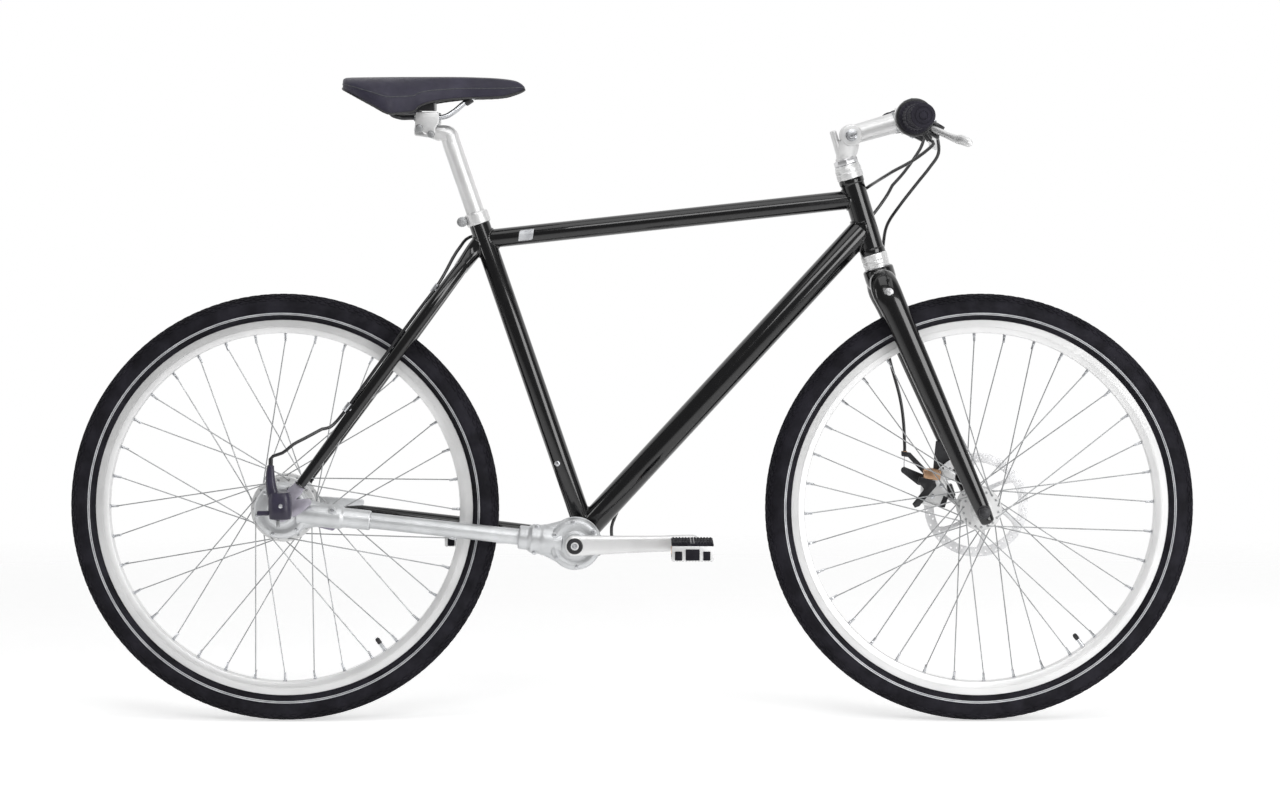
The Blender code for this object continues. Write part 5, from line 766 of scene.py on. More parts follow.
class WHEELS_OT_rims(bpy.types.Operator):
    """Two alloy rims with eyelets, nipples and a valve"""

    bl_idname = "bike.rims"
    bl_label = "Rims"

    def hoop(self, sizes):
        edge = sizes.rim_radius
        base = edge - sizes.rim_depth
        half = sizes.rim_width / 2
        right = [(base, 0), (base, -half * 0.48), (base + 0.0010, -half * 0.76), (edge - 0.0118, -half),
                 (edge - 0.0108, -half), (edge - 0.0105, -half + 0.0003),
                 (edge - 0.0100, -half + 0.0003), (edge - 0.0097, -half), (edge - 0.0006, -half),
                 (edge, -half + 0.0006), (edge, -half + 0.0013), (edge - 0.0006, -half + 0.0019),
                 (edge - 0.0074, -half + 0.0019), (edge - 0.0074, -0.0052), (edge - 0.0112, -0.0048)]
        left = [(radius, -side) for radius, side in reversed(right[1:])]
        return turned(right + left, WHEEL_STEPS)

    def nipple(self, base, angle, lean):
        outward = polar(1, angle)
        way = (outward + Vector((0, 0, lean))).normalized()
        profile = eased([(0.0005, -0.0125), (0.0014, -0.0125), (0.0019, -0.0115), (0.0019, -0.0050),
                         (0.0023, -0.0040), (0.0023, 0.0006), (0.0005, 0.0006)], 0.0003)
        seat = [(0.0022, 0.0002), (0.0036, -0.0001), (0.0040, 0.0004), (0.0036, 0.0010),
                (0.0022, 0.0010)]
        place = aim(outward * (base - 0.0003), way, UP)
        level = aim(outward * (base - 0.0003), outward, UP)
        return [placed(inked(turned(profile, 10), 1), place), placed(inked(turned(seat, 14), 1), level)]

    def valve(self, base, angle):
        outward = polar(1, angle)
        stem = lathe([(0, 0.003), (0.0038, 0.003), (0.0038, -0.0020), (0.0030, -0.0026),
                      (0.0030, -0.0160), (0, -0.0160)], 0.0004, 20)
        cap = lathe([(0, -0.0130), (0.0036, -0.0130), (0.0037, -0.0200), (0.0024, -0.0230),
                     (0, -0.0230)], 0.0005, 10)
        place = aim(outward * base, outward, UP)
        return [placed(inked(stem, 1), place), placed(inked(cap, 2), place)]

    def execute(self, context):
        sizes = context.scene.bike_wheels
        base = sizes.rim_radius - sizes.rim_depth
        for end, axle, valve_at in (("front", FRONT_AXLE, -4.5), ("rear", REAR_AXLE, 4.5)):
            first = math.radians(FIRST_SPOKE[end])
            shapes = [self.hoop(sizes)]
            for i in range(sizes.spoke_count):
                turn = first + 2 * math.pi * i / sizes.spoke_count
                shapes += self.nipple(base, math.pi - turn, 0.06 if i % 2 else -0.06)
            turn = first + 2 * math.pi * valve_at / sizes.spoke_count
            shapes += self.valve(base, math.pi - turn)
            made = placed(gathered(shapes), across_at(axle))
            put(end + "_rim_with_nipples", made, [finish("brushed_rim"), finish("bright_steel"),
                                                  finish("moulded_plastic")], end + "_wheel",
                [end + "_rim"])
        return {"FINISHED"}


def laced_spoke(sizes, flange_y, hole, rim_angle, trail, outward, spacing):
    """One spoke with its head and elbow, in the wheel's own frame with Z along the axle."""
    hub_angle = rim_angle + trail * 3 * spacing
    head = Vector((-hole * math.cos(hub_angle), hole * math.sin(hub_angle), 0))
    rim_end = sizes.rim_radius - sizes.rim_depth - 0.0085
    high = Vector((-rim_end * math.cos(rim_angle), rim_end * math.sin(rim_angle), outward * 0.0016))
    low = head + Vector((0, 0, flange_y + trail * 0.0024))
    along = (high - low).normalized()
    start = head + Vector((0, 0, flange_y - trail * 0.0027))
    neck = head + Vector((0, 0, flange_y + trail * 0.0012))
    points = [start, neck, low + along * 0.0012, low + along * 0.004, low.lerp(high, 0.5), high]
    radius = sizes.spoke_radius
    shapes = [tube(points, radius, 6, UP)]
    button = lathe([(0, -0.0010), (radius * 1.9, -0.0006), (radius * 1.9, 0), (0, 0)], 0.0003, 8)
    if trail < 0:
        half_turned(button)
    shapes.append(moved(button, start))
    return shapes


def lacing(sizes, flanges, first, swapped=()):
    """Every spoke of a wheel; flanges holds (Y, hole radius) for the right and left side."""
    per_side = sizes.spoke_count // 2
    spacing = 2 * math.pi / per_side
    shapes = []
    for side, (flange_y, hole) in enumerate(flanges):
        for i in range(per_side):
            trail = 1 if i % 2 else -1
            if side in swapped:
                trail = -trail
            angle = math.radians(first) + spacing * (i + side / 2)
            shapes += laced_spoke(sizes, flange_y, hole, angle, trail, 1 if side else -1, spacing)
    return shapes


def hole_shade_ringed(shell, flanges, sizes, first):
    """Painted shade of the spoke holes, as thin dark rings on both faces of a flange."""
    shapes = [shell]
    for side, (flange_y, hole) in enumerate(flanges):
        for i in range(sizes.spoke_count // 2):
            angle = math.radians(first) + 4 * math.pi * (i + side / 2) / sizes.spoke_count
            spot = Vector((-hole * math.cos(angle), hole * math.sin(angle), flange_y))
            for face in (-1, 1):
                # painted shade: a dark ring where a spoke hole would lie in shade; no hole is cut
                rim = ring(0.00145, 0.00028, 0, 10, 5)
                shapes.append(inked(moved(rim, spot + Vector((0, 0, face * 0.0016))), 1))
    return shapes


class WHEELS_OT_hubs(bpy.types.Operator):
    """Front hub with its laced spokes, and the rear gear hub with its own"""

    bl_idname = "bike.hubs"
    bl_label = "Hubs and spokes"

    def execute(self, context):
        sizes = context.scene.bike_wheels
        finishes = [finish("pale_satin_alloy"), finish("dark_coated_steel"), finish("grey_cast_alloy")]
        profile = [(0.0056, -0.046), (0.0104, -0.046), (0.0112, -0.0452), (0.0112, -0.040),
                   (0.0170, -0.0306)]
        profile += [(0.0312, -0.0306), (0.0320, -0.0298), (0.0320, -0.0282), (0.0312, -0.0274),
                    (0.0210, -0.0274), (0.0165, -0.0240), (0.0150, -0.0190), (0.0146, 0)]
        profile += [(radius, -side) for radius, side in reversed(profile[4:-1])]
        profile += [(0.0208, 0.0310), (0.0208, 0.0386), (0.0112, 0.0386), (0.0112, 0.0452),
                    (0.0104, 0.046), (0.0056, 0.046)]
        shapes = hole_shade_ringed(turned(profile, 64), FLANGES["front"], sizes, FIRST_SPOKE["front"])
        shapes += [inked(shape, 2)
                   for shape in lacing(sizes, FLANGES["front"], FIRST_SPOKE["front"], (1,))]
        seal = sleeve(0.0054, 0.0088, -0.0461, -0.0452, 0.0002, 32)
        shapes.append(inked(seal, 1))
        put("front_hub_laced", placed(gathered(shapes), across_at(FRONT_AXLE)), finishes, "front_wheel",
            ["front_hub_and_spokes"])
        shell = lathe([
            (0.0056, -0.0290), (0.0340, -0.0290), (0.0360, -0.0275), (0.0360, -0.0231),
            (0.0494, -0.0231), (0.0500, -0.0225), (0.0500, -0.0205), (0.0494, -0.0199),
            (0.0385, -0.0199), (0.0360, -0.0165), (0.0352, -0.0060), (0.0352, 0.0120), (0.0360, 0.0240),
            (0.0385, 0.0274), (0.0494, 0.0274), (0.0500, 0.0280), (0.0500, 0.0300), (0.0494, 0.0306),
            (0.0400, 0.0306), (0.0400, 0.0400), (0.0385, 0.0420), (0.0056, 0.0420)
        ], 0.0008, 72)
        shapes = hole_shade_ringed(shell, FLANGES["rear"], sizes, FIRST_SPOKE["rear"])
        shapes += [inked(shape, 2) for shape in lacing(sizes, FLANGES["rear"], FIRST_SPOKE["rear"])]
        band = sleeve(0.0350, 0.0404, 0.0325, 0.0337, 0.0002, 72)
        shapes.append(inked(band, 1))
        oil_port = placed(hex_nut(0.008, 0.0340, 0.0375, 0.0006),
                          aim(Vector(), Vector((0.4, 1, 0)), UP))
        shapes.append(inked(oil_port, 2))
        put("rear_hub_laced", placed(gathered(shapes), across_at(REAR_AXLE)), finishes, "rear_wheel",
            ["rear_hub_and_spokes"])
        return {"FINISHED"}


class WHEELS_OT_rotor(bpy.types.Operator):
    """Brake rotor with slanted arms, a drilled track and six bolts"""

    bl_idname = "bike.rotor"
    bl_label = "Brake rotor"

    def execute(self, context):
        place = across_at(FRONT_AXLE)
        low, high = 0.0391, 0.0409
        track = sleeve(0.0655, 0.0800, low, high, 0.0002, 120)
        carrier = sleeve(0.0122, 0.0240, low, high, 0.0002, 64)
        shapes = [carrier]
        for i in range(6):
            start = math.pi * i / 3
            route = []
            for radius, lean in ((0.0225, 0), (0.034, 9), (0.048, 17), (0.060, 22), (0.0668, 24)):
                route.append(polar(radius, start + math.radians(lean), 0.040))
            widths = [0.0055, 0.0036, 0.0032, 0.0038, 0.0060]
            shapes.append(along_route(route, [(0.0009, width) for width in widths], 10, LEFT, 0.5))
        obj = put("brake_rotor_disc", placed(track, place), finish("ground_rotor"), "front_wheel",
                  ["brake_rotor"])
        holes = []
        for i in range(60):
            spot = polar(0.0695 + 0.0034 * (i % 3), 2 * math.pi * i / 60)
            holes.append(moved(rod(0.0015, 0.036, 0.044, 10, 0), spot))
        carved(obj, placed(gathered(holes), place), placed(gathered(shapes), place))
        bolts = [moved(socket_bolt(0.0030, 0.0408, 0.0428), polar(0.0175, math.pi * i / 3 + 0.35))
                 for i in range(6)]
        put("brake_rotor_bolts", placed(gathered(bolts), place), finish("bright_steel"), "front_wheel",
            ())
        return {"FINISHED"}


class WHEELS_OT_axles(bpy.types.Operator):
    """Front and rear axle with threads, spacers, washers and nuts"""

    bl_idname = "bike.axles"
    bl_label = "Axles"

    def threaded(self, radius, low, high, pitch=0.0009):
        profile = [(0, low), (radius * 0.84, low)]
        count = int((high - low) / pitch)
        for i in range(count):
            at = low + pitch * (i + 0.5)
            profile += [(radius * 0.90, at), (radius, at + pitch * 0.35)]
        profile += [(radius * 0.84, high), (0, high)]
        return turned(profile, 24)

    def execute(self, context):
        finishes = [finish("bright_steel"), finish("polished_alloy"), finish("dark_coated_steel")]
        shapes = [rod(AXLE_RADIUS, -0.072, 0.072, 32, 0.0006)]
        for hand in (-1, 1):
            side = [self.threaded(AXLE_RADIUS, 0.0715, 0.0853),
                    sleeve(0.0051, 0.0085, 0.0466, 0.0535, 0.0004, 40),
                    sleeve(0.0051, 0.0105, 0.0724, 0.0737, 0.0002, 40),
                    inked(hex_nut(0.0150, 0.0737, 0.0812), 1)]
            if hand < 0:
                # the right nut and the end of the axle are black
                side = [half_turned(inked(shape, 2)) for shape in side]
            shapes += side
        put("front_axle_with_nuts", placed(gathered(shapes), across_at(FRONT_AXLE)), finishes, "fork",
            ["front_axle"])
        shapes = [rod(AXLE_RADIUS, -0.092, 0.071, 32, 0.0006)]
        shapes.append(self.threaded(AXLE_RADIUS, 0.0705, 0.0828))
        for outer, low, high, edge in (
                (0.0085, -0.0632, -0.0618, 0.0003), (0.0085, 0.0505, 0.0630, 0.0003),
                (0.0110, 0.0698, 0.0712, 0.0002), (0.0110, -0.0712, -0.0698, 0.0002)):
            shapes.append(sleeve(0.0051, outer, low, high, edge, 40))
        shapes.append(inked(hex_nut(0.0150, 0.0712, 0.0787), 1))
        shapes.append(inked(hex_nut(0.0150, -0.0787, -0.0712), 1))
        put("rear_axle_with_nuts", placed(gathered(shapes), across_at(REAR_AXLE)), finishes, "frame",
            ["rear_axle"])
        return {"FINISHED"}


# Bars whose section changes along a curve, and weld beads
def curve_at(rows, knot):
    """The row of numbers at a place between rows, on a smooth curve through all of them."""
    k = min(int(knot), len(rows) - 2)
    t = knot - k
    b, c = rows[k], rows[k + 1]
    a = rows[k - 1] if k else [2 * x - y for x, y in zip(b, c)]
    d = rows[k + 2] if k + 2 < len(rows) else [2 * y - x for x, y in zip(b, c)]
    return [0.5 * (2 * q + (r - p) * t + (2 * p - 5 * q + 4 * r - s) * t * t
                   + (3 * q - p - 3 * r + s) * t ** 3)
            for p, q, r, s in zip(a, b, c, d)]


def formed_bar(points, halves, side=LEFT, count=32, steps=28, square=1.0, tips=(0.0, 0.0)):
    """An oval bar on a smooth curve; its section eases from point to point, its tips round off.

    Side is one direction, or one for each point, that the section's second half follows.
    """
    sides = side if isinstance(side, list) else [side] * len(points)
    rows = [[*point, *half, *way] for point, half, way in zip(points, halves, sides)]
    fine = [curve_at(rows, i / 40) for i in range(40 * (len(rows) - 1) + 1)]
    far = [0.0]
    for first, second in zip(fine, fine[1:]):
        far.append(far[-1] + (Vector(second[:3]) - Vector(first[:3])).length)
    goals = [far[-1] * i / (count - 1) for i in range(count)]
    for tip, low in ((tips[0], True), (tips[1], False)):
        if tip:
            near = [tip * share for share in (0, 0.06, 0.2, 0.42, 0.7, 1)]
            goals = [goal for goal in goals if (goal if low else far[-1] - goal) > tip * 1.15]
            goals += near if low else [far[-1] - reach for reach in near]
    taken = []
    at = 0
    for goal in sorted(goals):
        while at < len(fine) - 2 and far[at + 1] < goal:
            at += 1
        share = min(max((goal - far[at]) / max(far[at + 1] - far[at], 1e-9), 0), 1)
        row = [p + (q - p) * share for p, q in zip(fine[at], fine[at + 1])]
        shrink = 1.0
        for tip, rest in ((tips[0], goal), (tips[1], far[-1] - goal)):
            if tip and rest < tip:
                shrink = max(math.sqrt(max(1 - ((tip - rest) / tip) ** 2, 0)), 0.22)
        taken.append((Vector(row[:3]), row[3] * shrink, row[4] * shrink, Vector(row[5:])))
    places = []
    for i, item in enumerate(taken):
        before = taken[max(i - 1, 0)][0]
        after = taken[min(i + 1, len(taken) - 1)][0]
        places.append(aim(item[0], after - before, item[3]))
    return skinned(places, [(item[1], item[2]) for item in taken], steps, square)


def closed_bead(points, radius, way, steps=8):
    """A round bead on a closed ring of points, with the small ripples of a weld."""
    bm = bmesh.new()
    loops = []
    for i, point in enumerate(points):
        along = points[(i + 1) % len(points)] - points[i - 1]
        ripple = radius * (1 + 0.09 * math.cos(2 * math.pi * i / 3))
        made = bmesh.ops.create_circle(bm, cap_ends=False, radius=ripple, segments=steps)
        bmesh.ops.transform(bm, matrix=aim(point, along, way), verts=made["verts"])
        loops.append(edge_loop(made))
    for low, high in zip(loops, loops[1:] + loops[:1]):
        bmesh.ops.bridge_loops(bm, edges=low + high)
    return cleaned(bm)


def weld(start, way, radius, other_start, other_way, other_radius, bead):
    """The bead where a tube of this radius, coming along way, meets the side of another tube."""
    way = way.normalized()
    other_way = other_way.normalized()
    place = aim(start, way)
    count = int(2 * math.pi * radius / 0.0011) // 3 * 3
    points = []
    for i in range(count):
        turn = 2 * math.pi * i / count
        spot = place @ Vector((radius * math.cos(turn), radius * math.sin(turn), 0))
        apart = spot - other_start
        apart -= other_way * apart.dot(other_way)
        slope = way - other_way * way.dot(other_way)
        a = slope.dot(slope)
        b = 2 * apart.dot(slope)
        c = apart.dot(apart) - other_radius ** 2
        root = max(b * b - 4 * a * c, 0)
        points.append(spot + way * (-b - math.sqrt(root)) / (2 * a))
    return closed_bead(points, bead, way)


# Frame
class FRAME_OT_tubes(bpy.types.Operator):
    """Head tube, top tube, down tube and seat tube with its yoke, with their weld beads"""

    bl_idname = "bike.tubes"
    bl_label = "Frame tubes"

    def pipe(self, start, end, radius, low=0.0, high=0.0):
        way = end - start
        return placed(rod(radius, low, way.length - high, 64), aim(start, way))

    def execute(self, context):
        sizes = context.scene.bike_tubes
        paint = finish("gloss_paint")
        head = hollow([(0.0160, 0), (0.0192, 0), (0.0192, 0.0066), (0.0180, 0.0082),
                       (sizes.head_radius, 0.012), (sizes.head_radius, 0.106), (0.0180, 0.1098),
                       (0.0192, 0.1114), (0.0192, HEAD_LENGTH), (0.0160, HEAD_LENGTH)], 0.0007, 72)
        put("head_tube_painted", placed(head, aim(HEAD_BASE, HEAD_UP)), paint, "frame", ["head_tube"])
        way = TOP_TUBE_FRONT - TOP_TUBE_REAR
        shapes = [self.pipe(TOP_TUBE_REAR, TOP_TUBE_FRONT, sizes.top_radius, 0.004, 0.004),
                  weld(TOP_TUBE_REAR + way / 2, way, sizes.top_radius, HEAD_BASE, HEAD_UP,
                       sizes.head_radius, sizes.bead),
                  weld(TOP_TUBE_REAR + way / 2, -way, sizes.top_radius, SEAT_BASE, SEAT_UP,
                       sizes.seat_radius, sizes.bead)]
        put("top_tube_painted", shapes, paint, "frame", ["top_tube"])
        way = DOWN_TUBE_FRONT - BRACKET
        shapes = [
            self.pipe(BRACKET, DOWN_TUBE_FRONT, sizes.down_radius, 0.010, 0.006),
            weld(BRACKET + way / 2, way, sizes.down_radius, HEAD_BASE, HEAD_UP,
                 sizes.head_radius + 0.0002, sizes.bead),
            weld(BRACKET + way / 2, -way, sizes.down_radius, BRACKET, LEFT, BRACKET_RADIUS, sizes.bead)
        ]
        put("down_tube_painted", shapes, paint, "frame", ["down_tube"])
        seat_tube = hollow([(0.0138, 0.020), (sizes.seat_radius, 0.020),
                            (sizes.seat_radius, SEAT_TUBE_LENGTH), (0.0138, SEAT_TUBE_LENGTH)], 0.0004)
        yoke = formed_bar([STAY_TOP + STAY_DOWN * 0.0095, STAY_TOP + STAY_DOWN * 0.026,
                           STAY_TOP + STAY_DOWN * 0.042, STAY_TOP + STAY_DOWN * 0.0600],
                          [(0.0125, 0.0125), (0.0125, 0.0140), (0.0120, 0.0215), (0.0112, 0.0306)],
                          count=26, steps=40, square=0.82)
        shapes = [placed(seat_tube, aim(SEAT_BASE, SEAT_UP)), yoke,
                  weld(SEAT_TOP, -SEAT_UP, sizes.seat_radius, BRACKET, way, sizes.down_radius,
                       sizes.bead),
                  weld(STAY_TOP + STAY_DOWN * 0.04, -STAY_DOWN, 0.0128, SEAT_BASE, SEAT_UP,
                       sizes.seat_radius, sizes.bead * 0.9)]
        put("seat_tube_painted", shapes, paint, "frame", ["seat_tube"])
        return {"FINISHED"}


class FRAME_OT_bracket(bpy.types.Operator):
    """Bottom bracket shell with its adjustable cup and lock ring"""

    bl_idname = "bike.bracket"
    bl_label = "Bottom bracket shell"

    def execute(self, context):
        shell = hollow([(0.0165, -0.0338), (BRACKET_RADIUS, -0.0338), (BRACKET_RADIUS, -0.0290),
                        (BRACKET_RADIUS, 0.0290), (BRACKET_RADIUS, 0.0338), (0.0165, 0.0338)])
        cup = hollow([(0.0088, 0.0250), (0.0172, 0.0250), (0.0172, 0.0372), (0.0150, 0.0375),
                      (0.0095, 0.0368), (0.0088, 0.0360)], 0.0004, 48)
        lock = turned([(0.0170, 0.0336), (0.0192, 0.0336), (0.0194, 0.0340), (0.0194, 0.0362),
                       (0.0190, 0.0366), (0.0170, 0.0366)], 48)
        shapes = [shell, inked(cup, 1), inked(lock, 1)]
        for i in range(6):
            notch = block((0.0042, 0.0022, 0.0024), (0.0196, 0, 0.0351), 0.0003)
            shapes.append(inked(placed(notch, Matrix.Rotation(math.pi * i / 3, 4, "Z")), 1))
        put("bracket_shell_with_cup", placed(gathered(shapes), across_at(BRACKET)),
            [finish("gloss_paint"), finish("dark_coated_steel")], "frame", ["bottom_bracket_shell"])
        return {"FINISHED"}


def stay_route(hand):
    start = sideways(STAY_TOP + STAY_DOWN * 0.0603, hand * 0.0211)
    foot = sideways(STAY_FOOT, hand * DROPOUT_Y)
    return [start, sideways(start.lerp(foot, 0.10), hand * 0.038),
            sideways(start.lerp(foot, 0.22), hand * 0.047),
            sideways(start.lerp(foot, 0.6), hand * 0.0565), foot]


class FRAME_OT_stays(bpy.types.Operator):
    """Seat stays with their bolt, left chainstay and both dropouts"""

    bl_idname = "bike.stays"
    bl_label = "Stays and dropouts"

    def stay(self, hand, radius):
        route = stay_route(hand)
        low = route[0] - STAY_DOWN * 0.010
        halves = [(radius, radius)] * 4 + [(radius * 0.8, radius * 0.6)]
        return formed_bar([sideways(low, hand * 0.0165)] + route,
                          [(radius * 0.9, radius * 0.9)] + halves, count=44, steps=28)

    def dropout(self, hand):
        stay = STAY_FOOT - REAR_AXLE
        outline = []
        for i in range(25):
            outline.append(polar(0.015, math.radians(150 + 180 * i / 24))[:2])
        if hand > 0:
            outline += [(0.030, -0.012), (0.0315, -0.003), (0.030, 0.008), (0.0235, 0.0125),
                        (0.0195, 0.0165)]
        else:
            outline += [(0.024, -0.006), (0.036, 0.003), (0.045, 0.0105), (0.0470, 0.0150),
                        (0.044, 0.020), (0.034, 0.0195), (0.0235, 0.0190)]
        reach = stay.length + 0.003
        tip = stay.normalized()
        edge = Vector((tip.z, 0, -tip.x)) * 0.0075
        for spot in (tip * (reach - 0.012) + edge * 1.25, tip * reach + edge, tip * reach - edge,
                     tip * (reach - 0.014) - edge * 1.35):
            outline.append((spot.x, spot.z))
        y = hand * DROPOUT_Y
        return placed(plate(from_right(outline), y - 0.003, y + 0.003, 0.0009, 3), across_at(REAR_AXLE))

    def execute(self, context):
        sizes = context.scene.bike_tubes
        paint = finish("gloss_paint")
        for name, hand in (("right", -1), ("left", 1)):
            place = aim(sideways(STAY_FOOT - STAY_DOWN * 0.0004, hand * DROPOUT_Y), STAY_DOWN)
            turns = [2 * math.pi * i / 36 for i in range(36)]
            oval = [place @ Vector((0.0078 * math.cos(turn), 0.0060 * math.sin(turn), 0))
                    for turn in turns]
            shapes = [self.stay(hand, sizes.stay_radius), closed_bead(oval, 0.0013, STAY_DOWN)]
            put("seat_stay_painted_" + name, shapes, paint, "frame", ["seat_stay_" + name])
        bolt_place = aim(Vector((-0.3045, -0.0452, 0.6330)), -LEFT, UP)
        head = placed(hex_nut(0.0078, 0, 0.0042, 0.0010), bolt_place)
        washer = placed(rod(0.0052, -0.0015, 0.0005, 28, 0.0003), bolt_place)
        put("stay_bolt", [head, washer], finish("polished_alloy"), "frame", ())
        line = REAR_AXLE - BRACKET
        route = [sideways(BRACKET + line * share, y) for share, y in (
            (0.02, 0.0223), (0.16, 0.040), (0.45, 0.050), (0.925, DROPOUT_Y))]
        stay = formed_bar(route, [(0.011, 0.011), (0.011, 0.011), (0.011, 0.011), (0.0094, 0.0066)],
                          count=40, steps=28)
        put("chainstay_left_painted", stay, paint, "frame", ["chainstay_left"])
        put("dropout_plate_right", self.dropout(-1), finish("lilac_grey_alloy"), "frame",
            ["dropout_right"])
        put("dropout_plate_left", self.dropout(1), finish("dark_coated_steel"), "frame",
            ["dropout_left"])
        return {"FINISHED"}


class FRAME_OT_headset(bpy.types.Operator):
    """Polished headset cups at both ends of the head tube"""

    bl_idname = "bike.headset"
    bl_label = "Headset cups"

    def execute(self, context):
        lower = hollow([
            (0.0152, 0.0006), (0.0178, 0.0003), (0.0190, 0.0012), (0.0190, 0.0050), (0.0197, 0.0058),
            (0.0197, 0.0098), (0.0192, 0.0104), (0.0192, 0.0114), (0.0200, 0.0122), (0.0200, 0.0205),
            (0.0194, 0.0213), (0.0152, 0.0213)
        ], 0.0005, 72)
        put("headset_lower_cup_polished", placed(lower, aim(CROWN_SEAT + HEAD_UP * 0.0003, HEAD_UP)),
            finish("pale_satin_alloy"), "frame", ["headset_lower_cup"])
        upper = hollow([(0.0152, 0), (0.0196, 0), (0.0200, 0.0008), (0.0200, 0.0086), (0.0193, 0.0094),
                        (0.0193, 0.0104), (0.0198, 0.0112), (0.0198, 0.0160), (0.0190, 0.0168),
                        (0.0186, 0.0205), (0.0178, 0.0214), (0.0152, 0.0214)], 0.0005, 72)
        put("headset_upper_cup_polished", placed(upper, aim(HEAD_TOP + HEAD_UP * 0.0002, HEAD_UP)),
            finish("pale_satin_alloy"), "frame", ["headset_upper_cup"])
        return {"FINISHED"}


class FRAME_OT_badge(bpy.types.Operator):
    """A bare pale plate on the right of the top tube, and the bolt in the seat tube"""

    bl_idname = "bike.badge"
    bl_label = "Bare plate"

    def execute(self, context):
        out = Vector((-0.0066, -0.0150, 0)).normalized()
        spot = SEAT_BASE + SEAT_UP * 0.1243
        head = lathe([(0, 0.0120), (0.0046, 0.0120), (0.0046, 0.0168), (0.0032, 0.0180), (0, 0.0182)],
                     0.0005, 28)
        put("seat_tube_bolt", placed(head, aim(spot, out, UP)), finish("bright_steel"), "frame", ())
        way = (TOP_TUBE_FRONT - TOP_TUBE_REAR).normalized()
        bm = bmesh.new()
        radius = context.scene.bike_tubes.top_radius
        made = bmesh.ops.create_grid(bm, x_segments=10, y_segments=10, size=1)
        for vert in made["verts"]:
            turn = math.radians(34) * vert.co.y
            lean = vert.co.x * 0.011 + 0.002 * vert.co.y
            bulge = 0.00035 * (1 - vert.co.x ** 4) * (1 - vert.co.y ** 4)
            vert.co = Vector((-(radius + bulge) * math.cos(turn), (radius + bulge) * math.sin(turn),
                              lean))
        pulled = bmesh.ops.extrude_face_region(bm, geom=list(bm.faces))["geom"]
        for item in pulled:
            if isinstance(item, bmesh.types.BMVert):
                item.co.x *= 0.94
                item.co.y *= 0.94
        cleaned(bm)
        spot = TOP_TUBE_REAR + way * 0.0635
        # the plate's local -X faces the rider's right
        place = Matrix.Translation(spot) @ Matrix((LEFT, way.cross(LEFT), way)).transposed().to_4x4()
        put("bare_plate", placed(bm, place), finish("reflective_stripe"), "frame", ())
        return {"FINISHED"}


# Fork
class FORK_OT_fork(bpy.types.Operator):
    """Steerer with crown and lock nut, and two shaped blades with a bolt on each"""

    bl_idname = "bike.fork"
    bl_label = "Fork"

    def blade(self, hand):
        top = FRONT_AXLE - BLADE_DOWN * 0.321
        spots = [(CROWN_SEAT - HEAD_UP * 0.0161, 0.008), (CROWN_SEAT - HEAD_UP * 0.0190, 0.028),
                 (CROWN_SEAT - HEAD_UP * 0.0380, 0.0430), (top, 0.047),
                 (top.lerp(FRONT_AXLE, 0.35), 0.052), (FRONT_AXLE - BLADE_DOWN * 0.03, 0.063),
                 (FRONT_AXLE + BLADE_DOWN * 0.0208, 0.063)]
        depths = (0.0317, 0.0396, 0.0440, 0.0400, 0.0360, 0.0260, 0.0208)
        widths = (0.0240, 0.0300, 0.0280, 0.0280, 0.0250, 0.0180, 0.0180)
        sides = [HEAD_UP * hand, HEAD_UP * hand, (HEAD_UP * hand + LEFT * 2)] + [LEFT] * 4
        return formed_bar([sideways(spot, hand * y) for spot, y in spots],
                          [(depth / 2, width / 2) for depth, width in zip(depths, widths)], sides,
                          count=56, steps=36, tips=(0.0, 0.006))

    def execute(self, context):
        paint = finish("gloss_paint")
        crown = lathe([(0, -0.0300), (0.0180, -0.0300), (0.0202, -0.0288), (0.0226, -0.0230),
                       (0.0235, -0.0180), (0.0235, -0.0030), (0.0215, -0.0006), (0.0190, 0.0),
                       (0.0140, 0.0), (0.0140, 0.1600), (0, 0.1600)], 0.0012, 72)
        race = lathe([(0.0138, -0.0004), (0.0196, -0.0004), (0.0194, 0.0012), (0.0138, 0.0012)], 0.0003)
        top = 0.1624
        spacer = sleeve(0.0115, 0.0180, top - 0.0014, top, 0.0003, 64)
        nut = bmesh.new()
        bmesh.ops.create_cone(nut, cap_ends=True, segments=8, radius1=0.0185, radius2=0.0185,
                              depth=0.0076)
        bmesh.ops.translate(nut, verts=nut.verts, vec=(0, 0, top + 0.0040))
        bevelled(nut, 0.0009, 3, 30)
        rim = lathe([(0.0115, top + 0.0070), (0.0160, top + 0.0070), (0.0152, top + 0.0089),
                     (0.0115, top + 0.0089)], 0.0003)
        shapes = [crown, inked(race, 1), inked(spacer, 1), inked(nut, 1), inked(rim, 1)]
        put("fork_crown_and_nut", placed(gathered(shapes), aim(CROWN_SEAT, HEAD_UP)),
            [paint, finish("polished_alloy")], "fork", ["fork_steerer"])
        for name, hand in (("right", -1), ("left", 1)):
            put("fork_blade_painted_" + name, self.blade(hand), paint, "fork", ["fork_blade_" + name])
        shapes = []
        for hand in (-1, 1):
            spot = Vector((0.3852, hand * 0.0550, 0.6552))
            place = aim(spot, LEFT * hand, UP)
            flange = lathe([(0, -0.002), (0.0070, -0.002), (0.0070, 0.0016), (0.0062, 0.0026),
                            (0, 0.0028)], 0.0004, 40)
            shapes += [placed(flange, place), placed(socket_bolt(0.0044, 0.0024, 0.0056), place)]
        put("fork_side_bolts", shapes, finish("polished_alloy"), "fork", ())
        return {"FINISHED"}


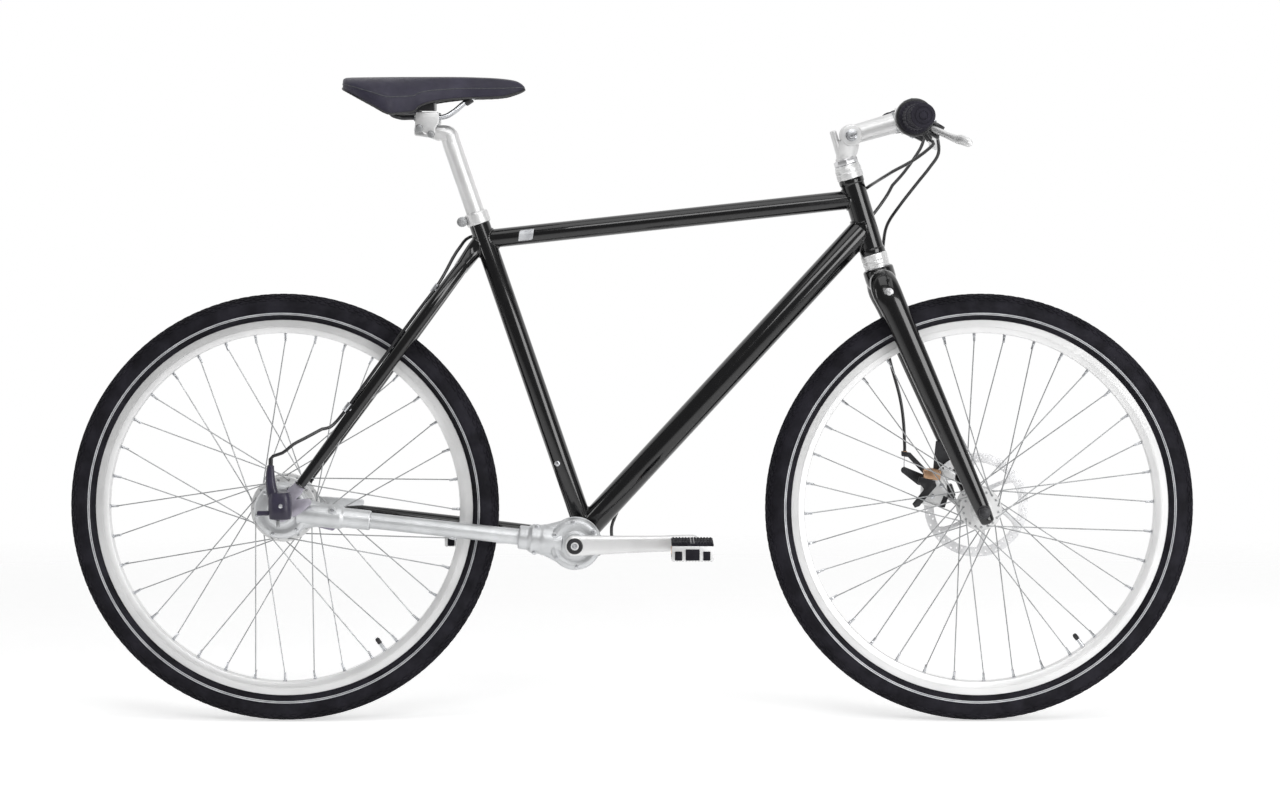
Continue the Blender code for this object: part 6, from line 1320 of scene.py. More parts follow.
# Stem and handlebar
class FORK_OT_stem(bpy.types.Operator):
    """Adjustable quill stem: neck with two ears, arm, split face cap and its bolts"""

    bl_idname = "bike.stem"
    bl_label = "Stem"

    def execute(self, context):
        pale = finish("pale_satin_alloy")
        steel = finish("bright_steel")
        top = HEAD_TOP + HEAD_UP * 0.0315
        lean = STEM_PIVOT - top
        quill = placed(rod(0.0111, -0.075, 0.004, 48, 0.0006), aim(top, HEAD_UP))
        collar = placed(lathe([(0, -0.0066), (0.0128, -0.0066), (0.0140, -0.004), (0.0140, 0.002),
                               (0.0125, 0.0045), (0, 0.0045)], 0.0010, 56), aim(top, HEAD_UP))
        neck = formed_bar([top - HEAD_UP * 0.002, top + lean * 0.16, top + lean * 0.40,
                           top + lean * 0.62, top + lean * 0.80],
                          [(0.0134, 0.0134), (0.0148, 0.0150), (0.0164, 0.0186), (0.0160, 0.0225),
                           (0.0150, 0.0242)], count=30, steps=40, square=0.9)
        behind = Vector((-HEAD_UP.z, 0, HEAD_UP.x)) * 0.0055
        spine = formed_bar(
            [HEAD_TOP + HEAD_UP * far + behind for far in (0.0290, 0.0400, 0.0600, 0.0775)],
            [(0.0056, 0.0112), (0.0054, 0.0108), (0.0052, 0.0104), (0.0050, 0.0100)], count=16,
            steps=32, square=0.8, tips=(0, 0.002)
        )
        shapes = [quill, collar, spine]
        held = put("stem_quill_and_neck", neck, [pale, steel], "fork", ["stem_quill"])
        room = placed(turned([(0, -0.0137), (0.0185, -0.0137), (0.0185, 0.0137), (0, 0.0137)], 64),
                      across_at(STEM_PIVOT))
        carved(held, room)
        for hand in (-1, 1):
            ear = lathe([(0, 0.0138), (0.0150, 0.0138), (0.0165, 0.0150), (0.0165, 0.0225),
                         (0.0150, 0.0243), (0, 0.0243)], 0.0009)
            cap = inked(rod(0.0092, 0.0240, 0.0252, 40, 0.0003), 1)
            head = inked(socket_bolt(0.0074, 0.0250, 0.0288), 1)
            for shape in (ear, cap, head):
                if hand < 0:
                    half_turned(shape)
                shapes.append(placed(shape, across_at(STEM_PIVOT)))
        put("stem_quill_ears", shapes, [pale, steel], "fork", ())
        reach = (BAR - STEM_PIVOT).length
        arm = formed_bar([STEM_PIVOT + STEM_OUT * far for far in (0.004, 0.022, 0.045, reach - 0.020,
                                                                  reach - 0.006)],
                         [(0.0142, 0.0131), (0.0146, 0.0140), (0.0150, 0.0152), (0.0155, 0.0168),
                          (0.0160, 0.0174)], count=30, steps=40, square=0.86)
        barrel = placed(lathe([(0, -0.0132), (0.0152, -0.0132), (0.0160, -0.0124), (0.0160, 0.0124),
                               (0.0152, 0.0132), (0, 0.0132)], 0.0004), across_at(STEM_PIVOT))
        band = formed_bar(
            [STEM_PIVOT + STEM_OUT * (reach - far) for far in (0.0185, 0.0165, 0.0145)],
            [(0.0163, 0.0176), (0.0165, 0.0179), (0.0166, 0.0180)], count=6, steps=40, square=0.86
        )
        put("stem_arm_with_barrel", [arm, barrel, inked(band, 1)], [pale, finish("grey_cast_alloy")],
            "handlebar_body", ())
        place = aim(BAR, LEFT, STEM_OUT.cross(LEFT))
        front = []
        back = []
        for outline, low, high in ((front, 8, 172), (back, 188, 352)):
            for i in range(29):
                turn = math.radians(low + (high - low) * i / 28)
                outline.append((0.0196 * math.sin(turn), -0.0196 * math.cos(turn)))
            for i in range(25):
                turn = math.radians(high - (high - low) * i / 24)
                outline.append((0.0129 * math.sin(turn), -0.0129 * math.cos(turn)))
        ahead = place.inverted().to_3x3() @ STEM_OUT
        spin = Matrix.Rotation(math.atan2(ahead.y, ahead.x), 4, "Z")
        cap, clamp_half = (placed(plate(half, -0.021, 0.021, 0.0011, 3), place @ spin)
                           for half in (front, back))
        put("stem_clamp_half", clamp_half, pale, "handlebar_body", ["stem_arm"])
        shapes = [cap]
        for up in (-1, 1):
            for across in (-0.0145, 0.0145):
                there = place @ spin @ Matrix.Translation(
                    (0, up * 0.0160, across)) @ Matrix.Rotation(math.pi / 2, 4, "Y")
                shapes.append(placed(rod(0.0046, -0.0110, 0.0118, 28, 0.0010), there))
                shapes.append(inked(placed(socket_bolt(0.0034, 0.0110, 0.0142), there), 1))
        put("stem_face_cap_with_bolts", shapes, [pale, steel], "handlebar_body", ["stem_face_cap"])
        return {"FINISHED"}


class BAR_OT_handlebar(bpy.types.Operator):
    """Flat handlebar, thicker in the stem's clamp"""

    bl_idname = "bike.handlebar"
    bl_label = "Handlebar"

    def execute(self, context):
        half = [(0.0127, 0.0), (0.0127, 0.046), (0.0126, 0.050), (0.0119, 0.062), (0.0112, 0.073),
                (0.0111, 0.078), (0.0111, 0.2935), (0.0105, 0.2940), (0, 0.2940)]
        profile = [(radius, -far) for radius, far in reversed(half)] + half[1:]
        put("handlebar_tube", placed(turned(profile, 64), across_at(BAR)), finish("polished_alloy"),
            "handlebar_body", ["handlebar"])
        return {"FINISHED"}


class BAR_OT_grips(bpy.types.Operator):
    """Two ribbed rubber grips and the turning grip of the shifter"""

    bl_idname = "bike.grips"
    bl_label = "Grips"

    def ribbed(self, low, high, flange):
        profile = [(0.0112, low), (flange, low), (flange, low + 0.0028), (0.0166, low + 0.0044)]
        at = low + 0.0058
        while at < high - 0.0085:
            profile += [(0.0157, at), (0.0157, at + 0.0009), (0.0165, at + 0.0014),
                        (0.0165, at + 0.0029)]
            at += 0.0036
        profile += [(0.0160, high - 0.0058), (0.0174, high - 0.0048), (0.0178, high - 0.0036),
                    (0.0178, high - 0.0016), (0.0166, high - 0.0003), (0.0132, high),
                    (0.0126, high - 0.0009), (0.0114, high - 0.0009), (0.0108, high), (0.0070, high),
                    (0.0064, high - 0.0009), (0.0056, high - 0.0009), (0.0050, high), (0, high),
                    (0, low)]
        return turned(profile, 56)

    def execute(self, context):
        rubber = finish("grip_rubber")
        flip = Matrix.Rotation(math.pi, 4, "X")
        right = placed(self.ribbed(0.2100, 0.2980, 0.0180), across_at(BAR) @ flip)
        put("grip_rubber_right", right, rubber, "handlebar_body", ["grip_right"], 40)
        left = placed(self.ribbed(0.1702, 0.2980, 0.0184), across_at(BAR))
        put("grip_rubber_left", left, rubber, "handlebar_body", ["grip_left"], 40)
        profile = eased([
            (0.0114, 0.1637), (0.0241, 0.1637), (0.0241, 0.1690), (0.0228, 0.1706), (0.0198, 0.1722),
            (0.0193, 0.1800), (0.0180, 0.1920), (0.0172, 0.2040), (0.0166, 0.2085), (0.0160, 0.2095),
            (0.0114, 0.2095), (0.0114, 0.1637)
        ], 0.0008)[:-1]
        filled = []
        for here, after in zip(profile, profile[1:]):
            count = max(1, int(abs(after[1] - here[1]) / 0.0025))
            filled += [tuple(Vector(here).lerp(Vector(after), i / count)) for i in range(count)]
        twist = turned(filled + [profile[-1]], 144)
        for vert in twist.verts:
            far = math.hypot(vert.co.x, vert.co.y)
            if far > 0.0150 and 0.1650 < vert.co.z < 0.2070:
                spin = math.atan2(vert.co.y, vert.co.x)
                sunk = 1 - 0.045 * (0.5 + 0.5 * math.cos(24 * spin)) ** 3
                vert.co.x *= sunk
                vert.co.y *= sunk
        put("twist_grip_ribbed", placed(twist, across_at(BAR) @ flip), rubber, "twist", ["twist_grip"],
            50)
        return {"FINISHED"}


class BAR_OT_shifter(bpy.types.Operator):
    """Round shifter housing with its window, clamp screw and cable exit"""

    bl_idname = "bike.shifter"
    bl_label = "Shifter housing"

    def execute(self, context):
        flip = Matrix.Rotation(math.pi, 4, "X")
        body = placed(hollow([
            (0.0129, 0.1394), (0.0240, 0.1394), (0.0272, 0.1420), (0.0280, 0.1450), (0.0280, 0.1606),
            (0.0268, 0.1628), (0.0245, 0.1632), (0.0129, 0.1632)
        ], 0.0012, 96), across_at(BAR) @ flip)
        band = placed(sleeve(0.0270, 0.0282, 0.1490, 0.1500, 0.0002, 96), across_at(BAR) @ flip)
        spot = sideways(BAR, SHIFTER_Y)
        boss = placed(lathe([
            (0, 0.018), (0.0062, 0.018), (0.0062, 0.0270), (0.0050, 0.0290), (0.0050, 0.0398),
            (0.0028, 0.0402), (0, 0.0402)
        ], 0.0005, 32), aim(spot, SHIFT_EXIT_WAY))
        rings = [placed(ring(0.0050, 0.0005, at, 28, 6), aim(spot, SHIFT_EXIT_WAY))
                 for at in (0.0315, 0.0335, 0.0355)]
        up = Vector((-0.35, 0, 0.94))
        window = placed(block((0.010, 0.0150, 0.0016), (0, 0, 0.0276), 0.0007, 3), aim(spot, up, LEFT))
        frame_ring = placed(block((0.013, 0.0180, 0.0012), (0, 0, 0.0272), 0.0005), aim(spot, up, LEFT))
        screw = placed(socket_bolt(0.0026, 0.0262, 0.0284), aim(spot, Vector((-0.9, 0, -0.45))))
        shapes = [body, boss, frame_ring, *rings, inked(window, 1), inked(screw, 2), inked(band, 2)]
        put("shifter_housing_round", shapes, [finish("moulded_plastic"), finish("shift_window"),
                                              finish("dark_coated_steel")], "handlebar_body",
            ["shifter_housing"], 38)
        return {"FINISHED"}


def lever_place(y, hand):
    """A brake's own place: X ahead of the bar, Y outward from the stem, Z along its pivot."""
    out = LEFT * hand
    return Matrix.Translation(sideways(BAR, y)) @ Matrix(
        (LEVER_AHEAD, out, LEVER_AHEAD.cross(out))).transposed().to_4x4()


class BAR_OT_brake_levers(bpy.types.Operator):
    """Brake brackets with clamp, adjuster and pivot, and the two blades of the levers"""

    bl_idname = "bike.brake_levers"
    bl_label = "Brake levers"

    def execute(self, context):
        dark, steel = finish("moulded_plastic"), finish("bright_steel")
        coated = finish("dark_coated_steel")
        for name, hand in (("right", -1), ("left", 1)):
            place = lever_place(LEVER_Y[name], hand)
            around = Matrix.Rotation(-math.pi / 2, 4, "X")
            clamp = placed(hollow([
                (0.0113, -0.008), (0.0150, -0.008), (0.0156, -0.0072), (0.0156, 0.0072),
                (0.0150, 0.008), (0.0113, 0.008)
            ], 0.0004, 56), around)
            outline = [(0.009, 0.001), (0.019, -0.0062), (0.030, -0.012), (0.0485, -0.012),
                       (0.049, -0.0115), (0.049, 0.001), (0.046, 0.0065), (0.037, 0.013),
                       (0.022, 0.0146), (0.009, 0.015)]
            arms = [plate(outline, low, high, 0.0014, 3)
                    for low, high in ((-0.0105, -0.0060), (0.0060, 0.0105))]
            web = plate([(0.009, 0.001), (0.0195, -0.0060), (0.0205, 0.0145), (0.009, 0.015)], -0.0103,
                        0.0103, 0.0010)
            nose = plate([(0.030, -0.0119), (0.0484, -0.0119), (0.0484, -0.0037), (0.030, -0.0037)],
                         -0.0103, 0.0103, 0.0008)
            inward = Matrix.Translation((0.044, -0.004, 0)) @ Matrix.Rotation(math.pi / 2, 4, "X")
            knurl = lathe([(0, 0.006), (0.0048, 0.006), (0.0048, 0.0095), (0.0044, 0.0105),
                           (0.0044, 0.0120), (0.0048, 0.0130), (0.0048, 0.0190), (0.0036, 0.0205),
                           (0.0036, 0.0219), (0, 0.0221)], 0.0004, 24)
            barrel = inked(placed(knurl, inward), 1)
            pin = inked(moved(socket_bolt(0.0046, 0.0103, 0.0122), (0.030, 0.004, 0)), 2)
            pin_nut = inked(moved(hex_nut(0.0078, -0.0128, -0.0104), (0.030, 0.004, 0)), 2)
            screw = inked(placed(socket_bolt(0.0030, 0.0148, 0.0172), Matrix.Translation(
                (0.0, -0.0002, 0)) @ Matrix.Rotation(-math.pi / 2, 4, "Y")), 2)
            whole = gathered([clamp, *arms, web, nose, barrel, pin, pin_nut, screw])
            bmesh.ops.recalc_face_normals(whole, faces=whole.faces)
            put("brake_bracket_body_" + name, placed(whole, place), [dark, coated, steel],
                "handlebar_body", ["brake_bracket_" + name])
            route = [(0, -0.004), (0.004, 0.004), (0.014, 0.014), (0.029, 0.030), (0.038, 0.055),
                     (0.040, 0.085), (0.045, 0.104), (0.0560, 0.1138)]
            halves = [(0.0048, 0.0046), (0.0056, 0.0049), (0.0058, 0.0050), (0.0062, 0.0050),
                      (0.0050, 0.0062), (0.0048, 0.0072), (0.0046, 0.0068), (0.0040, 0.0055)]
            blade = formed_bar([Vector((0.030 + x, 0.004 + z, 0)) for x, z in route], halves, UP,
                               count=48, steps=28, square=0.8, tips=(0.003, 0.006))
            nipple = inked(moved(rod(0.0032, -0.0045, 0.0045, 20, 0.0004), (0.044, 0.012, 0)), 1)
            put("brake_lever_blade_" + name, placed(gathered([blade, nipple]), place),
                [finish("pale_satin_alloy"), steel], name + "_lever", ["brake_lever_" + name])
        return {"FINISHED"}


# Front disc brake
def pulled_arm(pivot, tip, big, small, low, high):
    """A flat arm with round ends, a pivot nut and the screw that pinches the wire."""
    way = tip - pivot
    lean = math.atan2(way.z, -way.x)
    outline = []
    for i in range(25):
        turn = lean + math.pi / 2 + math.pi * i / 24
        outline.append((-pivot.x + big * math.cos(turn), pivot.z + big * math.sin(turn)))
    for i in range(17):
        turn = lean - math.pi / 2 + math.pi * i / 16
        outline.append((-tip.x + small * math.cos(turn), tip.z + small * math.sin(turn)))
    nut = hex_nut(0.0085, high - 0.0002, high + 0.0030, 0.0008)
    screw = socket_bolt(0.0032, high - 0.0002, high + 0.0026)
    return placed(gathered([plate(outline, low, high, 0.0007, 3),
                            inked(moved(nut, (-pivot.x, pivot.z, 0)), 1),
                            inked(moved(screw, (-tip.x, tip.z, 0)), 1)]), across_at(Vector()))


class BRAKE_OT_caliper(bpy.types.Operator):
    """Front disc caliper on its bracket, with pads, adjuster, cable stop and moving arm"""

    bl_idname = "bike.caliper"
    bl_label = "Front caliper"

    def execute(self, context):
        finishes = [finish("pale_satin_alloy"), finish("moulded_plastic"), finish("copper_cast"),
                    finish("bright_steel"), finish("dark_coated_steel")]
        flat = across_at(Vector())
        body = from_right([(0.446, 0.3260), (0.463, 0.3235), (0.474, 0.3270), (0.482, 0.3375),
                           (0.4835, 0.350), (0.482, 0.366), (0.474, 0.3715), (0.458, 0.3725),
                           (0.448, 0.3690), (0.444, 0.3560), (0.443, 0.3380)])
        shapes = [plate(body, 0.0306, 0.0368, 0.0018, 3), plate(body, 0.0432, 0.0569, 0.0022, 3)]
        lug = [(0.4740, 0.3640), (0.4940, 0.3650), (0.4960, 0.3760), (0.4880, 0.3820), (0.4740, 0.3810)]
        shapes.append(plate(from_right(lug), 0.0312, 0.0520, 0.0016, 3))
        drum = [(0.4470, 0.3660), (0.4720, 0.3640), (0.4735, 0.3790), (0.4600, 0.3825),
                (0.4460, 0.3810)]
        shapes.append(inked(plate(from_right(drum), 0.0298, 0.0500, 0.0016, 3), 2))
        spider = [(0.4390, 0.3700), (0.4640, 0.3640), (0.4660, 0.3560), (0.4590, 0.3480),
                  (0.4400, 0.3250), (0.4330, 0.3225), (0.4290, 0.3285), (0.4470, 0.3510),
                  (0.4430, 0.3560), (0.4370, 0.3610)]
        shapes.append(inked(plate(from_right(spider), 0.0282, 0.0308, 0.0007), 1))
        for x, z in ((0.4600, 0.3400), (0.4745, 0.3570)):
            head = placed(socket_bolt(0.0036, -0.0300, -0.0286), Matrix.Rotation(math.pi, 4, "X"))
            shapes.append(inked(moved(head, (-x, z, 0)), 3))
            shapes.append(inked(moved(socket_bolt(0.0033, 0.0560, 0.0572), (-x, z, 0)), 3))
        bracket = plate(from_right([(0.462, 0.372), (0.482, 0.366), (0.4995, 0.372), (0.5000, 0.398),
                                    (0.4995, 0.4235), (0.4665, 0.4235), (0.4640, 0.398)]),
                        0.0481, 0.0534, 0.0012, 3)
        shapes.append(inked(bracket, 4))
        for x, z in ((0.4730, 0.3785), (0.4890, 0.4080)):
            shapes.append(inked(moved(hex_nut(0.0080, 0.0530, 0.0572, 0.0006), (-x, z, 0)), 3))
        stop = plate(from_right([(0.4140, 0.4000), (0.4240, 0.3985), (0.4500, 0.3700), (0.4560, 0.3760),
                                 (0.4280, 0.4050), (0.4140, 0.4078)]), 0.0506, 0.0604, 0.0014, 3)
        shapes.append(inked(stop, 4))
        ferrule = placed(
            lathe([(0, -0.0062), (0.0041, -0.0062), (0.0041, 0.0002), (0.0034, 0.0012), (0, 0.0012)],
                  0.0004, 24), flat.inverted() @ aim(Vector((0.4190, 0.0556, 0.4066)), UP)
        )
        shapes.append(inked(ferrule, 2))
        for low, high in ((0.0364, 0.0386), (0.0414, 0.0436)):
            pad = plate(from_right([(0.4560, 0.3440), (0.4700, 0.3420), (0.4790, 0.3500),
                                    (0.4760, 0.3640), (0.4600, 0.3680), (0.4520, 0.3600)]),
                        low, high, 0.0003, 1)
            shapes.append(inked(pad, 1))
        for outline in (
                [(0.4850, 0.3380), (0.4930, 0.3360), (0.4955, 0.3420), (0.4900, 0.3590),
                 (0.4820, 0.3570)],
                [(0.4700, 0.3235), (0.4790, 0.3225), (0.4840, 0.3380), (0.4770, 0.3410)]):
            shapes.append(inked(plate(from_right(outline), 0.0296, 0.0475, 0.0009), 1))
        put("disc_caliper_complete", placed(gathered(shapes), flat), finishes, "fork", ["disc_caliper"])
        pivot, tip = Vector((0.4433, 0, 0.3636)), Vector((0.4188, 0, 0.3777))
        put("caliper_arm_forged", pulled_arm(pivot, tip, 0.0090, 0.0050, 0.0574, 0.0612),
            [finish("dark_coated_steel"), finish("bright_steel")], "front_arm", ["caliper_arm"])
        return {"FINISHED"}


# Shaft drive
class DRIVE_OT_cases(bpy.types.Operator):
    """Front and rear gear case in cast alloy with cover bolts, joined by the shaft's housing"""

    bl_idname = "bike.gear_cases"
    bl_label = "Gear cases"

    def cover(self, apex, radius, high, low, bolts, first):
        """The bevel gears' round case: its wall, a stepped cover with a rim, and its bolts."""
        wall = lathe([
            (0, high), (radius - 0.0030, high), (radius, high - 0.0030), (radius, high - 0.0080),
            (radius + 0.0012, high - 0.0088), (radius + 0.0012, high - 0.0125), (radius, high - 0.0133),
            (radius, low + 0.0065), (radius - 0.0022, low + 0.0018), (radius * 0.80, low + 0.0006),
            (radius * 0.66, low + 0.0024), (radius * 0.52, low + 0.0022), (radius * 0.46, low),
            (radius * 0.32, low), (0, low)
        ], 0.0012, 96)
        shapes = [placed(wall, across_at(apex))]
        for i in range(bolts):
            turn = math.radians(first) + 2 * math.pi * i / bolts
            spot = apex + Vector((math.cos(turn), 0, math.sin(turn))) * (radius * 0.86)
            place = aim(sideways(spot, low + 0.0010), -LEFT, UP)
            pad = lathe([(0, -0.004), (0.0050, -0.004), (0.0046, 0.0001), (0, 0.0001)], 0.0006, 24)
            shapes += [
                placed(pad, place), inked(placed(socket_bolt(0.0030, -0.0030, 0.0012), place), 1)
            ]
        return shapes

    def execute(self, context):
        finishes = [finish("satin_cast_alloy"), finish("bright_steel"), finish("dark_coated_steel")]
        front = Vector((BRACKET.x, SHAFT_Y, BRACKET.z))
        rear = Vector((REAR_AXLE.x, SHAFT_Y, REAR_AXLE.z))
        shapes = self.cover(front, 0.0388, -0.0344, -0.0714, 6, 35)
        neck = hollow([(0.0121, 0.020), (0.0235, 0.020), (0.0235, 0.0490), (0.0226, 0.0515),
                       (0.0220, 0.0540), (0.0220, 0.0660), (0.0205, 0.0680), (0.0180, 0.0720),
                       (0.0180, 0.0840), (0.0168, 0.0858), (0.0121, 0.0858)], 0.0010)
        shapes.append(placed(neck, aim(front, DRIVE_LINE)))
        shapes.append(formed_bar([front + DRIVE_LINE * far for far in (0.022, 0.036, 0.052)],
                                 [(0.0330, 0.0165), (0.0275, 0.0180), (0.0215, 0.0200)],
                                 count=14, steps=40))
        square = Vector((DRIVE_LINE.z, 0, -DRIVE_LINE.x))
        for lift in (0.0195, -0.0195):
            spot = front + DRIVE_LINE * 0.0600 + square * lift * 0.98
            lug = rod(0.0040, -0.0050, 0.0045, 24, 0.0008)
            bolt = inked(socket_bolt(0.0026, 0.0040, 0.0064), 1)
            shapes += [placed(shape, aim(sideways(spot, SHAFT_Y - 0.0080), -LEFT, UP))
                       for shape in (lug, bolt)]
        put("front_gear_case_cast", shapes, finishes, "frame", ["front_gear_case"])
        shapes = self.cover(rear, 0.0418, -0.0303, -0.0614, 6, 10)
        neck = hollow([(0.0121, 0.024), (0.0180, 0.024), (0.0180, 0.0885), (0.0170, 0.0912),
                       (0.0150, 0.0940), (0.0150, 0.1330), (0.0140, 0.1348), (0.0121, 0.1348)], 0.0010)
        shapes.append(placed(neck, aim(rear, -DRIVE_LINE)))
        shapes.append(formed_bar([rear - DRIVE_LINE * far for far in (0.026, 0.040, 0.060)],
                                 [(0.0300, 0.0140), (0.0225, 0.0148), (0.0176, 0.0150)],
                                 count=14, steps=40))
        lug = lathe([(0, -0.0150), (0.0066, -0.0150), (0.0066, -0.0060), (0.0058, -0.0040),
                     (0, -0.0040)], 0.0006, 32)
        spot = rear - DRIVE_LINE * 0.078 + UP * 0.010
        shapes.append(placed(lug, aim(sideways(spot, SHAFT_Y - 0.0020), LEFT, UP)))
        shapes.append(inked(placed(socket_bolt(0.0036, 0.0, 0.0030),
                                   aim(sideways(spot, SHAFT_Y - 0.0168), -LEFT, UP)), 1))
        put("rear_gear_case_cast", shapes, finishes, "frame", ["rear_gear_case"])
        pipe = hollow([(0.0102, 0.0362), (0.0120, 0.0362), (0.0120, 0.4188), (0.0102, 0.4188)], 0.0003,
                      56)
        put("shaft_housing_tube", placed(pipe, aim(front, DRIVE_LINE)), finish("satin_cast_alloy"),
            "frame", ["shaft_housing"])
        return {"FINISHED"}


class DRIVE_OT_cranks(bpy.types.Operator):
    """Two tapered crank arms with bolts, bolt rings and pedal axles"""

    bl_idname = "bike.cranks"
    bl_label = "Cranks"

    def arm(self, hand, name):
        eye = joint_point(name + "_pedal_spin")
        out = LEFT * hand
        boss = sideways(BRACKET, hand * CRANK_Y)
        end = sideways(eye, hand * CRANK_Y)
        way = (end - boss).normalized()
        arm = formed_bar(
            [boss - way * 0.0146, boss - way * 0.004, boss + way * 0.020, boss + way * 0.070,
             boss + way * 0.130, end - way * 0.006, end + way * 0.0113],
            [(0.0145, 0.0066), (0.0155, 0.0069), (0.0148, 0.0068), (0.0132, 0.0064), (0.0120, 0.0062),
             (0.0122, 0.0064), (0.0114, 0.0060)], count=60, steps=40, square=0.62, tips=(0.011, 0.008)
        )
        shapes = [arm]
        place = aim(BRACKET, out, UP)
        shapes.append(placed(hollow([
            (0.0070, 0.0722), (0.0127, 0.0722), (0.0148, 0.0790), (0.0148, 0.0860), (0.0070, 0.0860)
        ], 0.0008, 56), place))
        shapes.append(inked(placed(lathe([
            (0, 0.0890), (0.0122, 0.0890), (0.0122, 0.0904), (0.0108, 0.0911), (0.0070, 0.0909),
            (0.0062, 0.0899), (0, 0.0899)
        ], 0.0004, 56), place), 1))
        shapes.append(placed(hollow(
            [(0.0032, 0.0896), (0.0060, 0.0896), (0.0060, 0.0914), (0.0032, 0.0914)], 0.0004, 40
        ), place))
        shapes.append(inked(placed(socket_bolt(0.0030, 0.0895, 0.0908), place), 1))
        pin = aim(sideways(eye, 0), out, UP)
        shapes.append(inked(placed(lathe([
            (0, 0.0755), (0.0050, 0.0755), (0.0050, 0.0768), (0.0046, 0.0772), (0.0046, 0.0890),
            (0.0075, 0.0894), (0.0075, 0.0914), (0.0045, 0.0918), (0.0045, 0.170), (0, 0.170)
        ], 0.0003, 32), pin), 2))
        finishes = [finish("pale_satin_alloy"), finish("moulded_plastic"), finish("bright_steel")]
        put("crank_arm_" + name, shapes, finishes, "crankset", ["crank_" + name])

    def execute(self, context):
        for hand, name in ((-1, "right"), (1, "left")):
            self.arm(hand, name)
        return {"FINISHED"}


class DRIVE_OT_pedals(bpy.types.Operator):
    """Two pedals: studded rubber treads on a plated cage round a sleeve"""

    bl_idname = "bike.pedals"
    bl_label = "Pedals"

    def execute(self, context):
        finishes = [finish("tyre_rubber"), finish("pale_satin_alloy"), finish("amber_reflector"),
                    finish("moulded_plastic")]
        for hand, name in ((-1, "right"), (1, "left")):
            eye = joint_point(name + "_pedal_spin")
            place = aim(sideways(eye, 0), LEFT * hand, UP)
            middle = 0.1370
            shapes = [inked(hollow([
                (0.0050, 0.0932), (0.0085, 0.0932), (0.0100, 0.0960), (0.0100, 0.1750),
                (0.0085, 0.1765), (0.0050, 0.1765)
            ], 0.0006, 32), 3)]
            shapes.append(inked(block((0.0570, 0.0170, 0.0800), (0, 0, middle), 0.0012), 3))
            for up in (-1, 1):
                shapes.append(block((0.0620, 0.0036, 0.0820), (0, up * 0.0100, middle), 0.0012, 3))
                for i in range(13):
                    for k in range(3):
                        at = (-0.0276 + 0.0046 * i, up * 0.0122, middle + (k - 1) * 0.026)
                        shapes.append(block((0.0028, 0.0020, 0.0215), at, 0.0005, 1))
            for side in (-1, 1):
                shapes.append(inked(block((0.0020, 0.0120, 0.0780), (side * 0.0292, 0, middle), 0.0006),
                                    1))
                shapes.append(inked(block((0.0026, 0.0110, 0.0430), (side * 0.0298, 0, middle), 0.0010),
                                    2))
            for low, out in ((0.0936, -1), (0.1784, 1)):
                rim = [(-0.0296, -0.0122), (0.0296, -0.0122), (0.0308, -0.0110), (0.0308, 0.0074),
                       (0.0296, 0.0086), (-0.0296, 0.0086), (-0.0308, 0.0074), (-0.0308, -0.0110)]
                shapes.append(inked(plate(rim, low - 0.0012, low + 0.0012, 0.0008), 1))
                for spot, wide in ((-0.0208, 0.0105), (0, 0.0205), (0.0208, 0.0105)):
                    at = (spot, -0.0050, low + out * 0.0016)
                    shapes.append(block((wide, 0.0125, 0.0026), at, 0.0008, 2))
            whole = gathered(shapes)
            for vert in whole.verts:
                if math.hypot(vert.co.x, vert.co.y) > 0.0101:
                    vert.co.y = vert.co.y * 1.06 - 0.0034
            put("pedal_with_treads_" + name, placed(whole, place), finishes, name + "_pedal",
                ["pedal_" + name], 40)
        return {"FINISHED"}


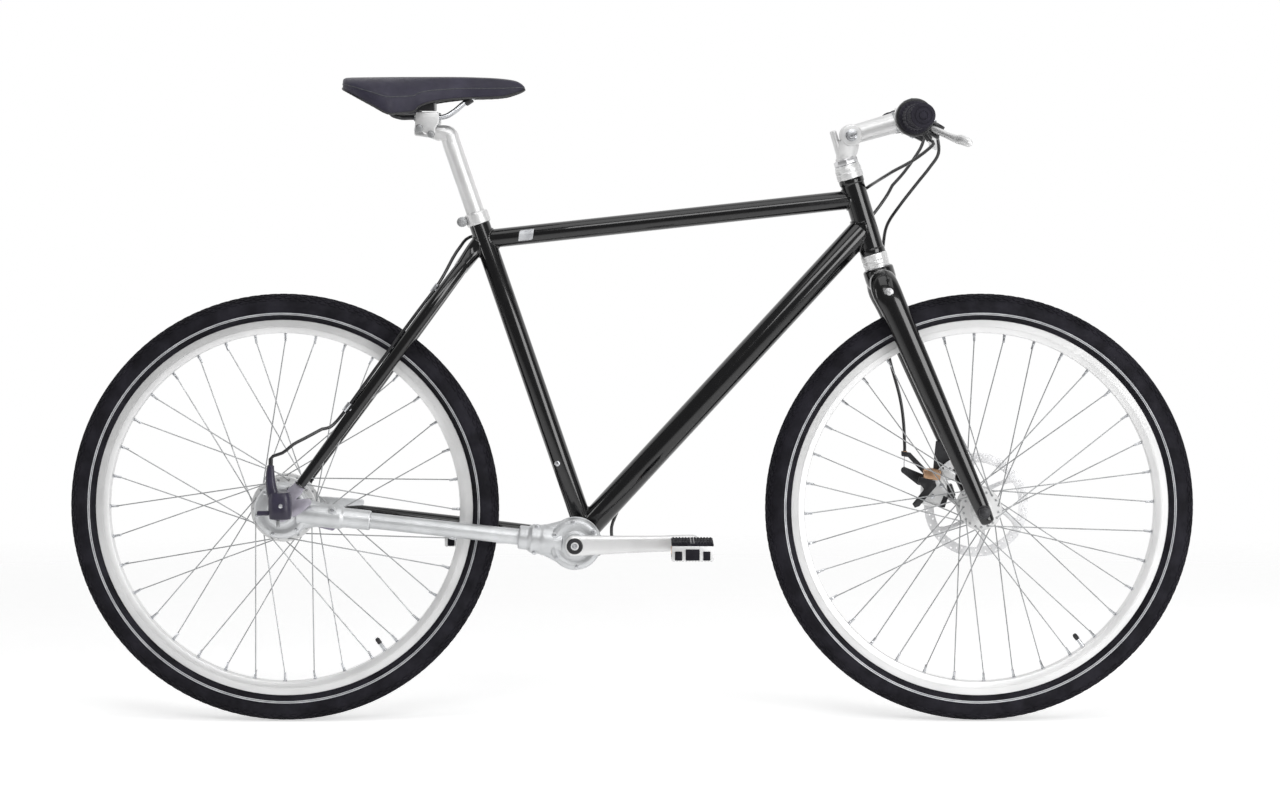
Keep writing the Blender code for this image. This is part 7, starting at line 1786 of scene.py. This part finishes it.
class DRIVE_OT_hub_parts(bpy.types.Operator):
    """Shift box on the right of the rear axle, and the brake plate and arm on its left"""

    bl_idname = "bike.hub_parts"
    bl_label = "Hub shift box and rear brake"

    def execute(self, context):
        black, steel = finish("violet_plastic"), finish("bright_steel")
        deep = -0.0950
        body = formed_bar(
            [Vector((x, y, deep)) for x, y in ((-0.0028, -0.0088), (-0.0028, 0.0020), (-0.0026, 0.0120),
                                               (-0.0022, 0.0230), (-0.0016, 0.0330))],
            [(0.0158, 0.0130), (0.0174, 0.0149), (0.0175, 0.0150), (0.0174, 0.0148), (0.0150, 0.0126)],
            Vector((0, 0, 1)), count=26, steps=40, square=0.8, tips=(0.0016, 0.0014))
        stalk = formed_bar(
            [Vector((x, y, deep)) for x, y in ((0.0068, 0.0260), (0.0098, 0.0380), (0.0112, 0.0500),
                                               (0.0116, 0.0620), (0.0106, 0.0735))],
            [(0.0088, 0.0090), (0.0080, 0.0082), (0.0072, 0.0072), (0.0062, 0.0062), (0.0048, 0.0050)],
            Vector((0, 0, 1)), count=24, steps=28, square=0.8, tips=(0, 0.0014))
        pin = block((0.0190, 0.0068, 0.0090), (0.0220, 0.0012, deep), 0.0014, 3)
        nub = inked(block((0.0055, 0.0110, 0.0060), (0.0010, -0.0150, deep + 0.004), 0.0014, 3), 2)
        screw = inked(placed(socket_bolt(0.0032, 0.1092, 0.1108), Matrix.Translation(
            (-0.0050, 0.0130, 0)) @ Matrix.Rotation(math.pi, 4, "X")), 1)
        put("hub_shift_unit", placed(gathered([body, stalk, pin, nub, screw]), across_at(REAR_AXLE)),
            [black, steel, finish("grey_cast_alloy")], "frame", ["hub_shift_box"])
        drum = hollow([(0.0056, 0.0425), (0.0412, 0.0425), (0.0420, 0.0433), (0.0420, 0.0462),
                       (0.0404, 0.0474), (0.0300, 0.0480), (0.0280, 0.0492), (0.0130, 0.0496),
                       (0.0120, 0.0500), (0.0056, 0.0500)], 0.0005, 96)
        arm = plate([(-0.020, -0.004), (-0.020, 0.0135), (-0.060, 0.0120), (-0.1140, 0.0080),
                     (-0.1160, 0.0060), (-0.1160, 0.0010), (-0.1140, -0.0010), (-0.060, -0.0045)],
                    0.0438, 0.0474, 0.0008)
        shapes = [drum, arm]
        for i in range(3):
            turn = 2 * math.pi * i / 3 + 0.5
            shapes.append(inked(moved(socket_bolt(0.0028, 0.0470, 0.0488), polar(0.034, turn)), 1))
        shapes.append(inked(moved(hex_nut(0.0075, 0.0472, 0.0500), (-0.108, 0.0035, 0)), 1))
        put("rear_brake_drum_plate", placed(gathered(shapes), across_at(REAR_AXLE)),
            [finish("satin_cast_alloy"), steel], "frame", ["rear_brake_plate"])
        arm = pulled_arm(Vector((-0.506, 0, 0.304)), Vector((-0.462, 0, 0.290)), 0.0080, 0.0050, 0.0505,
                         0.0543)
        put("rear_brake_arm_plated", arm, [finish("plated_arm"), steel], "rear_arm", ["rear_brake_arm"])
        return {"FINISHED"}


# Seat
class SEAT_OT_post(bpy.types.Operator):
    """Seat collar with its bolt, seatpost with its cradle, clamp and rails"""

    bl_idname = "bike.post"
    bl_label = "Seatpost and clamp"

    def execute(self, context):
        pale = finish("pale_satin_alloy")
        steel, dark = finish("bright_steel"), finish("dark_coated_steel")
        collar = placed(hollow([
            (0.0161, 0.5076), (0.0172, 0.5076), (0.0181, 0.5088), (0.0181, 0.5240), (0.0166, 0.5263),
            (0.0139, 0.5263), (0.0139, 0.5110), (0.0161, 0.5110)
        ], 0.0005, 72), aim(SEAT_BASE, SEAT_UP))
        back = Vector((-SEAT_UP.z, 0, SEAT_UP.x))
        bolt_at = SEAT_BASE + SEAT_UP * 0.5190 + back * 0.0235
        ears = [placed(rod(0.0076, low, high, 32, 0.0008), across_at(bolt_at))
                for low, high in ((-0.0128, -0.0008), (0.0008, 0.0128))]
        put("seat_collar_ears", ears, finish("grey_cast_alloy"), "frame", ())
        obj = put("seat_collar_split", collar, pale, "frame", ["seat_collar"])
        slit = placed(block((0.022, 0.0016, 0.062), edge=0), aim(bolt_at - back * 0.004, SEAT_UP))
        carved(obj, slit)
        shapes = [placed(socket_bolt(0.0046, 0.0124, 0.0150), aim(sideways(bolt_at, 0), -LEFT, UP)),
                  placed(hex_nut(0.0080, 0.0124, 0.0152), aim(sideways(bolt_at, 0), LEFT, UP))]
        put("seat_collar_bolt", shapes, finish("grey_cast_alloy"), "frame", ())
        post = placed(lathe([(0, -0.300), (0.0136, -0.300), (0.0136, -0.0120), (0.0131, -0.0080),
                             (0.0131, 0.0), (0, 0.0)], 0.0006, 72), aim(POST_TOP, SEAT_UP))
        neck = formed_bar(
            [POST_TOP - SEAT_UP * 0.026, POST_TOP - SEAT_UP * 0.010, POST_TOP + SEAT_UP * 0.004,
             POST_TOP + Vector((-0.020, 0, 0.0085)), POST_TOP + Vector((-0.034, 0, 0.0085))],
            [(0.0137, 0.0137), (0.0135, 0.0134), (0.0122, 0.0130), (0.0085, 0.0126), (0.0070, 0.0125)],
            count=24, steps=40, square=0.9
        )
        head = placed(plate([(-0.006, -0.006), (0.018, -0.0060), (0.030, -0.0015), (0.0515, 0.0015),
                             (0.0520, 0.0060), (0.0520, 0.0136), (0.0060, 0.0136), (-0.006, 0.004)],
                            -0.0124, 0.0124, 0.0016, 3), across_at(POST_TOP))
        put("seatpost_tube", [post, neck], pale, "post", ["seatpost"])
        obj = put("seatpost_cradle", head, pale, "post", ())
        carved(obj, placed(turned([(0, -0.02), (0.0124, -0.02), (0.0124, 0.02), (0, 0.02)], 64),
                           across_at(TILT_PIVOT)))
        drum = lathe([(0, -0.0270), (0.0108, -0.0270), (0.0119, -0.0262), (0.0119, 0.0262),
                      (0.0108, 0.0270), (0, 0.0270)], 0.0004)
        ribs = [placed(block((0.0010, 0.0006, 0.0520), (0, 0.0118, 0), 0.0002, 1),
                       Matrix.Rotation(2 * math.pi * i / 30, 4, "Z")) for i in range(30)]
        half = [(-0.0184, 0.0070), (-0.0135, 0.0052), (0.0135, 0.0052), (0.0184, 0.0070),
                (0.0184, 0.0122), (-0.0184, 0.0122)]
        upper = [(-0.0184, 0.0130), (0.0184, 0.0130), (0.0184, 0.0165), (0.0160, 0.0186),
                 (-0.0160, 0.0186), (-0.0184, 0.0165)]
        blocks = gathered([drum, *ribs, plate(half, -0.0278, 0.0278, 0.0010, 3),
                           plate(upper, -0.0278, 0.0278, 0.0014, 3)])
        obj = put("saddle_clamp_blocks", placed(blocks, across_at(TILT_PIVOT)),
                  finish("grey_cast_alloy"), "saddle_body", ["saddle_clamp"])
        rooms = [placed(rod(0.0038, -0.05, 0.05, 32, 0),
                        aim(Vector((-0.3125, hand * 0.022, 0.9175)), Vector((1, 0, 0))))
                 for hand in (-1, 1)]
        carved(obj, gathered(rooms))
        cheek = [(0.0150, 0.0205), (-0.0190, 0.0205), (-0.0190, 0.0040), (-0.0140, -0.0030),
                 (-0.0128, -0.0160), (-0.0060, -0.0185), (-0.0008, -0.0120), (0.0060, -0.0090),
                 (0.0130, -0.0096), (0.0172, -0.0040), (0.0165, 0.0050)]
        shapes = []
        for hand in (-1, 1):
            low, high = sorted((hand * 0.0282, hand * 0.0318))
            shapes.append(placed(plate(cheek, low, high, 0.0012, 3), across_at(TILT_PIVOT)))
            for x, z, radius in ((-0.3193, 0.9008, 0.0060), (-0.3016, 0.8920, 0.0056)):
                head = lathe([(0, 0.0300), (radius, 0.0300), (radius, 0.0340), (radius * 0.8, 0.0358),
                              (0, 0.0360)], 0.0006, 32)
                shapes.append(inked(placed(head, aim(Vector((x, 0, z)), LEFT * hand, UP)), 1))
        put("saddle_clamp_cheeks", shapes, [finish("pale_satin_alloy"), finish("grey_cast_alloy")],
            "saddle_body", ())
        half = [(-0.367, 0.037, 0.9355), (-0.361, 0.032, 0.9220), (-0.350, 0.023, 0.9175),
                (-0.335, 0.022, 0.9175), (-0.288, 0.022, 0.9177), (-0.270, 0.0185, 0.9255),
                (-0.256, 0.0150, 0.9370), (-0.246, 0.0115, 0.9450), (-0.232, 0.0060, 0.9510),
                (-0.226, 0, 0.9515)]
        route = half + [(x, -y, z) for x, y, z in reversed(half[:-1])]
        wire = tube(smooth_route(route, 96), 0.0032, 20, UP)
        for face in wire.faces:
            face.material_index = 1 if face.calc_center_median().x < -0.326 else 0
        plugs = [inked(placed(rod(0.0052, -0.006, 0.006, 24, 0.0010),
                              aim(Vector((-0.2470, hand * 0.0122, 0.9425)), Vector((0.75, 0, 0.48)))),
                       1) for hand in (-1, 1)]
        put("saddle_rail_wire", [wire, *plugs], [steel, dark], "saddle_body", ["saddle_rails"])
        return {"FINISHED"}


SADDLE_STATIONS = [
    # X, half width, top, skirt's lower edge, underside in the middle
    (-0.4322, 0.040, 0.9725, 0.9610, 0.9640), (-0.4318, 0.052, 0.9745, 0.9592, 0.9630),
    (-0.4290, 0.062, 0.9757, 0.9572, 0.9600), (-0.4200, 0.073, 0.9762, 0.9524, 0.9560),
    (-0.4050, 0.082, 0.9764, 0.9443, 0.9500), (-0.3850, 0.086, 0.9766, 0.9335, 0.9450),
    (-0.3640, 0.083, 0.9768, 0.9222, 0.9430), (-0.3500, 0.076, 0.9769, 0.9222, 0.9430),
    (-0.3270, 0.062, 0.9771, 0.9252, 0.9430), (-0.3180, 0.056, 0.9772, 0.9330, 0.9440),
    (-0.3050, 0.050, 0.9774, 0.9385, 0.9450), (-0.2900, 0.043, 0.9776, 0.9415, 0.9470),
    (-0.2650, 0.035, 0.9778, 0.9445, 0.9480), (-0.2450, 0.030, 0.9778, 0.9460, 0.9500),
    (-0.2100, 0.026, 0.9768, 0.9470, 0.9510), (-0.1900, 0.023, 0.9752, 0.9490, 0.9520),
    (-0.1760, 0.019, 0.9728, 0.9530, 0.9550), (-0.1680, 0.014, 0.9692, 0.9560, 0.9580),
    (-0.1632, 0.008, 0.9650, 0.9585, 0.9595), (-0.1620, 0.005, 0.9630, 0.9600, 0.9605),
]


def saddle_section(row):
    """Half of the saddle's section at one station: (y, z) from the crown round to the underside."""
    half, top, skirt, under = row[1:]
    tall = top - skirt
    groove = 0.0030 * min(1, half / 0.06)
    return [
        (0.0, top - groove), (0.16 * half, top - groove * 0.72), (0.34 * half, top - 0.0003),
        (0.58 * half, top - 0.0012), (0.78 * half, top - tall * 0.10), (0.93 * half, top - tall * 0.27),
        (1.0 * half, top - tall * 0.52), (0.995 * half, top - tall * 0.78),
        (0.965 * half, skirt + tall * 0.03), (0.93 * half, skirt), (0.86 * half, skirt + 0.0012),
        (0.76 * half, skirt + (under - skirt) * 0.5), (0.45 * half, under), (0.0, under)
    ]


class SEAT_OT_saddle(bpy.types.Operator):
    """Padded saddle with a moulded base, a dark block of painted shade under it, a side seam and piping
    round its skirt
    """

    bl_idname = "bike.saddle"
    bl_label = "Saddle"

    def seam(self, name, knot, rise, radius, material, count=150):
        """A bead round the saddle at one place of its section."""
        route = []
        for hand in (-1, 1):
            side = []
            for i in range(count):
                row = curve_at(SADDLE_STATIONS, 0.3 + (len(SADDLE_STATIONS) - 1.75) * i / (count - 1))
                y, z = curve_at(saddle_section(row), knot)
                side.append(Vector((row[0], hand * (y + rise), z)))
            route += side if hand > 0 else side[::-1]
        put(name, closed_bead(route, radius, UP, 8), material, "saddle_body", ())

    def execute(self, context):
        bm = bmesh.new()
        loops = []
        count = 84
        for i in range(count):
            share = i / (count - 1)
            share -= 0.35 * math.sin(2 * math.pi * share) / (2 * math.pi)
            row = curve_at(SADDLE_STATIONS, (len(SADDLE_STATIONS) - 1) * share)
            outer = saddle_section(row)
            knots = [curve_at(outer, k / 3) for k in range(3 * (len(outer) - 1) + 1)]
            ringed = knots + [(-y, z) for y, z in reversed(knots[1:-1])]
            made = bmesh.ops.create_circle(bm, cap_ends=False, radius=1, segments=len(ringed))
            for vert, (y, z) in zip(made["verts"], ringed):
                vert.co = Vector((row[0], y, z))
            loops.append(edge_loop(made))
        for low, high in zip(loops, loops[1:]):
            bmesh.ops.bridge_loops(bm, edges=low + high)
        for end in (loops[0], loops[-1]):
            bmesh.ops.holes_fill(bm, edges=end, sides=0)
        cleaned(bm)
        for vert in bm.verts:
            x, y, z = vert.co
            if z > 0.955:
                # the pad is soft: it rises a little between its seams and the groove
                puff = 0.0009 * math.sin(min(abs(y) / 0.05, 1) * math.pi)
                vert.co.z += puff * min(1, max(0, (-0.19 - x) / 0.08))
        for face in bm.faces:
            face.material_index = 1 if face.normal.z < -0.55 else 0
        saddle = put("saddle_padded", bm, [finish("saddle_cover"), finish("moulded_plastic")],
                     "saddle_body", ["saddle"], 60)
        # a dark block under the shell, painted shade: it stands for the skirt and underside that lie in
        # shade there
        base = block((0.0270, 0.0560, 0.0150), (-0.3100, 0, 0.9352), 0.0016, 3)
        put("saddle_shade_block", base, finish("moulded_plastic"), "saddle_body", ())
        self.seam("saddle_side_seam", 6.1, 0.00005, 0.00075, finish("saddle_thread"))
        self.seam("saddle_skirt_piping", 8.4, 0.0001, 0.0016, finish("moulded_plastic"))
        return {"FINISHED"}


# Cables
def beside(start, direction, along, lift, y):
    """A point along a tube's axis, lifted square to it in the side view."""
    square = Vector((-direction.z, 0, direction.x))
    return sideways(start + direction * along + square * lift, y)


class CABLE_OT_cables(bpy.types.Operator):
    """Shift cable and both brake cables with ferrules, clips and bare wires at their arms"""

    bl_idname = "bike.cables"
    bl_label = "Cables"

    def line(self, name, points, count, node, first, last, start, end):
        obj = put(name, tube(smooth_route(points, count), 0.0025, 14, Vector((0.31, 0.23, 0.92))),
                  finish("cable_casing"), None, [node], 60)
        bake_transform(obj)

    def clip(self, name, tube_spot, cable_spot, way, reach, material):
        """A small clip that holds a cable beside a tube."""
        across = cable_spot - tube_spot
        across -= way * across.dot(way)
        place = aim(cable_spot, way, across)
        shapes = [placed(hollow([(0.0026, -reach), (0.0039, -reach), (0.0039, reach), (0.0026, reach)],
                                0.0003, 28), place)]
        foot = across.length
        back = aim(cable_spot - across * 0.5, across, way)
        shapes.append(placed(block((reach * 1.7, 0.0030, foot * 0.45), (0, 0, -0.0006), 0.0006), back))
        put(name, shapes, material, "frame", ())

    def execute(self, context):
        back_way = (TOP_TUBE_REAR - TOP_TUBE_FRONT).normalized()
        down_way = (BRACKET - DOWN_TUBE_FRONT).normalized()
        stay_way = (REAR_AXLE - BRACKET).normalized()
        exit_point = BAR + SHIFT_EXIT_WAY * 0.0403
        start = sideways(exit_point, SHIFTER_Y)
        upper = [start, sideways(exit_point + SHIFT_EXIT_WAY * 0.008, SHIFTER_Y), (.4174, -.110, .8535),
                 (.3890, -.060, .8358)]
        lower = [(.3890, -.060, .8358), (.3750, -.012, .8250), (.3620, .026, .8150),
                 (.3450, .0285, .8050), (.3050, .0240, .7950)]
        lower += [beside(TOP_TUBE_FRONT, back_way, far, 0, TOP_CABLE_Y)
                  for far in (0.090, 0.270, 0.450)]
        lower += [(-.2060, .0225, .7375), (-.2320, .0215, .7400), (-.2500, .0130, .7350),
                  (-.2605, -.0010, .7220), (-.2700, -.0130, .7070)]
        lower += [beside(STAY_TOP, STAY_DOWN, far, STAY_CABLE_LIFT, y) for far, y in (
            (0.0950, -0.0310), (0.1500, -0.0440), (0.2400, -0.0545), (0.3500, -0.0630))]
        lower += [(-.4650, -.0760, .4510), (-.4877, -.0860, .4390), (-.5050, -.0920, .4300),
                  (-.5200, -.0950, .4180), (-.5380, -.0950, .4110), (-.5388, -.0950, .4010)]
        self.line("shift_cable_upper", upper, 26, "shift_cable", "handlebar_body", "fork", upper[0],
                  upper[-1])
        self.line("shift_cable_lower", lower, 170, "shift_cable", "fork", "frame", lower[0], lower[4])
        start = lever_place(LEVER_Y["left"], 1) @ LEVER_MOUTH
        upper = [start, start + Vector((0, -0.008, 0)), (.4440, .0950, .8720), (.4177, .0600, .8374),
                 (.3970, .0450, .8150)]
        lower = [(.3970, .0450, .8150), (.3870, .0370, .7980), (.3677, .0310, .7720),
                 (.3400, .0290, .7400)]
        lower += [beside(DOWN_TUBE_FRONT, down_way, far, lift, y) for far, lift, y in (
            (0.080, 0, 0.0253), (0.240, 0, 0.0243), (0.400, 0, 0.0243), (0.520, 0.006, 0.0253))]
        lower += [(-.0290, .0300, .3020), (-.0330, .0350, .2720), (-.0550, .0400, .2480),
                  (-.0950, .0440, .2470)]
        lower += [beside(BRACKET, stay_way, far, 0.014, y)
                  for far, y in ((0.070, 0.0470), (0.180, 0.0500), (0.280, 0.0560), (0.340, 0.0560))]
        lower += [(-.4390, .0528, .2925), (-.4480, .0525, .2918)]
        self.line("rear_brake_cable_upper", upper, 26, "rear_brake_cable", "handlebar_body", "fork",
                  upper[0], upper[-1])
        self.line("rear_brake_cable_lower", lower, 150, "rear_brake_cable", "fork", "frame", lower[0],
                  lower[3])
        start = lever_place(LEVER_Y["right"], -1) @ LEVER_MOUTH
        front = [start, start + Vector((0, 0.008, 0)), (.4560, -.0780, .8640), (.4440, -.0620, .8417),
                 (.4280, -.0380, .8190), (.4047, -.0080, .7855), (.3884, .0220, .7568),
                 (.3840, .0420, .7300), (.3840, .0580, .6980), (.3860, .0660, .6600),
                 (.3890, .0690, .6100), (.3945, .0680, .5560), (.4110, .0640, .4940),
                 (.4170, .0590, .4550), (.4190, .0562, .4165), (.4190, .0560, .4075)]
        self.line("front_brake_cable_casing", front, 110, "front_brake_cable", "handlebar_body", "fork",
                  start, front[6])
        steel, black = finish("bright_steel"), finish("moulded_plastic")
        for k, far in enumerate((0.130, 0.300, 0.470)):
            spot = TOP_TUBE_FRONT + back_way * far
            self.clip("shift_cable_clip_%d" % (k + 1), spot, sideways(spot, TOP_CABLE_Y), -back_way,
                      0.0045, steel)
        for k, far in enumerate((0.110, 0.330, 0.470)):
            spot = DOWN_TUBE_FRONT + down_way * far
            self.clip("rear_brake_clip_%d" % (k + 1), spot, sideways(spot, 0.0244), down_way, 0.0045,
                      steel)
        for k, (far, y, tube_y) in enumerate(((0.105, -0.0335, -0.0385), (0.325, -0.0610, -0.0575))):
            spot = beside(STAY_TOP, STAY_DOWN, far, STAY_CABLE_LIFT, y)
            middle = sideways(STAY_TOP + STAY_DOWN * far, tube_y)
            self.clip("shift_cable_stop_%d" % (k + 1), middle, spot, STAY_DOWN, 0.0075, steel)
        wires = (("front_brake_wire", [(.4190, .0560, .4090), (.4189, .0580, .3980),
                                       (.4188, .0623, .3860), (.4188, .0627, .3740)], "fork"),
                 ("rear_brake_wire", [(-.4470, .0525, .2918), (-.4560, .0560, .2910),
                                      (-.4620, .0562, .2902), (-.4680, .0562, .2896)], "frame"),
                 ("shift_wire_sleeve", [(-.5386, -.0950, .4080), (-.5388, -.0950, .4010),
                                        (-.5388, -.0950, .3990)], "frame"))
        for name, points, body in wires:
            thick = 0.0034 if "sleeve" in name else 0.0008
            put(name, tube(smooth_route(points, 14), thick, 12, Vector((0.2, 0.9, 0.1))),
                black if "sleeve" in name else steel, body, ())
        return {"FINISHED"}


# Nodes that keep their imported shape
class BIKE_OT_kept_nodes(bpy.types.Operator):
    """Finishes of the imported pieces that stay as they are, such as the bevel gears"""

    bl_idname = "bike.kept_nodes"
    bl_label = "Gears and spindles"

    def execute(self, context):
        for name, obj in frame["nodes"].items():
            for held in obj.material_slots:
                held.material = finish("ground_rotor" if "bevel_gear" in name else "bright_steel")
        return {"FINISHED"}


# Stage
class BIKE_OT_stage(bpy.types.Operator):
    """Pale floor, soft studio light and the camera"""

    bl_idname = "bike.stage"
    bl_label = "Stage"

    def floor(self, scene):
        bm = bmesh.new()
        bmesh.ops.create_grid(bm, x_segments=4, y_segments=4, size=30)
        bmesh.ops.translate(bm, verts=bm.verts, vec=(0, 0, -0.0005))
        mesh = bpy.data.meshes.new("studio_floor")
        bm.to_mesh(mesh)
        bm.free()
        mesh.materials.append(finish("pale_floor"))
        floor = bpy.data.objects.new("studio_floor", mesh)
        scene.collection.objects.link(floor)

    def world(self, scene, light):
        """White to the camera all round, and a plain room of this strength that lights the bike.

        Metal and glass show the white where it stands, behind the bike; towards the camera they
        show the plain room.
        """
        scene.world = bpy.data.worlds.new("studio")
        scene.world.use_nodes = True
        graph = Graph(scene.world.node_tree)
        graph.nodes.clear()
        heading = graph.node("TexCoord", {}, "Generated")
        behind = graph.ranged(graph.node("SeparateXYZ", {0: heading}, "Y"), 0, 1, -0.10, 0.20)
        room = graph.node("Background", {"Color": WHITE, "Strength": light})
        white = graph.node("Background", {"Color": WHITE, "Strength": 1})
        mix = graph.node("MixShader", {0: graph.seen(behind), 1: room, 2: white})
        graph.fill(graph.nodes.new("ShaderNodeOutputWorld").inputs["Surface"], mix)

    def lamp(self, scene, name, place, goal, length, width, power):
        """A soft rectangular lamp at a place, aimed at a goal."""
        lamp = bpy.data.lights.new(name, "AREA")
        lamp.shape = "RECTANGLE"
        lamp.size, lamp.size_y = length, width
        lamp.energy = power
        up = UP if length < 2 else Vector((1, 0, 0))
        along = (Vector(goal) - Vector(place)).normalized()
        side = (up - along * up.dot(along)).normalized()
        holder = bpy.data.objects.new(name, lamp)
        holder.matrix_world = Matrix.Translation(place) @ Matrix(
            (side, side.cross(along), -along)).transposed().to_4x4()
        scene.collection.objects.link(holder)

    def camera(self, scene, settings):
        camera = bpy.data.cameras.new("camera")
        camera.lens = settings.lens
        camera.sensor_width = 36
        camera.clip_end = 200
        eye = Vector((0.012, -settings.distance, settings.height))
        goal = Vector((0.012, 0, 0.490))
        view = bpy.data.objects.new("camera", camera)
        view.location = eye
        view.rotation_euler = (goal - eye).to_track_quat("-Z", "Y").to_euler()
        scene.collection.objects.link(view)
        scene.camera = view

    def execute(self, context):
        scene = context.scene
        settings = scene.bike_view
        self.floor(scene)
        self.world(scene, settings.light)
        for name, place, goal, length, width, share in (
            # name, place, aimed at, length, width, share of the power
            ("soft_overhead", (0.2, -1.0, 3.2), (0.0, 0, 0.4), 3.4, 2.0, 0.24),
            ("bank_above", (0.25, -3.0, 2.5), (0.25, 0, 0.5), 2.5, 0.9, 0.24),
            ("bank_ahead", (2.4, -2.6, 1.0), (0.2, 0, 0.5), 1.9, 1.8, 0.44),
            ("strip_behind", (-3.3, -1.0, 0.9), (-0.2, 0, 0.5), 1.8, 0.4, 0.08),
        ):
            self.lamp(scene, name, place, goal, length, width, settings.lamp * share)
        self.camera(scene, settings)
        scene.view_settings.view_transform = "Standard"
        return {"FINISHED"}


# Panel
class BIKE_PT_pieces(bpy.types.Panel):
    """Lists the settings and the pieces of the bike"""

    bl_label = "City bike"
    bl_idname = "BIKE_PT_pieces"
    bl_space_type = "VIEW_3D"
    bl_region_type = "UI"
    bl_category = "City bike"

    def draw(self, context):
        for settings in ("bike_colours", "bike_wheels", "bike_tubes", "bike_view"):
            box = self.layout.box()
            group = getattr(context.scene, settings)
            for name in group.bl_rna.properties.keys():
                if name not in ("rna_type", "name"):
                    box.prop(group, name)
        column = self.layout.column()
        for piece in PIECES:
            column.operator(piece.bl_idname)


PIECES = (
    BIKE_OT_kept_nodes, WHEELS_OT_tyres, WHEELS_OT_rims, WHEELS_OT_hubs, WHEELS_OT_rotor,
    WHEELS_OT_axles, FRAME_OT_tubes, FRAME_OT_bracket, FRAME_OT_stays, FRAME_OT_headset,
    FRAME_OT_badge, FORK_OT_fork, FORK_OT_stem, BAR_OT_handlebar, BAR_OT_grips, BAR_OT_shifter,
    BAR_OT_brake_levers, BRAKE_OT_caliper, DRIVE_OT_cases, DRIVE_OT_cranks, DRIVE_OT_pedals,
    DRIVE_OT_hub_parts, SEAT_OT_post, SEAT_OT_saddle, CABLE_OT_cables, BIKE_OT_stage,
)
SETTINGS = {
    "bike_colours": BikeColours, "bike_wheels": BikeWheels,
    "bike_tubes": BikeTubes, "bike_view": BikeView,
}


def register():
    for name, group in SETTINGS.items():
        bpy.utils.register_class(group)
        setattr(bpy.types.Scene, name, bpy.props.PointerProperty(type=group))
    for item in (*PIECES, BIKE_PT_pieces):
        bpy.utils.register_class(item)


def unregister():
    for item in reversed((*PIECES, BIKE_PT_pieces)):
        bpy.utils.unregister_class(item)
    for name, group in SETTINGS.items():
        delattr(bpy.types.Scene, name)
        bpy.utils.unregister_class(group)


def main():
    register()
    make_finishes(bpy.context.scene.bike_colours)
    for piece in PIECES:
        area, name = piece.bl_idname.split(".")
        getattr(getattr(bpy.ops, area), name)()


if __name__ == "__main__":
    main()
